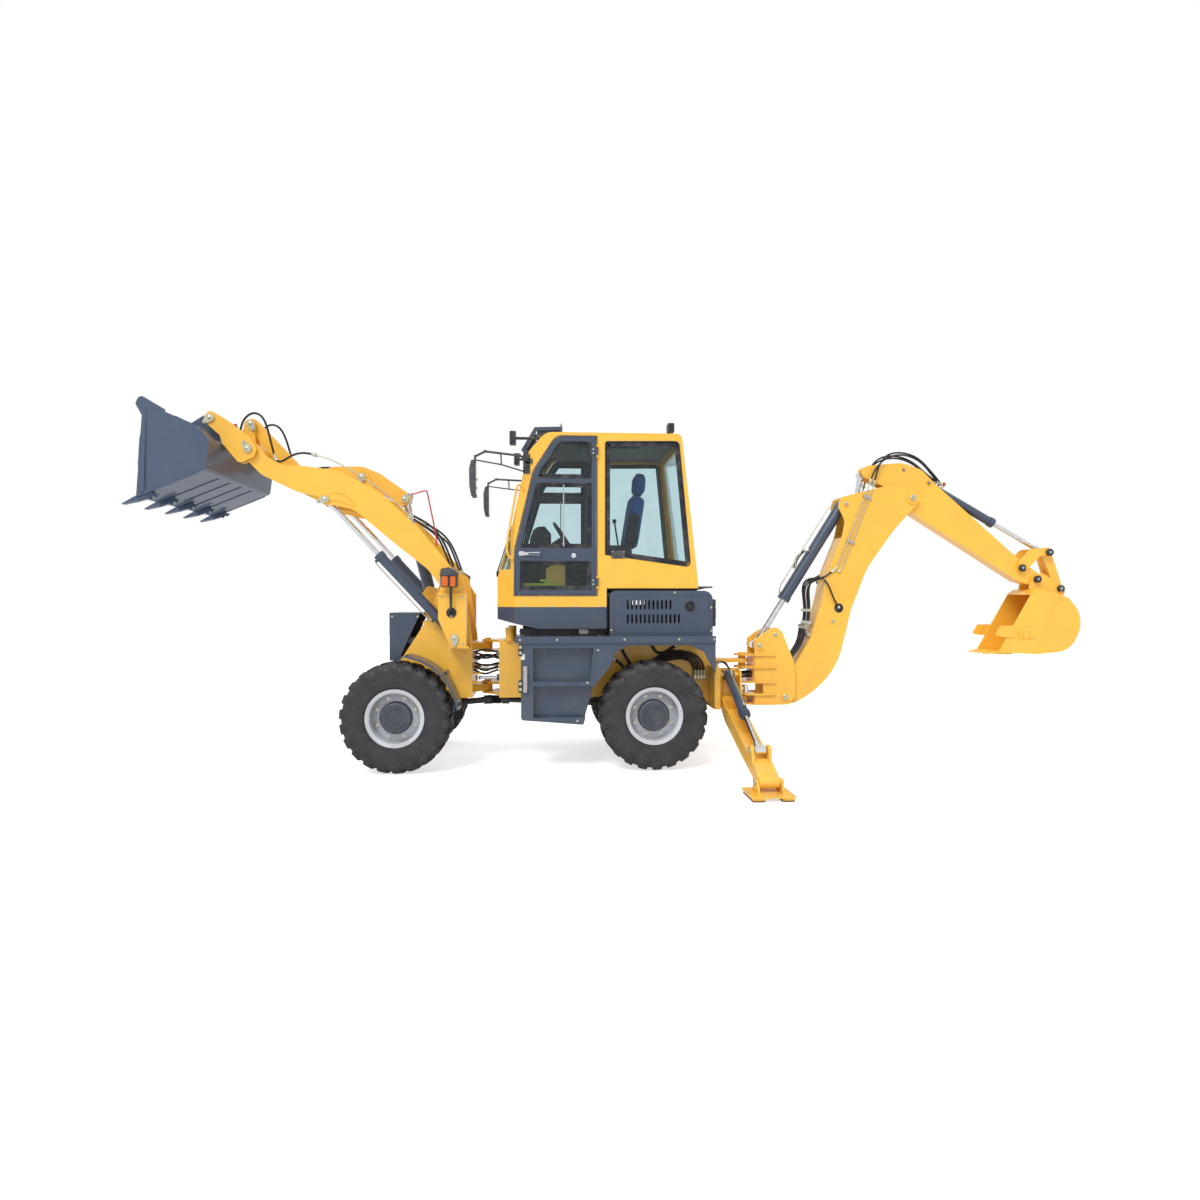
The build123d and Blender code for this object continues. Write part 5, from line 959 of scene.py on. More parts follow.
def make_loader(settings):
    """Keeper plates, welds, pipes, hoses, prop bar and wear parts of the loader arms, lever and bucket."""
    groups = {"loader_arms": [], "loader_bucket": [], "tilt_lever": [], "front_frame": []}
    plates = {body: Shape() for body in groups}
    for side in SIDES:
        for body, pin, tail, y in (("loader_arms", LIFT_EYE, -20, 534),
                ("loader_bucket", (2750, 3170), 60, 570), ("loader_bucket", (3110, 3470), -40, 570),
                ("front_frame", LIFT_FOOT, -90, 608), ("tilt_lever", (1300, 2740), 130, 88),
                ("loader_arms", (1740, 2970), -70, 128), ("loader_bucket", (2890, 3520), -110, 86)):
            groups[body].append(keeper(plates[body], pin, tail, side * y, side))
    for body, shape in plates.items():
        shape.place(f"pin_keepers_{body}", "plated_zinc", body, 0.0008)
        bolts(f"keeper_bolts_{body}", body, groups[body], 22)
    for side, hand, _ in HANDS:
        arc = [(1985, 2700), (1960, 2738), (1903, 2745), (1830, 2728), (1775, 2695),
            (1738, 2650), (1712, 2604)]
        boss = Shape().plate([(1990, 2690), (1955, 2734), (1903, 2738), (1832, 2722), (1780, 2688),
            (1744, 2646), (1722, 2600), (1790, 2632), (1905, 2668), (1955, 2660)], "y",
            side * 519, side * 527)
        boss.place(f"arm_boss_{hand}", "yellow_enamel", "loader_arms", 0.003)
        weld(f"arm_boss_weld_{hand}", "loader_arms", [(x, side * 521, z) for x, z in arc],
            "yellow_enamel", 8)
        # steel pipes on top of the arms, and the hoses they feed
        pipe(f"arm_pipe_{hand}", "loader_arms", sided(side, (2121, 452, 3130), (2000, 452, 3112),
            (1773, 452, 2985), (1560, 452, 2850), (1347, 452, 2690), (1180, 452, 2520)))
        reach = ("loader_arms", "loader_bucket", at(2560, 0, 3000), at(2760, 0, 3300))
        hose(f"arm_hose_{hand}", "loader_arms", sided(side, (2121, 452, 3130), (2210, 452, 3160),
            (2330, 440, 3155), (2440, 400, 3090), (2520, 360, 3060), (2560, 330, 3120)), settings.hose)
        hose(f"coupler_hose_{hand}", reach, sided(side, (2560, 330, 3120), (2600, 320, 3240),
            (2640, 300, 3420), (2700, 285, 3560), (2790, 275, 3600), (2870, 270, 3560), (2921, 270, 3480),
            (2935, 270, 3360)), settings.hose)
        root = ("front_frame", "loader_arms", at(830, 0, 1980), at(960, 0, 2300))
        hose(f"arm_root_hose_{hand}", root, sided(side, (1180, 452, 2520), (1100, 450, 2460),
            (1010, 448, 2400), (910, 440, 2330), (850, 430, 2200), (800, 420, 2060),
            (760, 410, 1960)), settings.hose)
        hose(f"arm_root_return_{hand}", root, sided(side, (1190, 420, 2545), (1090, 420, 2500),
            (980, 420, 2440), (860, 415, 2300), (800, 405, 2150), (740, 395, 1970)), settings.hose)
        # the pipe that feeds the rod end of the lift ram, and the ram's two ports
        base, eye = Vector(LIFT_FOOT), Vector(LIFT_EYE)
        along = (eye - base).normalized()
        across = Vector((along.y, -along.x))
        run = [base + along * d + across * w for d, w in ((1120, 60), (1120, 84), (1060, 84), (400, 84),
            (330, 84), (300, 60))]
        pipe(f"lift_pipe_{hand}", "lift_barrels", [(p.x, side * LIFT_RAM_SIDE, p.y) for p in run], 6)
        for k, (d, length) in enumerate(((1120, 22), (290, 24))):
            port = Shape()
            foot = base + along * d + across * 52
            tip = (foot.x + across.x * length, side * LIFT_RAM_SIDE, foot.y + across.y * length)
            port.rod((foot.x, side * LIFT_RAM_SIDE, foot.y), tip, 14)
            port.place(f"lift_port_{k}_{hand}", "grey_enamel", "lift_barrels", 0.001)
    hose("arm_prop_bar", "loader_arms", [(1157, 536, 2734), (1130, 540, 2742), (1105, 540, 2748),
        (1020, 540, 2776), (1004, 540, 2774), (996, 540, 2740), (960, 540, 2560), (925, 540, 2390),
        (908, 540, 2300), (906, 540, 2220)], 7, "red_enamel", "red_enamel", 1.3, 14)
    # coupler's quick fittings with their red caps
    taps = Shape()
    caps = Shape()
    for y in (180, -180):
        taps.rod((2965, y, 3352), (2990, y, 3420), 15)
        taps.rod((2990, y, 3420), (3002, y, 3452), 11)
        caps.rod((3000, y, 3448), (3016, y, 3490), 17)
    taps.place("quick_taps", "plated_zinc", "loader_bucket")
    caps.place("tap_caps", "red_cap", "loader_bucket", 0.002)
    # bucket: floor wear bars, welds, cheek edges, tooth shanks and their bolts
    slope = (Vector(BUCKET_LIP) - Vector(BUCKET_HEEL)).normalized()
    normal = Vector((slope.y, -slope.x))

    def floor_point(d, drop):
        """A point so far along the bucket's floor from its heel, and so far below it."""
        x, z = BUCKET_HEEL
        return (x + slope.x * d + normal.x * drop, z + slope.y * d + normal.y * drop)

    bars = Shape()
    for y in (-450, -150, 150, 450):
        corners = [floor_point(60, 0), floor_point(60, 7), floor_point(560, 7), floor_point(560, 0)]
        bars.plate(corners, "y", y - 22, y + 22)
    bars.place("bucket_wear_bars", "bucket_grey_enamel", "loader_bucket")
    for side, hand, _ in reversed(HANDS):
        weld(f"bucket_corner_weld_{hand}", "loader_bucket", [(x, side * BUCKET_SIDE, z)
            for x, z in (floor_point(610, 2), floor_point(70, 2))], "bucket_grey_enamel", 9)
        weld(f"bucket_front_weld_{hand}", "loader_bucket",
            sided(side, (3560, 901, 2740), (3560, 901, 3470)), "bucket_grey_enamel", 9)
        edge = Shape()
        edge.plate(rounded([(3575, 2690), (3612, 2676), (3628, 2800), (3630, 2960), (3616, 3197),
            (3580, 3365), (3560, 3340)], 30), "y", side * 899, side * 908)
        edge.place(f"bucket_cheek_edge_{hand}", "bucket_grey_enamel", "loader_bucket", 0.002)
    outer_tooth = BUCKET_SIDE - 45
    spacing = 2 * outer_tooth / (TOOTH_COUNT - 1)
    shanks = Shape()
    tooth_bolts = []
    for i in range(TOOTH_COUNT):
        y = -outer_tooth + i * spacing
        corners = [floor_point(d, w) for d, w in ((500, 34), (500, 46), (600, 46), (690, 38),
            (700, 30), (640, 30))]
        shanks.plate(corners, "y", y - 26, y + 26)
        for d in (530, 580):
            px, pz = floor_point(d, 46)
            tooth_bolts.append(((px, y, pz), (normal.x, 0, normal.y)))
    shanks.place("tooth_shanks", "bucket_grey_enamel", "loader_bucket", 0.003)
    bolts("tooth_bolts", "loader_bucket", tooth_bolts, 24, "bucket_grey_enamel")
    for y in (-300, 300):
        weld(f"bucket_back_weld_{'a' if y < 0 else 'b'}", "loader_bucket", [
            (3120, y, 3342), (3250, y, 3397), (3420, y, 3475), (3560, y, 3540)], "bucket_grey_enamel", 9)


# -------- front frame
def make_front(settings):
    """Lamps' lenses and hoods, tower welds and bolts, grille, and the hoses across the articulation."""
    for side, hand, out in HANDS:
        for place, back, front in (("front", 700, 752), ("rear", 776, 838)):
            glass = Shape().plate(tile(back, front, 1806, 1908, 12), "y", side * 700, side * 712)
            glass.place(f"indicator_{place}_{hand}", "orange_lens", "front_frame", 0.003)
        head = Shape().plate(tile(side * 606, side * 694, 1812, 1902, 14), "x", 846, 856)
        head.place(f"head_lamp_lens_{hand}", "clear_lens", "front_frame", 0.003)
        visor = Shape()
        visor.plate(rounded([(682, 1912), (856, 1912), (842, 1982), (760, 1996), (680, 1944)], 10), "y",
            side * 592, side * 716)
        visor.place(f"lamp_hood_{hand}", "moulded_grey", "front_frame", 0.004)
        ring = Shape().lathe((752, side * 600, 1545), out,
            [(50, 0), (50, 9), (44, 12), (24, 12), (16, 16), (15, 10)], 40)
        ring.place(f"lamp_grommet_{hand}", "moulded_black", "front_frame", 0)
        bolts(f"grommet_bolts_{hand}", "front_frame", [
            ((752 + 36 * math.cos(a), side * 611, 1545 + 36 * math.sin(a)), out)
            for a in (math.radians(90), math.radians(270))], 13)
        for k, line in enumerate((((606, 1738), (888, 1738)), ((604, 1192), (762, 1192)))):
            weld(f"tower_weld_{k}_{hand}", "front_frame", [(x, side * 604, z) for x, z in line],
                "yellow_enamel", 8)
        bolts(f"tower_bolts_{hand}", "front_frame", [((x, side * 600, z), out)
            for x, z in ((636, 1236), (640, 1700), (850, 1700))], 18)
        for k, (x, z) in enumerate(((1120, 1120), (1120, 1500), (1380, 1500))):
            bolts(f"nose_bolts_{k}_{hand}", "front_frame", [((x + 12, side * 300, z), out)], 16)
    nose = Shape()
    for z in (1130, 1190, 1250, 1310, 1370, 1430):
        nose.plate(tile(-210, 210, z - 12, z + 12, 11), "x", 1419, 1424)
    nose.place("nose_grille", "chassis_black", "front_frame", 0.001)
    link = ("chassis", "front_frame", at(350, 0, 900), at(520, 0, 900))
    runs = ((250, 1120, 30), (205, 1085, -20), (160, 1050, 40), (120, 1010, -30), (215, 985, -45),
        (270, 950, -40), (-120, 1040, 30), (-180, 1090, -30), (-240, 1010, 40), (-210, 950, -40))
    for k, (y, z, sag) in enumerate(runs):
        hose(f"steering_hose_{k}", link, [(262, y, z), (330, y, z + sag * 0.3), (400, y * 1.06, z + sag),
            (430, y * 1.1, z + sag * 1.2), (500, y * 1.06, z + sag), (552, y, z),
            (600, y, z)], settings.hose)
    for name, y in (("a", 200), ("b", -200)):
        pipe(f"hinge_pipe_{name}", link, [(262, y, 960), (360, y, 954), (480, y, 954), (590, y, 960)], 13)
    bolts("hinge_bolts", "chassis", [((430 + 24 * math.cos(a), 24 * math.sin(a), 1263), (0, 0, 1))
        for a in (0.5, 2.6, 4.7)], 14)


# -------- cab
DOOR_SIDE = ((110, 1730, 0), (105, 2180, 260), (-80, 2960, 220), (-300, 3300, 110), (-690, 3300, 0),
    (-690, 1730, 0))
REAR_WINDOW = ((-790, 2130, 0), (-790, 3260, 25), (-1530, 3270, 50), (-1650, 2010, 50))
DOOR_PANES = ((1730, 2060), (2195, 2840), (2890, 3350))
SCREEN_FOOT, SCREEN_BEND, SCREEN_HALF = 1900, 2300, 400
SCREEN_LOW, SCREEN_HIGH = 1980, 3120
CAB_SIDE = 700


def front_line(z, out=0):
    """The leaning front's distance ahead, at a height."""
    if z < SCREEN_FOOT:
        return 300 + out
    if z < SCREEN_BEND:
        return 300 - (z - SCREEN_FOOT) * 130 / 400 + out
    return 170 - (z - SCREEN_BEND) * 180 / 840 + out


def make_cab(settings):
    """Window bands and seals, door furniture, rails, wiper, mirrors' glass, lamps and skirt bolts."""
    band = settings.gasket
    for side, hand, out in HANDS:
        body = f"door_{hand}"
        trim, seal = Shape(), Shape()
        leaf = inset(rounded(DOOR_SIDE, 0, 8), 46)
        for low, high in DOOR_PANES:
            outline = between(leaf, low + 2, high - 2)
            edge = inset(outline, 1)
            trim.band(edge, inset(edge, band), "y", side * 692.5, side * 696)
            seal.band(inset(outline, -5), inset(outline, 9), "y", side * 684, side * 711)
        trim.place(f"door_bands_{hand}", "gasket_rubber", body, 0)
        seal.place(f"door_seals_{hand}", "gasket_rubber", body, 0.001)
        bar = Shape()
        bar.box(-375, -363, side * 684, side * 698, 2200, 2836)
        bar.place(f"door_divider_{hand}", "plain_steel", body, 0.001)
        grip = Shape()
        grip.plate(rounded([(-128, 2118), (74, 2118), (74, 2144), (-128, 2150)], 11), "y",
            side * 717, side * 729)
        grip.plate(tile(16, 78, 2112, 2156, 18), "y", side * 708, side * 724)
        grip.plate(tile(-132, -104, 2116, 2152, 10), "y", side * 708, side * 722)
        grip.lathe((-470, side * 718, 2115), out, [(24, 0), (24, 6), (20, 9), (12, 9), (11, 5)], 28)
        grip.place(f"door_handle_{hand}", "rod_chrome", body, 0.002)
        bolts(f"hinge_bolts_{hand}", body, [((-665, side * 715.5, z + dz), out) for z in (1850, 3160)
            for dz in (-20, 20)], 14)
        shade, edge_seal = Shape(), Shape()
        window = rounded(REAR_WINDOW, 0, 6)
        shade.band(inset(window, 1), inset(window, band + 8), "y", side * 686.5, side * 690)
        edge_seal.band(inset(window, -7), inset(window, 6), "y", side * 686, side * 704)
        shade.place(f"rear_pane_band_{hand}", "gasket_rubber", "chassis", 0)
        edge_seal.place(f"rear_pane_seal_{hand}", "gasket_rubber", "chassis", 0.0015)
        # frame that the door shuts on
        jamb = Shape()
        outline = rounded(DOOR_SIDE, 0, 8)
        jamb.band(inset(outline, -18), inset(outline, -7), "y", side * 699, side * 707)
        jamb.place(f"door_jamb_{hand}", "grey_enamel", "chassis", 0.001)
        # grab rail ahead of the door
        rail_path = [(30, 700, 2770), (40, 716, 2812), (78, 722, 2822), (96, 724, 2800), (126, 726, 2625),
            (176, 730, 2350), (196, 722, 2230), (196, 712, 2140), (172, 704, 2092), (140, 700, 2080)]
        hose(f"grab_rail_{hand}", "chassis", [(x, side * (y - 8), z) for x, y, z in rail_path], 11,
             cover="yellow_enamel", metal="yellow_enamel", ferrule=1.5, length=10)
        plate = Shape()
        plate.plate(tile(-985, -845, 2088, 2170, 8), "y", side * 699.5, side * 706)
        plate.plate(tile(-938, -892, 2112, 2146, 12), "y", side * 706, side * 712)
        plate.place(f"side_latch_{hand}", "moulded_grey", "chassis", 0.0015)
        bolts(f"latch_bolts_{hand}", "chassis", [((x, side * 706, z), out) for x in (-972, -858)
            for z in (2100, 2158)], 9)
        bolts(f"skirt_bolts_{hand}", "chassis", [((x, side * CAB_SIDE, 1610), out)
            for x in (18, -235, -488, -743)], 15)
        glass = Shape().plate(tile(side * 822, side * 988, 2688, 2992, 24), "x", 474, 480)
        glass.place(f"mirror_glass_{hand}", "mirror_silver", "chassis", 0.001)
        back = Shape()
        back.plate(rounded([(520, 3012), (500, 3012), (478, 2990), (476, 2700), (500, 2668), (520, 2664),
            (538, 2760), (541, 2930)], 10), "y", side * 808, side * 1002)
        back.place(f"mirror_back_{hand}", "moulded_grey", "chassis", 0.006)
        arm = Shape()
        arm.rod((505, side * 905, 3028), (240, side * 866, 2990), 7)
        arm.rod((240, side * 866, 2990), (20, side * 712, 2948), 7)
        arm.rod((240, side * 866, 2990), (246, side * 868, 3098), 7)
        arm.plate(tile(-34, 34, 2930, 3130, 12), "y", side * CAB_SIDE, side * 712)
        arm.place(f"mirror_stay_{hand}", "moulded_black", "chassis", 0.0008)
        lamp = Shape()
        lamp.plate(tile(side * 568, side * 652, 3242, 3356, 14), "x", 168, 175)
        lamp.plate(tile(side * 478, side * 592, 3396, 3474, 12), "x", -1505, -1500)
        lamp.place(f"work_lamp_glass_{hand}", "clear_lens", "chassis", 0.002)
        pillar = Shape().plate(rounded([(-1520, 3360), (-1470, 3360), (-1462, 3400), (-1478, 3400)], 3),
            "y", side * 520, side * 550)
        pillar.place(f"work_lamp_foot_{hand}", "plain_steel", "chassis", 0.001)
        weld(f"roof_seam_{hand}", "chassis", sided(side, (-330, 699, 3338), (-1540, 699, 3338)),
            "yellow_enamel", 5)
    # rubber round the windscreen, from its lower right corner
    half = SCREEN_HALF
    corners = [(-half, SCREEN_LOW), (half, SCREEN_LOW), (half, SCREEN_BEND), (half, SCREEN_HIGH),
               (-half, SCREEN_HIGH), (-half, SCREEN_BEND), (-half, SCREEN_LOW)]
    path = curve_object("screen_path", [(front_line(z, 4), y, z) for y, z in corners], "POLY")
    piece = run_tree("screen_seal", path, TREES["hose"], Radius=0.010, Ferrule=0.011, Length=0.01,
        Cover=FINISHES["gasket_rubber"], Metal=FINISHES["gasket_rubber"])
    settle(piece, "chassis", "lamp_plastic")
    wiper = Shape()
    wiper.rod((330, 60, 1960), (front_line(2560, 26), 20, 2560), 6)
    wiper.rod((330, 90, 1960), (front_line(2500, 26), 40, 2500), 6)
    wiper.box(front_line(2700, 14), front_line(2700, 30), 10, 26, 2100, 2110)
    wiper.lathe((300, 75, 1950), (1, 0, 0), [(34, 0), (34, 24), (24, 34), (8, 36)], 24)
    wiper.rod((front_line(2150, 16), 20, 2150), (front_line(2840, 16), 20, 2840), 8)
    wiper.place("wiper", "moulded_black", "chassis", 0.001)
    # the sun visor's rail and its ribbed body
    rail = Shape()
    rail.rod((-352, -372, 3496), (-352, 372, 3496), 12)
    for y in (-352, 352):
        rail.rod((-352, y, 3350), (-352, y, 3496), 12)
    rail.place("visor_rail", "plain_steel", "chassis", 0.001)
    slab = Shape()
    slab.plate(rounded([(-96, 3398), (-344, 3404), (-344, 3462), (-110, 3458)], 8), "y", -340, 340)
    for y in (-230, -115, 0, 115, 230):
        slab.plate([(-100, 3400), (-348, 3404), (-348, 3472), (-100, 3466)], "y", y - 5, y + 5)
    slab.place("visor_body", "grey_enamel", "chassis", 0.003)
    bolts("roof_bolts", "chassis", [((x, y, 3349), (0, 0, 1)) for x in (-480, -900, -1320)
        for y in (-560, 560)], 18, "yellow_enamel")


# -------- hood, platform and rear
HOOD_SIDE, STEP_SIDE = 735, 880
TAIL_LENSES = (("orange", 1602, 1674), ("red", 1480, 1597), ("clear", 1412, 1475))  # colour, foot and top


def make_rear(settings):
    """Louvre beads, exhaust, tail lamps, steps, arch hoses and cheeks, shelf, shaft boot and bolts."""
    for side, hand, out in HANDS:
        rows = []
        for count, z in ((11, 1625), (13, 1485)):
            rows += [((-1010 - i * 43, side * 735.5, z), out) for i in range(count)]
        beads = run_tree(f"louvre_beads_{hand}", point_cloud("louvre_points", rows), TREES["rim"],
            Material=FINISHES["grey_enamel"])
        settle(beads, "chassis", "grey_paint")
        ridge = Shape()
        outline = rounded([(-862, 1340), (-862, 1728), (-1842, 1728), (-1842, 1340)], 36)
        ridge.band(outline, inset(outline, 10), "y", side * 734, side * 739)
        ridge.place(f"hood_bead_{hand}", "grey_enamel", "chassis", 0.002)
        bolts(f"hood_bolts_{hand}", "chassis", [((x, side * HOOD_SIDE, z), out)
            for x, z in ((-1855, 1596), (-1855, 1362), (-1484, 1747), (-844, 1372))], 16)
        for colour, low, high in TAIL_LENSES:
            lamp = Shape().plate(tile(side * 566, side * 644, low, high, 8), "x", -1915, -1923)
            lamp.place(f"tail_{colour}_{hand}", f"{colour}_lens", "chassis", 0.003)
        # step box: hinge straps, tube, recess seams and bolts
        straps = Shape()
        for z in (1185, 830):
            straps.plate(tile(36, 76, z - 58, z + 58, 6), "y", side * 878, side * 892)
            straps.box(48, 64, side * 870, side * 890, z - 62, z + 62)
        straps.place(f"step_straps_{hand}", "chassis_black", "chassis", 0.001)
        bolts(f"step_strap_bolts_{hand}", "chassis", [((56, side * 892, z + dz), out) for z in (1185, 830)
            for dz in (-28, 28)], 24)
        tube = Shape()
        tube.rod((8, side * 900, 775), (8, side * 900, 1030), 26, 28)
        tube.box(-18, 30, side * 874, side * 890, 790, 1015)
        tube.place(f"step_tube_{hand}", "plain_steel", "chassis", 0.002)
        for k, line in enumerate(([(-76, 876), (-600, 876)], [(-80, 524), (-520, 524)],
                [(-66, 1196), (-66, 884)], [(-640, 890), (-700, 1200)])):
            weld(f"step_seam_{k}_{hand}", "chassis", [(x, side * 881, z) for x, z in line],
                "grey_enamel", 6)
        bolts(f"step_bolts_{hand}", "chassis", [((x, side * STEP_SIDE, z), out)
            for x, z in ((-701, 1180), (-598, 862), (-500, 490))] + [((x, side * 900, 1284), out)
            for x in (-961, -300, 60, -1500, -1850)], 17)
        board = []
        for i in range(22):
            board += [((96 - i * 42, side * y0, 1315), (0, 0, 1)) for y0 in (745, 785, 825, 865)]
        studs = run_tree(f"tread_studs_{hand}", point_cloud("stud_points", board), TREES["bolt"],
            Head_Width=0.012, Head_Height=0.002, Washer_Width=0.018, Washer_Height=0.002,
            Material=FINISHES["grey_enamel"])
        settle(studs, "chassis", "grey_paint")
        # hoses and pipes under the rear arch
        for k in range(4):
            x = -1757 - 33 * k
            hose(f"arch_hose_{k}_{hand}", "chassis", sided(side, (-1240, 372, 880 + 20 * k),
                (-1290, 378, 960 + 24 * k), (-1400, 382, 1030 + 28 * k), (-1560, 386, 1064 + 26 * k),
                (-1665 - 12 * k, 388, 1052 + 24 * k), (x + 24, 386, 1010 + 16 * k), (x, 382, 940),
                (x, 380, 850)), 12, length=88)
        for k, line in enumerate(([(-980, 1180), (-1010, 1090), (-1070, 1030), (-1090, 960)],
                [(-1300, 1215), (-1325, 1130), (-1400, 1100), (-1470, 1130), (-1560, 1200)],
                [(-900, 1060), (-960, 1020), (-1020, 960), (-1050, 900)])):
            hose(f"arch_loop_{k}_{hand}", "chassis", [(x, side * 366, z) for x, z in line], 15, length=20)
    for side, hand, _ in HANDS:
        cheek = Shape()
        cheek.plate(rounded([(-706, 1190), (-650, 792), (-690, 862), (-806, 1000), (-850, 1090),
            (-880, 1190)], 8), "y", side * 876, side * 880.6)
        cheek.place(f"arch_cheek_{hand}", "grey_enamel", "chassis", 0.0006)
    # black strips in the gaps under the cab: partly the black rubber mounts there, partly painted shade
    # filling the gap
    strip = Shape()
    strip.plate([(-836, 1767), (-836, 1788), (-1730, 1788), (-1730, 1767)], "y", -640, 640)
    for side in SIDES:
        strip.plate(tile(-800, 70, 1317, 1384, 4), "y", side * 596, side * 604)
    strip.place("cab_gap_seal", "moulded_black", "chassis", 0.001)
    shelf = Shape()
    shelf.plate(tile(-1734, -1905, 1796, 1812, 3), "y", -560, 560)
    for y in (-400, 0, 400):
        shelf.plate([(-1734, 1767), (-1734, 1798), (-1880, 1798)], "y", y - 4, y + 4)
    shelf.place("rear_shelf", "grey_enamel", "chassis", 0.001)
    badge = Shape()
    badge.lathe((-574, 604, 1352), LEFT, [(26, 0), (26, 2), (24, 3), (6, 3)], 32)
    badge.plate(tile(-622, -526, 1328, 1376, 23), "y", 603, 606)
    badge.plate(tile(14, 52, 1090, 1146, 3), "y", 880, 882)
    badge.place("blank_plates", "white_plate", "chassis", 0.0008)
    boot = Shape()
    for k in range(11):
        boot.lathe((286 + k * 12, 0, 600), (1, 0, 0), [(40, 0), (50, 5), (50, 7), (40, 12)], 28)
    boot.rod((280, 0, 600), (500, 0, 600), 30, 24)
    link = ("chassis", "front_frame", at(300, 0, 600), at(480, 0, 600))
    boot.place("shaft_boot", "moulded_black", link, 0)
    stack = Shape().lathe((-1640, 728, 1610), LEFT, [(52, 0), (54, 9), (48, 14), (40, 14), (37, 8), (33, 8),
        (33, 42), (29, 42), (29, 12)], 40)
    stack.place("exhaust_ring", "moulded_black", "chassis", 0)


# -------- backhoe
BOOM_SIDE, BOOM_PIPE_SIDE, DIG_BUCKET_SIDE = 130, 143, 231
BOOM_RAM_EYE, BOOM_RAM_PIN = (-3480, 2730), (-2500, 1180)
PLUG_WELDS = ((-4005, 2782), (-3750, 2746), (-3211, 1169), (-3291, 1285), (-3192, 994),
    (-3081, 845), (-2965, 732))


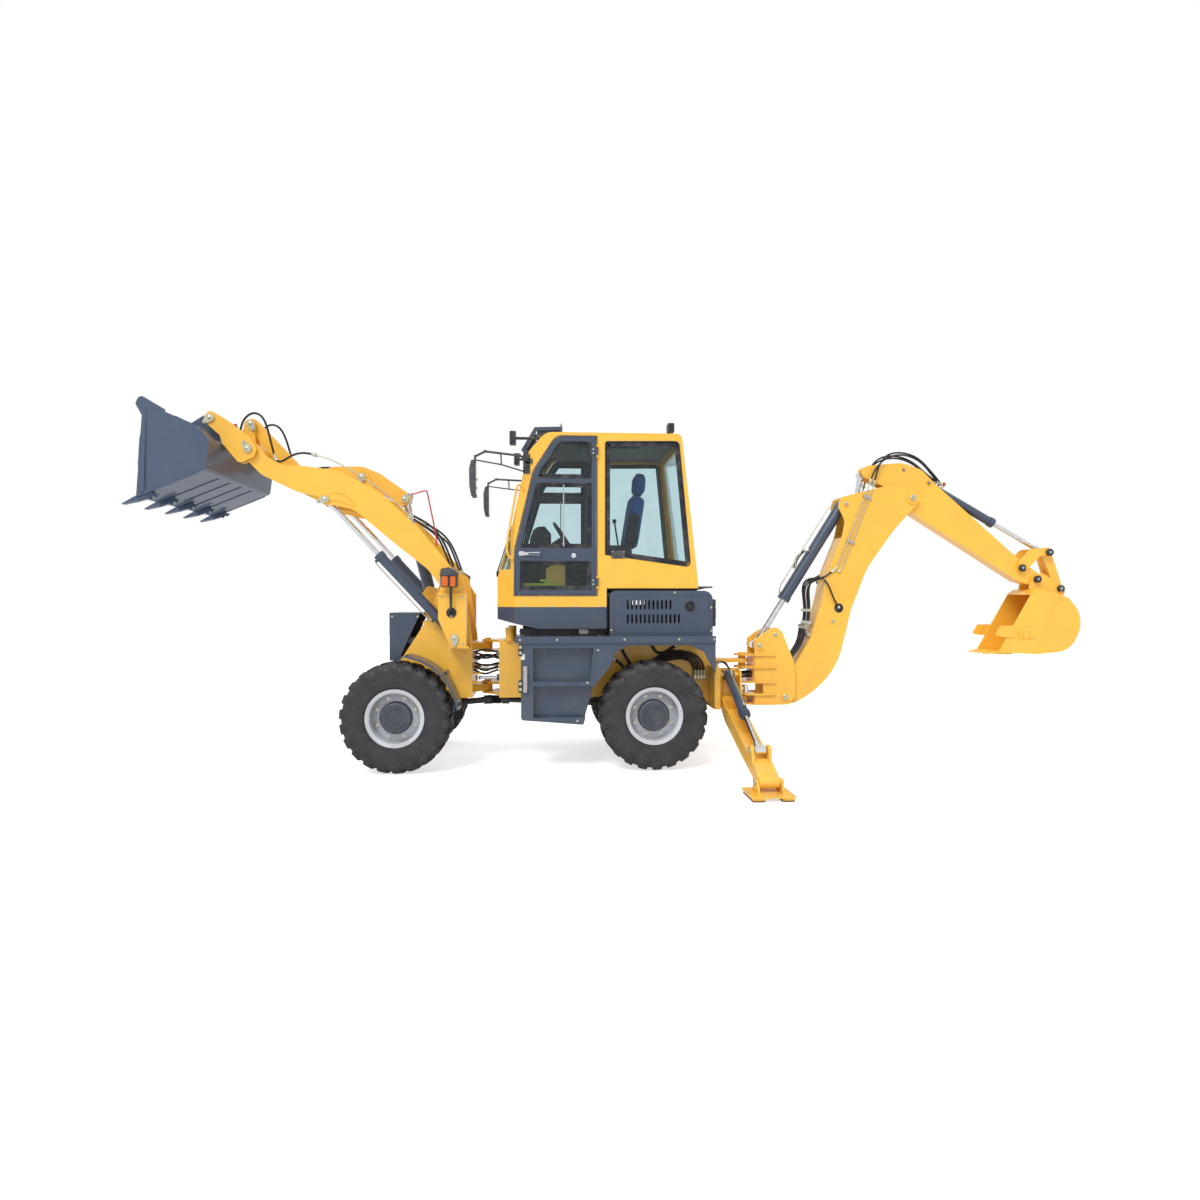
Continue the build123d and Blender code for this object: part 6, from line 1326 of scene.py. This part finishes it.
def make_backhoe(settings):
    """Pin caps, plug welds, pipes, clamps and hoses of the swing post, boom, dipper and digging bucket."""
    spots = Shape()
    for side, hand, out in HANDS:
        for x, z in PLUG_WELDS:
            spots.lathe((x, side * BOOM_SIDE, z), out,
                [(24, -1), (24, 0.6), (20, 2.2), (17, 0.9), (8, 0.9)], 28)
        for k, line in enumerate(([(-3544, 2372), (-3640, 2425), (-3744, 2456), (-3775, 2400),
                (-3766, 2234), (-3801, 2189), (-3835, 2234)], [(-3308, 1829), (-3359, 1829), (-3401, 1690),
                (-3458, 1662), (-3529, 1726)])):
            weld(f"boom_scarf_{k}_{hand}", "boom", [(x, side * BOOM_SIDE, z) for x, z in line],
                "yellow_enamel", 6)
    spots.place("plug_welds", "yellow_enamel", "boom", 0)
    boom_bolts, post_bolts, dipper_bolts = [], [], []
    caps = {name: Shape() for name in ("boom", "swing_post", "dipper", "guide_link", "backhoe_bucket")}
    for side, _, out in HANDS:
        for body, x, z, y, radius in (("boom", -4230, 2800, 154, 34), ("boom", -3480, 2730, 140, 22),
                ("boom", -3330, 1440, 130, 20), ("swing_post", -2780, 620, 200, 30),
                ("swing_post", -2500, 1180, 192, 24), ("swing_post", -2677, 1297, 178, 22),
                ("dipper", -4440, 2975, 90, 18), ("dipper", -4156, 3117, 80, 18)):
            caps[body].lathe((x, side * y, z), out,
                [(radius, -1), (radius, 5), (radius - 4, 8), (6, 8)], 28)
            target = {"boom": boom_bolts, "swing_post": post_bolts, "dipper": dipper_bolts}[body]
            target.append(((x, side * (y + 8), z), out))
        for body, x, z, y in (("dipper", -5500, 2030, 130), ("dipper", -5670, 1905, 142),
                ("guide_link", -5815, 2205, 136), ("backhoe_bucket", -5950, 1800, 128)):
            caps[body].lathe((x, side * y, z), out,
                [(40, -22), (40, 4), (36, 8), (22, 8), (20, 5), (8, 5)], 32)
    for body, shape in caps.items():
        finish = "moulded_black" if body in ("dipper", "guide_link", "backhoe_bucket") else "plated_zinc"
        settle(shape.finish(f"pin_caps_{body}", finish, 0.0006), body, "rod_chrome")
    bolts("boom_pin_bolts", "boom", boom_bolts, 26)
    bolts("post_pin_bolts", "swing_post", post_bolts, 26)
    bolts("dipper_pin_bolts", "dipper", dipper_bolts, 18)
    bolts("dipper_tip_bolts", "dipper", [((x, side * (y + 5), z), out) for side, _, out in HANDS
        for x, z, y in ((-5500, 2030, 130), (-5670, 1905, 142))], 24, "plain_steel")
    bolts("guide_tip_bolts", "guide_link", [((-5815, side * 141, 2205), out) for side, _, out in HANDS],
        24, "plain_steel")
    bolts("bucket_pin_bolts", "backhoe_bucket", [((-5950, side * 133, 1800), out)
        for side, _, out in HANDS], 24, "plain_steel")
    # two steel pipes up each side of the boom, in clamps, and the hoses at both ends of them
    for side, hand, out in HANDS:
        for k, line in enumerate(([(-3345, 2005), (-3380, 2040), (-3400, 2090), (-3526, 2400),
                (-3660, 2740), (-3705, 2850), (-3745, 2960)], [(-3390, 1975), (-3424, 2010), (-3446, 2060),
                (-3572, 2375), (-3706, 2715), (-3750, 2830), (-3790, 2945)])):
            pipe(f"boom_pipe_{k}_{hand}", "boom", [(x, side * BOOM_PIPE_SIDE, z) for x, z in line], 7)
        clamp = Shape()
        for x, z in ((-3712, 2800), (-3520, 2310)):
            clamp.plate(rounded([(x - 44, z - 30), (x + 44, z + 6), (x + 36, z + 30), (x - 52, z - 6)], 5),
                "y", side * BOOM_SIDE, side * 154)
        clamp.place(f"boom_clamps_{hand}", "plain_steel", "boom", 0.0015)
        ring = Shape().lathe((-3397, side * 128, 1585), out,
            [(43, 0), (50, 3), (50, 7), (42, 9), (30, 8), (30, 2)], 36)
        ring.place(f"boom_grommet_{hand}", "moulded_black", "boom", 0)
        hose(f"grommet_hose_{hand}", "boom", sided(side, (-3215, 104, 1905), (-3240, 150, 1890),
            (-3275, 166, 1830), (-3310, 172, 1730), (-3350, 168, 1640), (-3392, 150, 1592),
            (-3397, 120, 1585)), settings.hose - 2)
        arc = ("boom", "dipper", at(-3860, 0, 3000), at(-4330, 0, 3150))
        for k, lift in enumerate((0, 34)):
            hose(f"boom_top_hose_{k}_{hand}", arc, sided(side,
                (-3745 - k * 45, BOOM_PIPE_SIDE, 2960 - k * 15), (-3770 - k * 40, 140, 3040),
                (-3830 - k * 30, 128, 3150 + lift), (-3960, 112, 3260 + lift),
                (-4150, 100, 3290 + lift * 0.6), (-4330, 88, 3225 + lift * 0.6),
                (-4450, 70, 3110 + lift * 0.4), (-4540 - k * 30, 40, 3010 + k * 6),
                (-4585 - k * 30, 22, 2975 - k * 14)), settings.hose - 1)
    # hose bundle that climbs from the post into the boom, with its couplings
    climb = ("swing_post", "boom", at(-2860, 0, 1000), at(-3020, 0, 1250))
    for k, y in enumerate((96, 64, 32, -32, -64, -96)):
        hose(f"bundle_low_{k}", climb, [(-2560, y * 0.7, 900), (-2700, y * 0.8, 930),
            (-2860, y * 0.9, 1010), (-2960, y, 1130), (-3020, y, 1240), (-3056 + abs(y) * 0.2, y, 1400)],
            settings.hose - 1)
        hose(f"bundle_high_{k}", "boom", [(-3062, y, 1400), (-3078, y, 1480), (-3090, y, 1600),
            (-3060, y * 1.15, 1720 + abs(y) * 0.8), (-3095, y * 1.3, 1840 + abs(y) * 0.5),
            (-3170, y * 1.3, 1880 + abs(y) * 0.4),
            (-3240, (abs(y) * 0.15 + 128) * (1 if y > 0 else -1), 1915), (-3345, BOOM_PIPE_SIDE
            if y > 0 else -BOOM_PIPE_SIDE, 2005)], settings.hose - 2)
    block = Shape()
    for z in (1290, 1425, 1560):
        block.box(-3100, -3050, -112, 112, z - 14, z + 14)
    block.place("bundle_clamps", "plated_zinc", "boom", 0.002)
    # the boom ram's side pipe and hoses, and the gland rings of three rams
    ram = (Vector(BOOM_RAM_PIN) - Vector(BOOM_RAM_EYE)).normalized()
    wide = Vector((ram.y, -ram.x)) * -1

    def ram_point(d, w, y=0):
        """A point so far along the boom ram from its eye, and so far out from its axis."""
        x, z = BOOM_RAM_EYE
        return (x + ram.x * d + wide.x * w, y, z + ram.y * d + wide.y * w)

    pipe("boom_ram_pipe", "boom_barrel", [ram_point(d, w) for d, w in ((40, 62), (40, 100), (90, 112),
        (600, 112), (1100, 112), (1170, 104), (1200, 70))], 6)
    for k, y in enumerate((34, -34)):
        hose(f"boom_ram_hose_{k}", "boom_barrel", [ram_point(880, 70, y), ram_point(820, 118, y),
            ram_point(720, 126, y), ram_point(640, 70, y * 2.2)], settings.hose - 3)
    rings = {"boom_barrel": (BOOM_RAM_EYE, BOOM_RAM_PIN, 1250, 70),
        "bucket_barrel": ((-4440, 2975), (-5815, 2205), 900, 56),
        "tilt_barrel": ((1050, 1770), (1300, 2740), 610, 70)}
    for body, (start, end, length, radius) in rings.items():
        way = (Vector(end) - Vector(start)).normalized()
        trim = Shape()
        for d in (length - 50, length - 28, length - 5):
            px, pz = start[0] + way.x * d, start[1] + way.y * d
            trim.lathe((px, 0, pz), (way.x, 0, way.y),
                [(radius - 4, -4), (radius, -3), (radius, 3), (radius - 4, 4)], 40)
        trim.place(f"gland_rings_{body}", "grey_enamel", body, 0)
    port = Shape()
    port.rod((-4545, 22, 2940), (-4590, 22, 3004), 13)
    port.rod((-4625, -22, 2900), (-4660, -22, 2962), 13)
    port.place("bucket_ram_ports", "plated_zinc", "bucket_barrel")
    cap = Shape().rod((-4655, -22, 2952), (-4676, -22, 2990), 17)
    cap.place("bucket_ram_cap", "red_cap", "bucket_barrel", 0.002)
    # digging bucket: side cutters' plates and bolts, cheek seams, tooth shanks
    for side, hand, out in HANDS:
        plate = Shape().plate(rounded([(-5387, 1356), (-5560, 1372), (-5560, 1252), (-5387, 1244)], 6), "y",
            side * 229, side * 243)
        plate.place(f"side_cutter_{hand}", "yellow_enamel", "backhoe_bucket", 0.0015)
        bolts(f"side_cutter_bolts_{hand}", "backhoe_bucket", [((x, side * 243, z), out)
            for x, z in ((-5430, 1318), (-5500, 1322), (-5430, 1278), (-5510, 1284))], 20, "yellow_enamel")
        weld(f"cheek_seam_{hand}", "backhoe_bucket", sided(side, (-5880, DIG_BUCKET_SIDE, 1770),
            (-5790, DIG_BUCKET_SIDE, 1560), (-5690, DIG_BUCKET_SIDE, 1330),
            (-5600, DIG_BUCKET_SIDE, 1100)), "yellow_enamel", 7)
        weld(f"ear_seam_{hand}", "backhoe_bucket", sided(side, (-5960, 110, 1705), (-5780, 110, 1752),
            (-5600, 110, 1795)), "yellow_enamel", 8)
    shanks = Shape()
    for y in (-165, 0, 165):
        shanks.plate([(-5340, 1070), (-5180, 1072), (-5100, 1078), (-5100, 1086), (-5340, 1086)], "y",
            y - 30, y + 30)
        shanks.plate([(-5300, 1106), (-5150, 1108), (-5080, 1100), (-5300, 1098)], "y", y - 28, y + 28)
    shanks.place("dig_tooth_shanks", "yellow_enamel", "backhoe_bucket", 0.003)
    # swing gear: hoses round the post's pin
    for k, (y, z) in enumerate(((60, 870), (0, 890), (-60, 870), (40, 835), (-40, 835))):
        hose(f"swing_hose_{k}", ("chassis", "swing_post", at(-2250, 0, 860), at(-2450, 0, 860)), [
            (-1965, y * 2, z), (-2080, y * 2.1, z), (-2200, y * 2.2 + 30, z), (-2300, y + 90, z),
            (-2400, y * 1.1 + 60, z), (-2520, y, z + 10)], settings.hose)


# -------- legs
LEG_PIN, LEG_RAM_PIN, LEG_EYE, FOOT_EYE = (600, 640), (560, 900), (1760, 348), (2040, 130)


def make_legs(settings):
    """Pin caps, hoses, ports and seams of the two stabiliser legs."""
    for side, hand, _ in HANDS:
        leg, barrel = f"leg_{hand}", f"leg_barrel_{hand}"
        way_back = (-1, 0, 0)
        caps = Shape()
        for y, z in (LEG_PIN, LEG_RAM_PIN):
            caps.lathe((-2180, side * y, z), way_back, [(34, -2), (34, 8), (28, 12), (8, 12)], 28)
        caps.place(f"leg_pin_caps_{hand}", "plated_zinc", "chassis", 0.0008)
        bolts(f"leg_pin_bolts_{hand}", "chassis", [((-2192, side * y, z), way_back)
            for y, z in (LEG_PIN, LEG_RAM_PIN)], 22)
        ends = Shape()
        for x, aim in ((-2160, -1), (-1980, 1)):
            for (y, z), step, foot in ((LEG_EYE, 0, -2), (FOOT_EYE, aim * 30, -4)):
                ends.lathe((x + step, side * y, z), (aim, 0, 0),
                    [(28, foot), (28, 6), (22, 10), (8, 10)], 28)
        ends.place(f"leg_eye_caps_{hand}", "plated_zinc", leg, 0.0008)
        bolts(f"leg_eye_bolts_{hand}", leg, [((x, side * LEG_EYE[0], LEG_EYE[1]), (aim, 0, 0))
            for x, aim in ((-2170, -1), (-1970, 1))], 20)
        start, end = Vector(LEG_RAM_PIN), Vector(LEG_EYE)
        along = (end - start).normalized()
        up = Vector((-along.y, along.x))

        def ram(d, w, x=-2070):
            """A point so far along the leg's ram from its pin, and so far above its axis."""
            p = start + along * d + up * w
            return (x, side * p.x, p.y)

        rings = Shape()
        for d in (716, 735, 754):
            rings.lathe(ram(d, 0), (0, side * along.x, along.y), [(52, -4), (56, -3), (56, 3), (52, 4)], 36)
        rings.rod(ram(690, 40), ram(690, 66), 13)
        rings.rod(ram(90, 40), ram(90, 66), 13)
        rings.place(f"leg_gland_{hand}", "grey_enamel", barrel, 0)
        pipe(f"leg_pipe_{hand}", barrel, [ram(690, 66), ram(690, 74), ram(600, 76), ram(300, 76),
            ram(130, 74)], 6)
        for k, d in enumerate((90, 120)):
            hose(f"leg_hose_{k}_{hand}", ("chassis", barrel, at(-2000, side * 540, 960),
                at(-2000, side * 600, 900)), [(-1970, side * (430 + k * 36), 1010),
                (-2000, side * (440 + k * 36), 1030), (-2030 - k * 20, side * (480 + k * 30), 1030),
                (-2060, side * (540 + k * 20), 1000), ram(d, 90), ram(d, 62)], settings.hose - 2)
        weld(f"leg_seam_{hand}", leg, [(-2160, side * y, z)
            for y, z in ((720, 570), (1100, 420), (1850, 155))], "yellow_enamel", 7)
        pads = Shape()
        for x in (-2195, -1945):
            pads.plate(tile(x - 54, x + 54, side * 1873, side * 2207, 6), "z", 2, 12)
        pads.place(f"pad_edges_{hand}", "moulded_black", f"foot_{hand}", 0.001)


# -------- inside the cab
SEAT_MIDDLE, SEAT_DECK = -905, 1820


def pad(name, centre, size, lean, finish, puff):
    """A stuffed cover: a rounded block, swollen by a cloth run, then smoothed."""
    width, depth, height = (value / 1000 for value in size)
    mesh = bmesh.new()
    bmesh.ops.create_cube(mesh, size=1)
    for vertex in mesh.verts:
        vertex.co = Vector((vertex.co.x * depth, vertex.co.y * width, vertex.co.z * height))
    bmesh.ops.subdivide_edges(mesh, edges=mesh.edges, cuts=14, use_grid_fill=True)
    bmesh.ops.bevel(mesh, geom=[e for e in mesh.edges if e.calc_face_angle(0) > 1], offset=0.015,
        segments=2, affect="EDGES")
    turn = Matrix.Rotation(math.radians(lean), 3, "Y")
    for vertex in mesh.verts:
        vertex.co = turn @ vertex.co + at(*centre)
    data = bpy.data.meshes.new(name)
    mesh.to_mesh(data)
    mesh.free()
    piece = linked(name, data)
    data.materials.append(FINISHES[finish])
    start = [vertex.co.copy() for vertex in data.vertices]
    cloth = piece.modifiers.new("swell", "CLOTH")
    cloth.settings.use_pressure = True
    cloth.settings.uniform_pressure_force = 4
    cloth.settings.effector_weights.gravity = 0
    cloth.settings.quality = 4
    scene = bpy.context.scene
    for number in range(1, 21):
        scene.frame_set(number)
    graph = bpy.context.evaluated_depsgraph_get()
    swollen = [vertex.co.copy() for vertex in piece.evaluated_get(graph).data.vertices]
    piece.modifiers.remove(cloth)
    scene.frame_set(1)
    for vertex, old, new in zip(data.vertices, start, swollen):
        step = new - old
        if step.length > puff:
            step = step.normalized() * puff
        vertex.co = old + step
    for polygon in data.polygons:
        polygon.use_smooth = True
    smooth = piece.modifiers.new("smooth", "SUBSURF")
    smooth.levels = smooth.render_levels = 1
    return piece


def make_seat(settings):
    """The sprung seat in blue cloth with dark flanks, and the cab's dashboard, trays and linings."""
    x, deck = SEAT_MIDDLE, SEAT_DECK
    cushion = pad("seat_cushion", (x + 10, 0, deck + 350), (450, 450, 95), -3, "seat_cloth", 0.016)
    back = pad("seat_back", (x - 232, 0, deck + 690), (430, 120, 560), -9, "seat_cloth", 0.018)
    rest = pad("seat_head_rest", (x - 298, 0, deck + 1105), (250, 105, 205), -4, "seat_cloth", 0.016)
    for piece in (cushion, back, rest):
        settle(piece, "chassis", "seat_fabric")
    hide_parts("seat")
    for side, hand, _ in HANDS:
        flank = pad(f"seat_flank_{hand}", (x - 205, side * 218, deck + 600), (60, 100, 330), -9,
            "seat_side_cloth", 0.010)
        settle(flank, "chassis", "seat_fabric")
    base = Shape()
    base.plate(rounded([(x - 260, deck + 1), (x + 95, deck + 1), (x + 80, deck + 60), (x - 250, deck + 60)],
        8), "y", -185, 185)
    for k in range(7):
        low = deck + 60 + k * 30
        base.plate(rounded([(x - 245, low), (x + 75, low), (x + 85, low + 15), (x + 75, low + 30),
            (x - 245, low + 30), (x - 255, low + 15)], 6), "y", -170, 170)
    base.plate(rounded([(x - 200, deck + 270), (x + 210, deck + 274), (x + 210, deck + 300),
        (x - 200, deck + 300)], 6), "y", -205, 205)
    for y in (-60, 60):
        base.rod((x - 270, y, deck + 950), (x - 296, y, deck + 1020), 7)
    base.place("seat_base", "moulded_black", "chassis", 0.002)
    dash = Shape()
    dash.plate(rounded([(70, 1860), (200, 1900), (170, 2060), (60, 2090)], 20), "y", -420, 420)
    dash.plate(rounded([(-20, 1480), (40, 1480), (30, 1560), (-60, 1560)], 8), "y", -240, -150)
    dash.plate(rounded([(-20, 1480), (40, 1480), (30, 1560), (-60, 1560)], 8), "y", 150, 240)
    for y in (-120, 120):
        dash.rod((-300, 0, 2290), (-345, y, 2300), 8)
    dash.place("dashboard", "moulded_black", "chassis", 0.004)
    box = Shape().plate(rounded([(-400, 1480), (-190, 1480), (-194, 1990), (-250, 2030), (-388, 2030)],
        12), "y", 260, 470)
    box.place("tool_box", "yellow_enamel", "chassis", 0.004)
    tray = Shape()
    tray.plate(rounded([(-340, 1812), (56, 1812), (64, 1862), (50, 1862), (42, 1842), (-326, 1842),
        (-334, 1862), (-348, 1862)], 3), "y", 480, 590)
    tray.plate(tile(-240, -130, 1858, 1884, 10), "y", 485, 520)
    tray.box(-190, -180, 500, 510, 1840, 1860)
    tray.plate([(-170, 1480), (-130, 1480), (-130, 1820), (-170, 1820)], "y", 510, 550)
    tray.place("floor_tray", "lime_plastic", "chassis", 0.002)
    hump = Shape()
    hump.plate(rounded([(-20, 2150), (-24, 2330), (-60, 2424), (-107, 2456), (-180, 2462), (-250, 2380),
        (-250, 2296), (-150, 2150)], 14), "y", -110, 110)
    hump.plate(rounded([(-60, 1480), (-200, 1480), (-180, 2300), (-80, 2300)], 10), "y", -70, 70)
    hump.place("column_cover", "moulded_black", "chassis", 0.006)
    panel = Shape()
    panel.plate(rounded([(-670, 1540), (60, 1540), (50, 2130), (-670, 2130)], 30), "y", -668, -650)
    for z in (1640, 1740, 1840, 1940, 2040):
        panel.plate(tile(-640, 20, z - 14, z + 14, 12), "y", -652, -640)
    panel.plate(tile(-700, -640, 1480, 1800, 8), "y", -300, 300)
    panel.place("inner_panel", "moulded_black", "chassis", 0.003)
    lining = Shape()
    lining.plate(rounded([(-1530, 3292), (-225, 3292), (-240, 3317), (-1530, 3317)], 8), "y", -660, 660)
    lining.plate(tile(-1180, -560, 3268, 3296, 8), "y", -300, 300)
    lining.place("roof_lining", "lining_cloth", "chassis", 0.004)


# -------- stage
CAMERA_PLACE, CAMERA_TURN = (-174, 8700, 1672), 4


def make_stage(settings):
    """A pale floor, soft light from all round, a soft key light, and the camera."""
    scene = bpy.context.scene
    scene.view_settings.view_transform = "Standard"
    finish = Finish("pale_floor", Roughness=0.9)
    finish.set(Base_Color=finish.mix(finish.cloud(3.0), (0.80, 0.80, 0.80), (0.82, 0.82, 0.82)))
    light_path = finish.tree.nodes.new("ShaderNodeLightPath")
    seen = Value(finish, light_path.outputs["Is Camera Ray"])
    glow = finish.add("ShaderNodeEmission", None, {"Color": (1.0, 1.0, 1.0), "Strength": 0.62})
    both = finish.add("ShaderNodeAddShader", None, {0: Value(finish, finish.shader.outputs[0]), 1: glow})
    mixed = finish.add("ShaderNodeMixShader", None,
        {0: seen, 1: Value(finish, finish.shader.outputs[0]), 2: both})
    finish.tree.links.new(mixed.socket, finish.end.inputs[0])
    half = settings.floor / 2
    mesh = bpy.data.meshes.new("floor")
    mesh.from_pydata([(-half, -half, 0), (half, -half, 0), (half, half, 0), (-half, half, 0)], [],
        [(0, 1, 2, 3)])
    mesh.materials.append(finish.material)
    floor = linked("floor", mesh)
    world = bpy.data.worlds.new("even_sky")
    scene.world = world
    world.use_nodes = True
    sky = Graph(world.node_tree)
    sky.tree.nodes.clear()
    rays = sky.tree.nodes.new("ShaderNodeLightPath")
    camera_ray = Value(sky, rays.outputs["Is Camera Ray"])
    glossy_ray = Value(sky, rays.outputs["Is Glossy Ray"])
    through = Value(sky, rays.outputs["Is Transmission Ray"])
    white = sky.add("ShaderNodeMath", {"operation": "MAXIMUM"}, {0: camera_ray, 1: through})
    strength = settings.sky + white * (1.0 - settings.sky) + glossy_ray * 0.1
    background = sky.add("ShaderNodeBackground", None, {"Color": (1.0, 1.0, 1.0), "Strength": strength})
    end = sky.tree.nodes.new("ShaderNodeOutputWorld")
    sky.tree.links.new(background.socket, end.inputs[0])
    lamp = bpy.data.lights.new("key_light", "SUN")
    lamp.energy = settings.sun
    lamp.angle = math.radians(25)
    key = linked("key_light", lamp)
    key.rotation_euler = Vector((-0.45, -0.75, -1.0)).to_track_quat("-Z", "Y").to_euler()
    data = bpy.data.cameras.new("camera")
    data.sensor_width = 36
    data.lens = settings.lens
    data.clip_end = 200
    camera = linked("camera", data)
    turn = math.radians(CAMERA_TURN)
    camera.location = at(*CAMERA_PLACE)
    camera.rotation_euler = Vector((-math.sin(turn), -math.cos(turn), 0)).to_track_quat("-Z",
        "Y").to_euler()
    scene.camera = camera


# -------- operators and panel
class BACKHOE_OT_stage(bpy.types.Operator):
    """Adds the floor, the light and the camera"""

    bl_idname = "backhoe.stage"
    bl_label = "Stage"

    def execute(self, context):
        make_stage(context.scene.backhoe_stage)
        return {"FINISHED"}


class BACKHOE_OT_finishes(bpy.types.Operator):
    """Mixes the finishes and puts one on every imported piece"""

    bl_idname = "backhoe.finishes"
    bl_label = "Finishes"

    def execute(self, context):
        make_finishes(context.scene.backhoe_paint)
        return {"FINISHED"}


class BACKHOE_OT_wheels(bpy.types.Operator):
    """Makes the tyres, hub caps and wheel bolts"""

    bl_idname = "backhoe.wheels"
    bl_label = "Wheels"

    def execute(self, context):
        make_wheels(context.scene.backhoe_fittings)
        return {"FINISHED"}


class BACKHOE_OT_loader(bpy.types.Operator):
    """Makes the fittings of the loader arms, coupler and bucket"""

    bl_idname = "backhoe.loader"
    bl_label = "Loader fittings"

    def execute(self, context):
        make_loader(context.scene.backhoe_fittings)
        return {"FINISHED"}


class BACKHOE_OT_front(bpy.types.Operator):
    """Makes the front lamps, tower details and articulation hoses"""

    bl_idname = "backhoe.front"
    bl_label = "Front frame fittings"

    def execute(self, context):
        make_front(context.scene.backhoe_fittings)
        return {"FINISHED"}


class BACKHOE_OT_cab(bpy.types.Operator):
    """Makes the cab's glazing trims, door furniture, rails and lamps"""

    bl_idname = "backhoe.cab"
    bl_label = "Cab fittings"

    def execute(self, context):
        make_cab(context.scene.backhoe_fittings)
        return {"FINISHED"}


class BACKHOE_OT_rear(bpy.types.Operator):
    """Makes the hood's, steps' and rear arch's fittings"""

    bl_idname = "backhoe.rear"
    bl_label = "Rear fittings"

    def execute(self, context):
        make_rear(context.scene.backhoe_fittings)
        return {"FINISHED"}


class BACKHOE_OT_backhoe(bpy.types.Operator):
    """Makes the backhoe's pipes, hoses, pin caps and welds"""

    bl_idname = "backhoe.digger"
    bl_label = "Backhoe fittings"

    def execute(self, context):
        make_backhoe(context.scene.backhoe_fittings)
        return {"FINISHED"}


class BACKHOE_OT_legs(bpy.types.Operator):
    """Makes the stabiliser legs' caps, hoses and pads"""

    bl_idname = "backhoe.legs"
    bl_label = "Leg fittings"

    def execute(self, context):
        make_legs(context.scene.backhoe_fittings)
        return {"FINISHED"}


class BACKHOE_OT_seat(bpy.types.Operator):
    """Makes the driver's seat and the cab's inner trims"""

    bl_idname = "backhoe.seat"
    bl_label = "Seat and dashboard"

    def execute(self, context):
        make_seat(context.scene.backhoe_fittings)
        return {"FINISHED"}


STEPS = (BACKHOE_OT_stage, BACKHOE_OT_finishes, BACKHOE_OT_wheels, BACKHOE_OT_loader, BACKHOE_OT_front,
         BACKHOE_OT_cab, BACKHOE_OT_rear, BACKHOE_OT_backhoe, BACKHOE_OT_legs, BACKHOE_OT_seat)


class BACKHOE_PT_panel(bpy.types.Panel):
    """Lists the machine's settings and its steps"""

    bl_idname = "BACKHOE_PT_panel"
    bl_label = "Backhoe Loader"
    bl_space_type = "VIEW_3D"
    bl_region_type = "UI"
    bl_category = "Backhoe Loader"

    def draw(self, context):
        scene = context.scene
        for group in (scene.backhoe_paint, scene.backhoe_fittings, scene.backhoe_stage):
            box = self.layout.box()
            for key in group.bl_rna.properties.keys():
                if key not in ("rna_type", "name"):
                    box.prop(group, key)
        for step in STEPS:
            self.layout.operator(step.bl_idname)


GROUPS = {"backhoe_paint": BackhoePaint, "backhoe_fittings": BackhoeFittings, "backhoe_stage": BackhoeStage}


def register():
    for thing in (*GROUPS.values(), *STEPS, BACKHOE_PT_panel):
        bpy.utils.register_class(thing)
    for name, group in GROUPS.items():
        setattr(bpy.types.Scene, name, bpy.props.PointerProperty(type=group))


def unregister():
    for name in GROUPS:
        delattr(bpy.types.Scene, name)
    for thing in (BACKHOE_PT_panel, *reversed(STEPS), *GROUPS.values()):
        bpy.utils.unregister_class(thing)


def main():
    register()
    for step in STEPS:
        family, action = step.bl_idname.split(".")
        getattr(getattr(bpy.ops, family), action)()


if __name__ == "__main__":
    main()
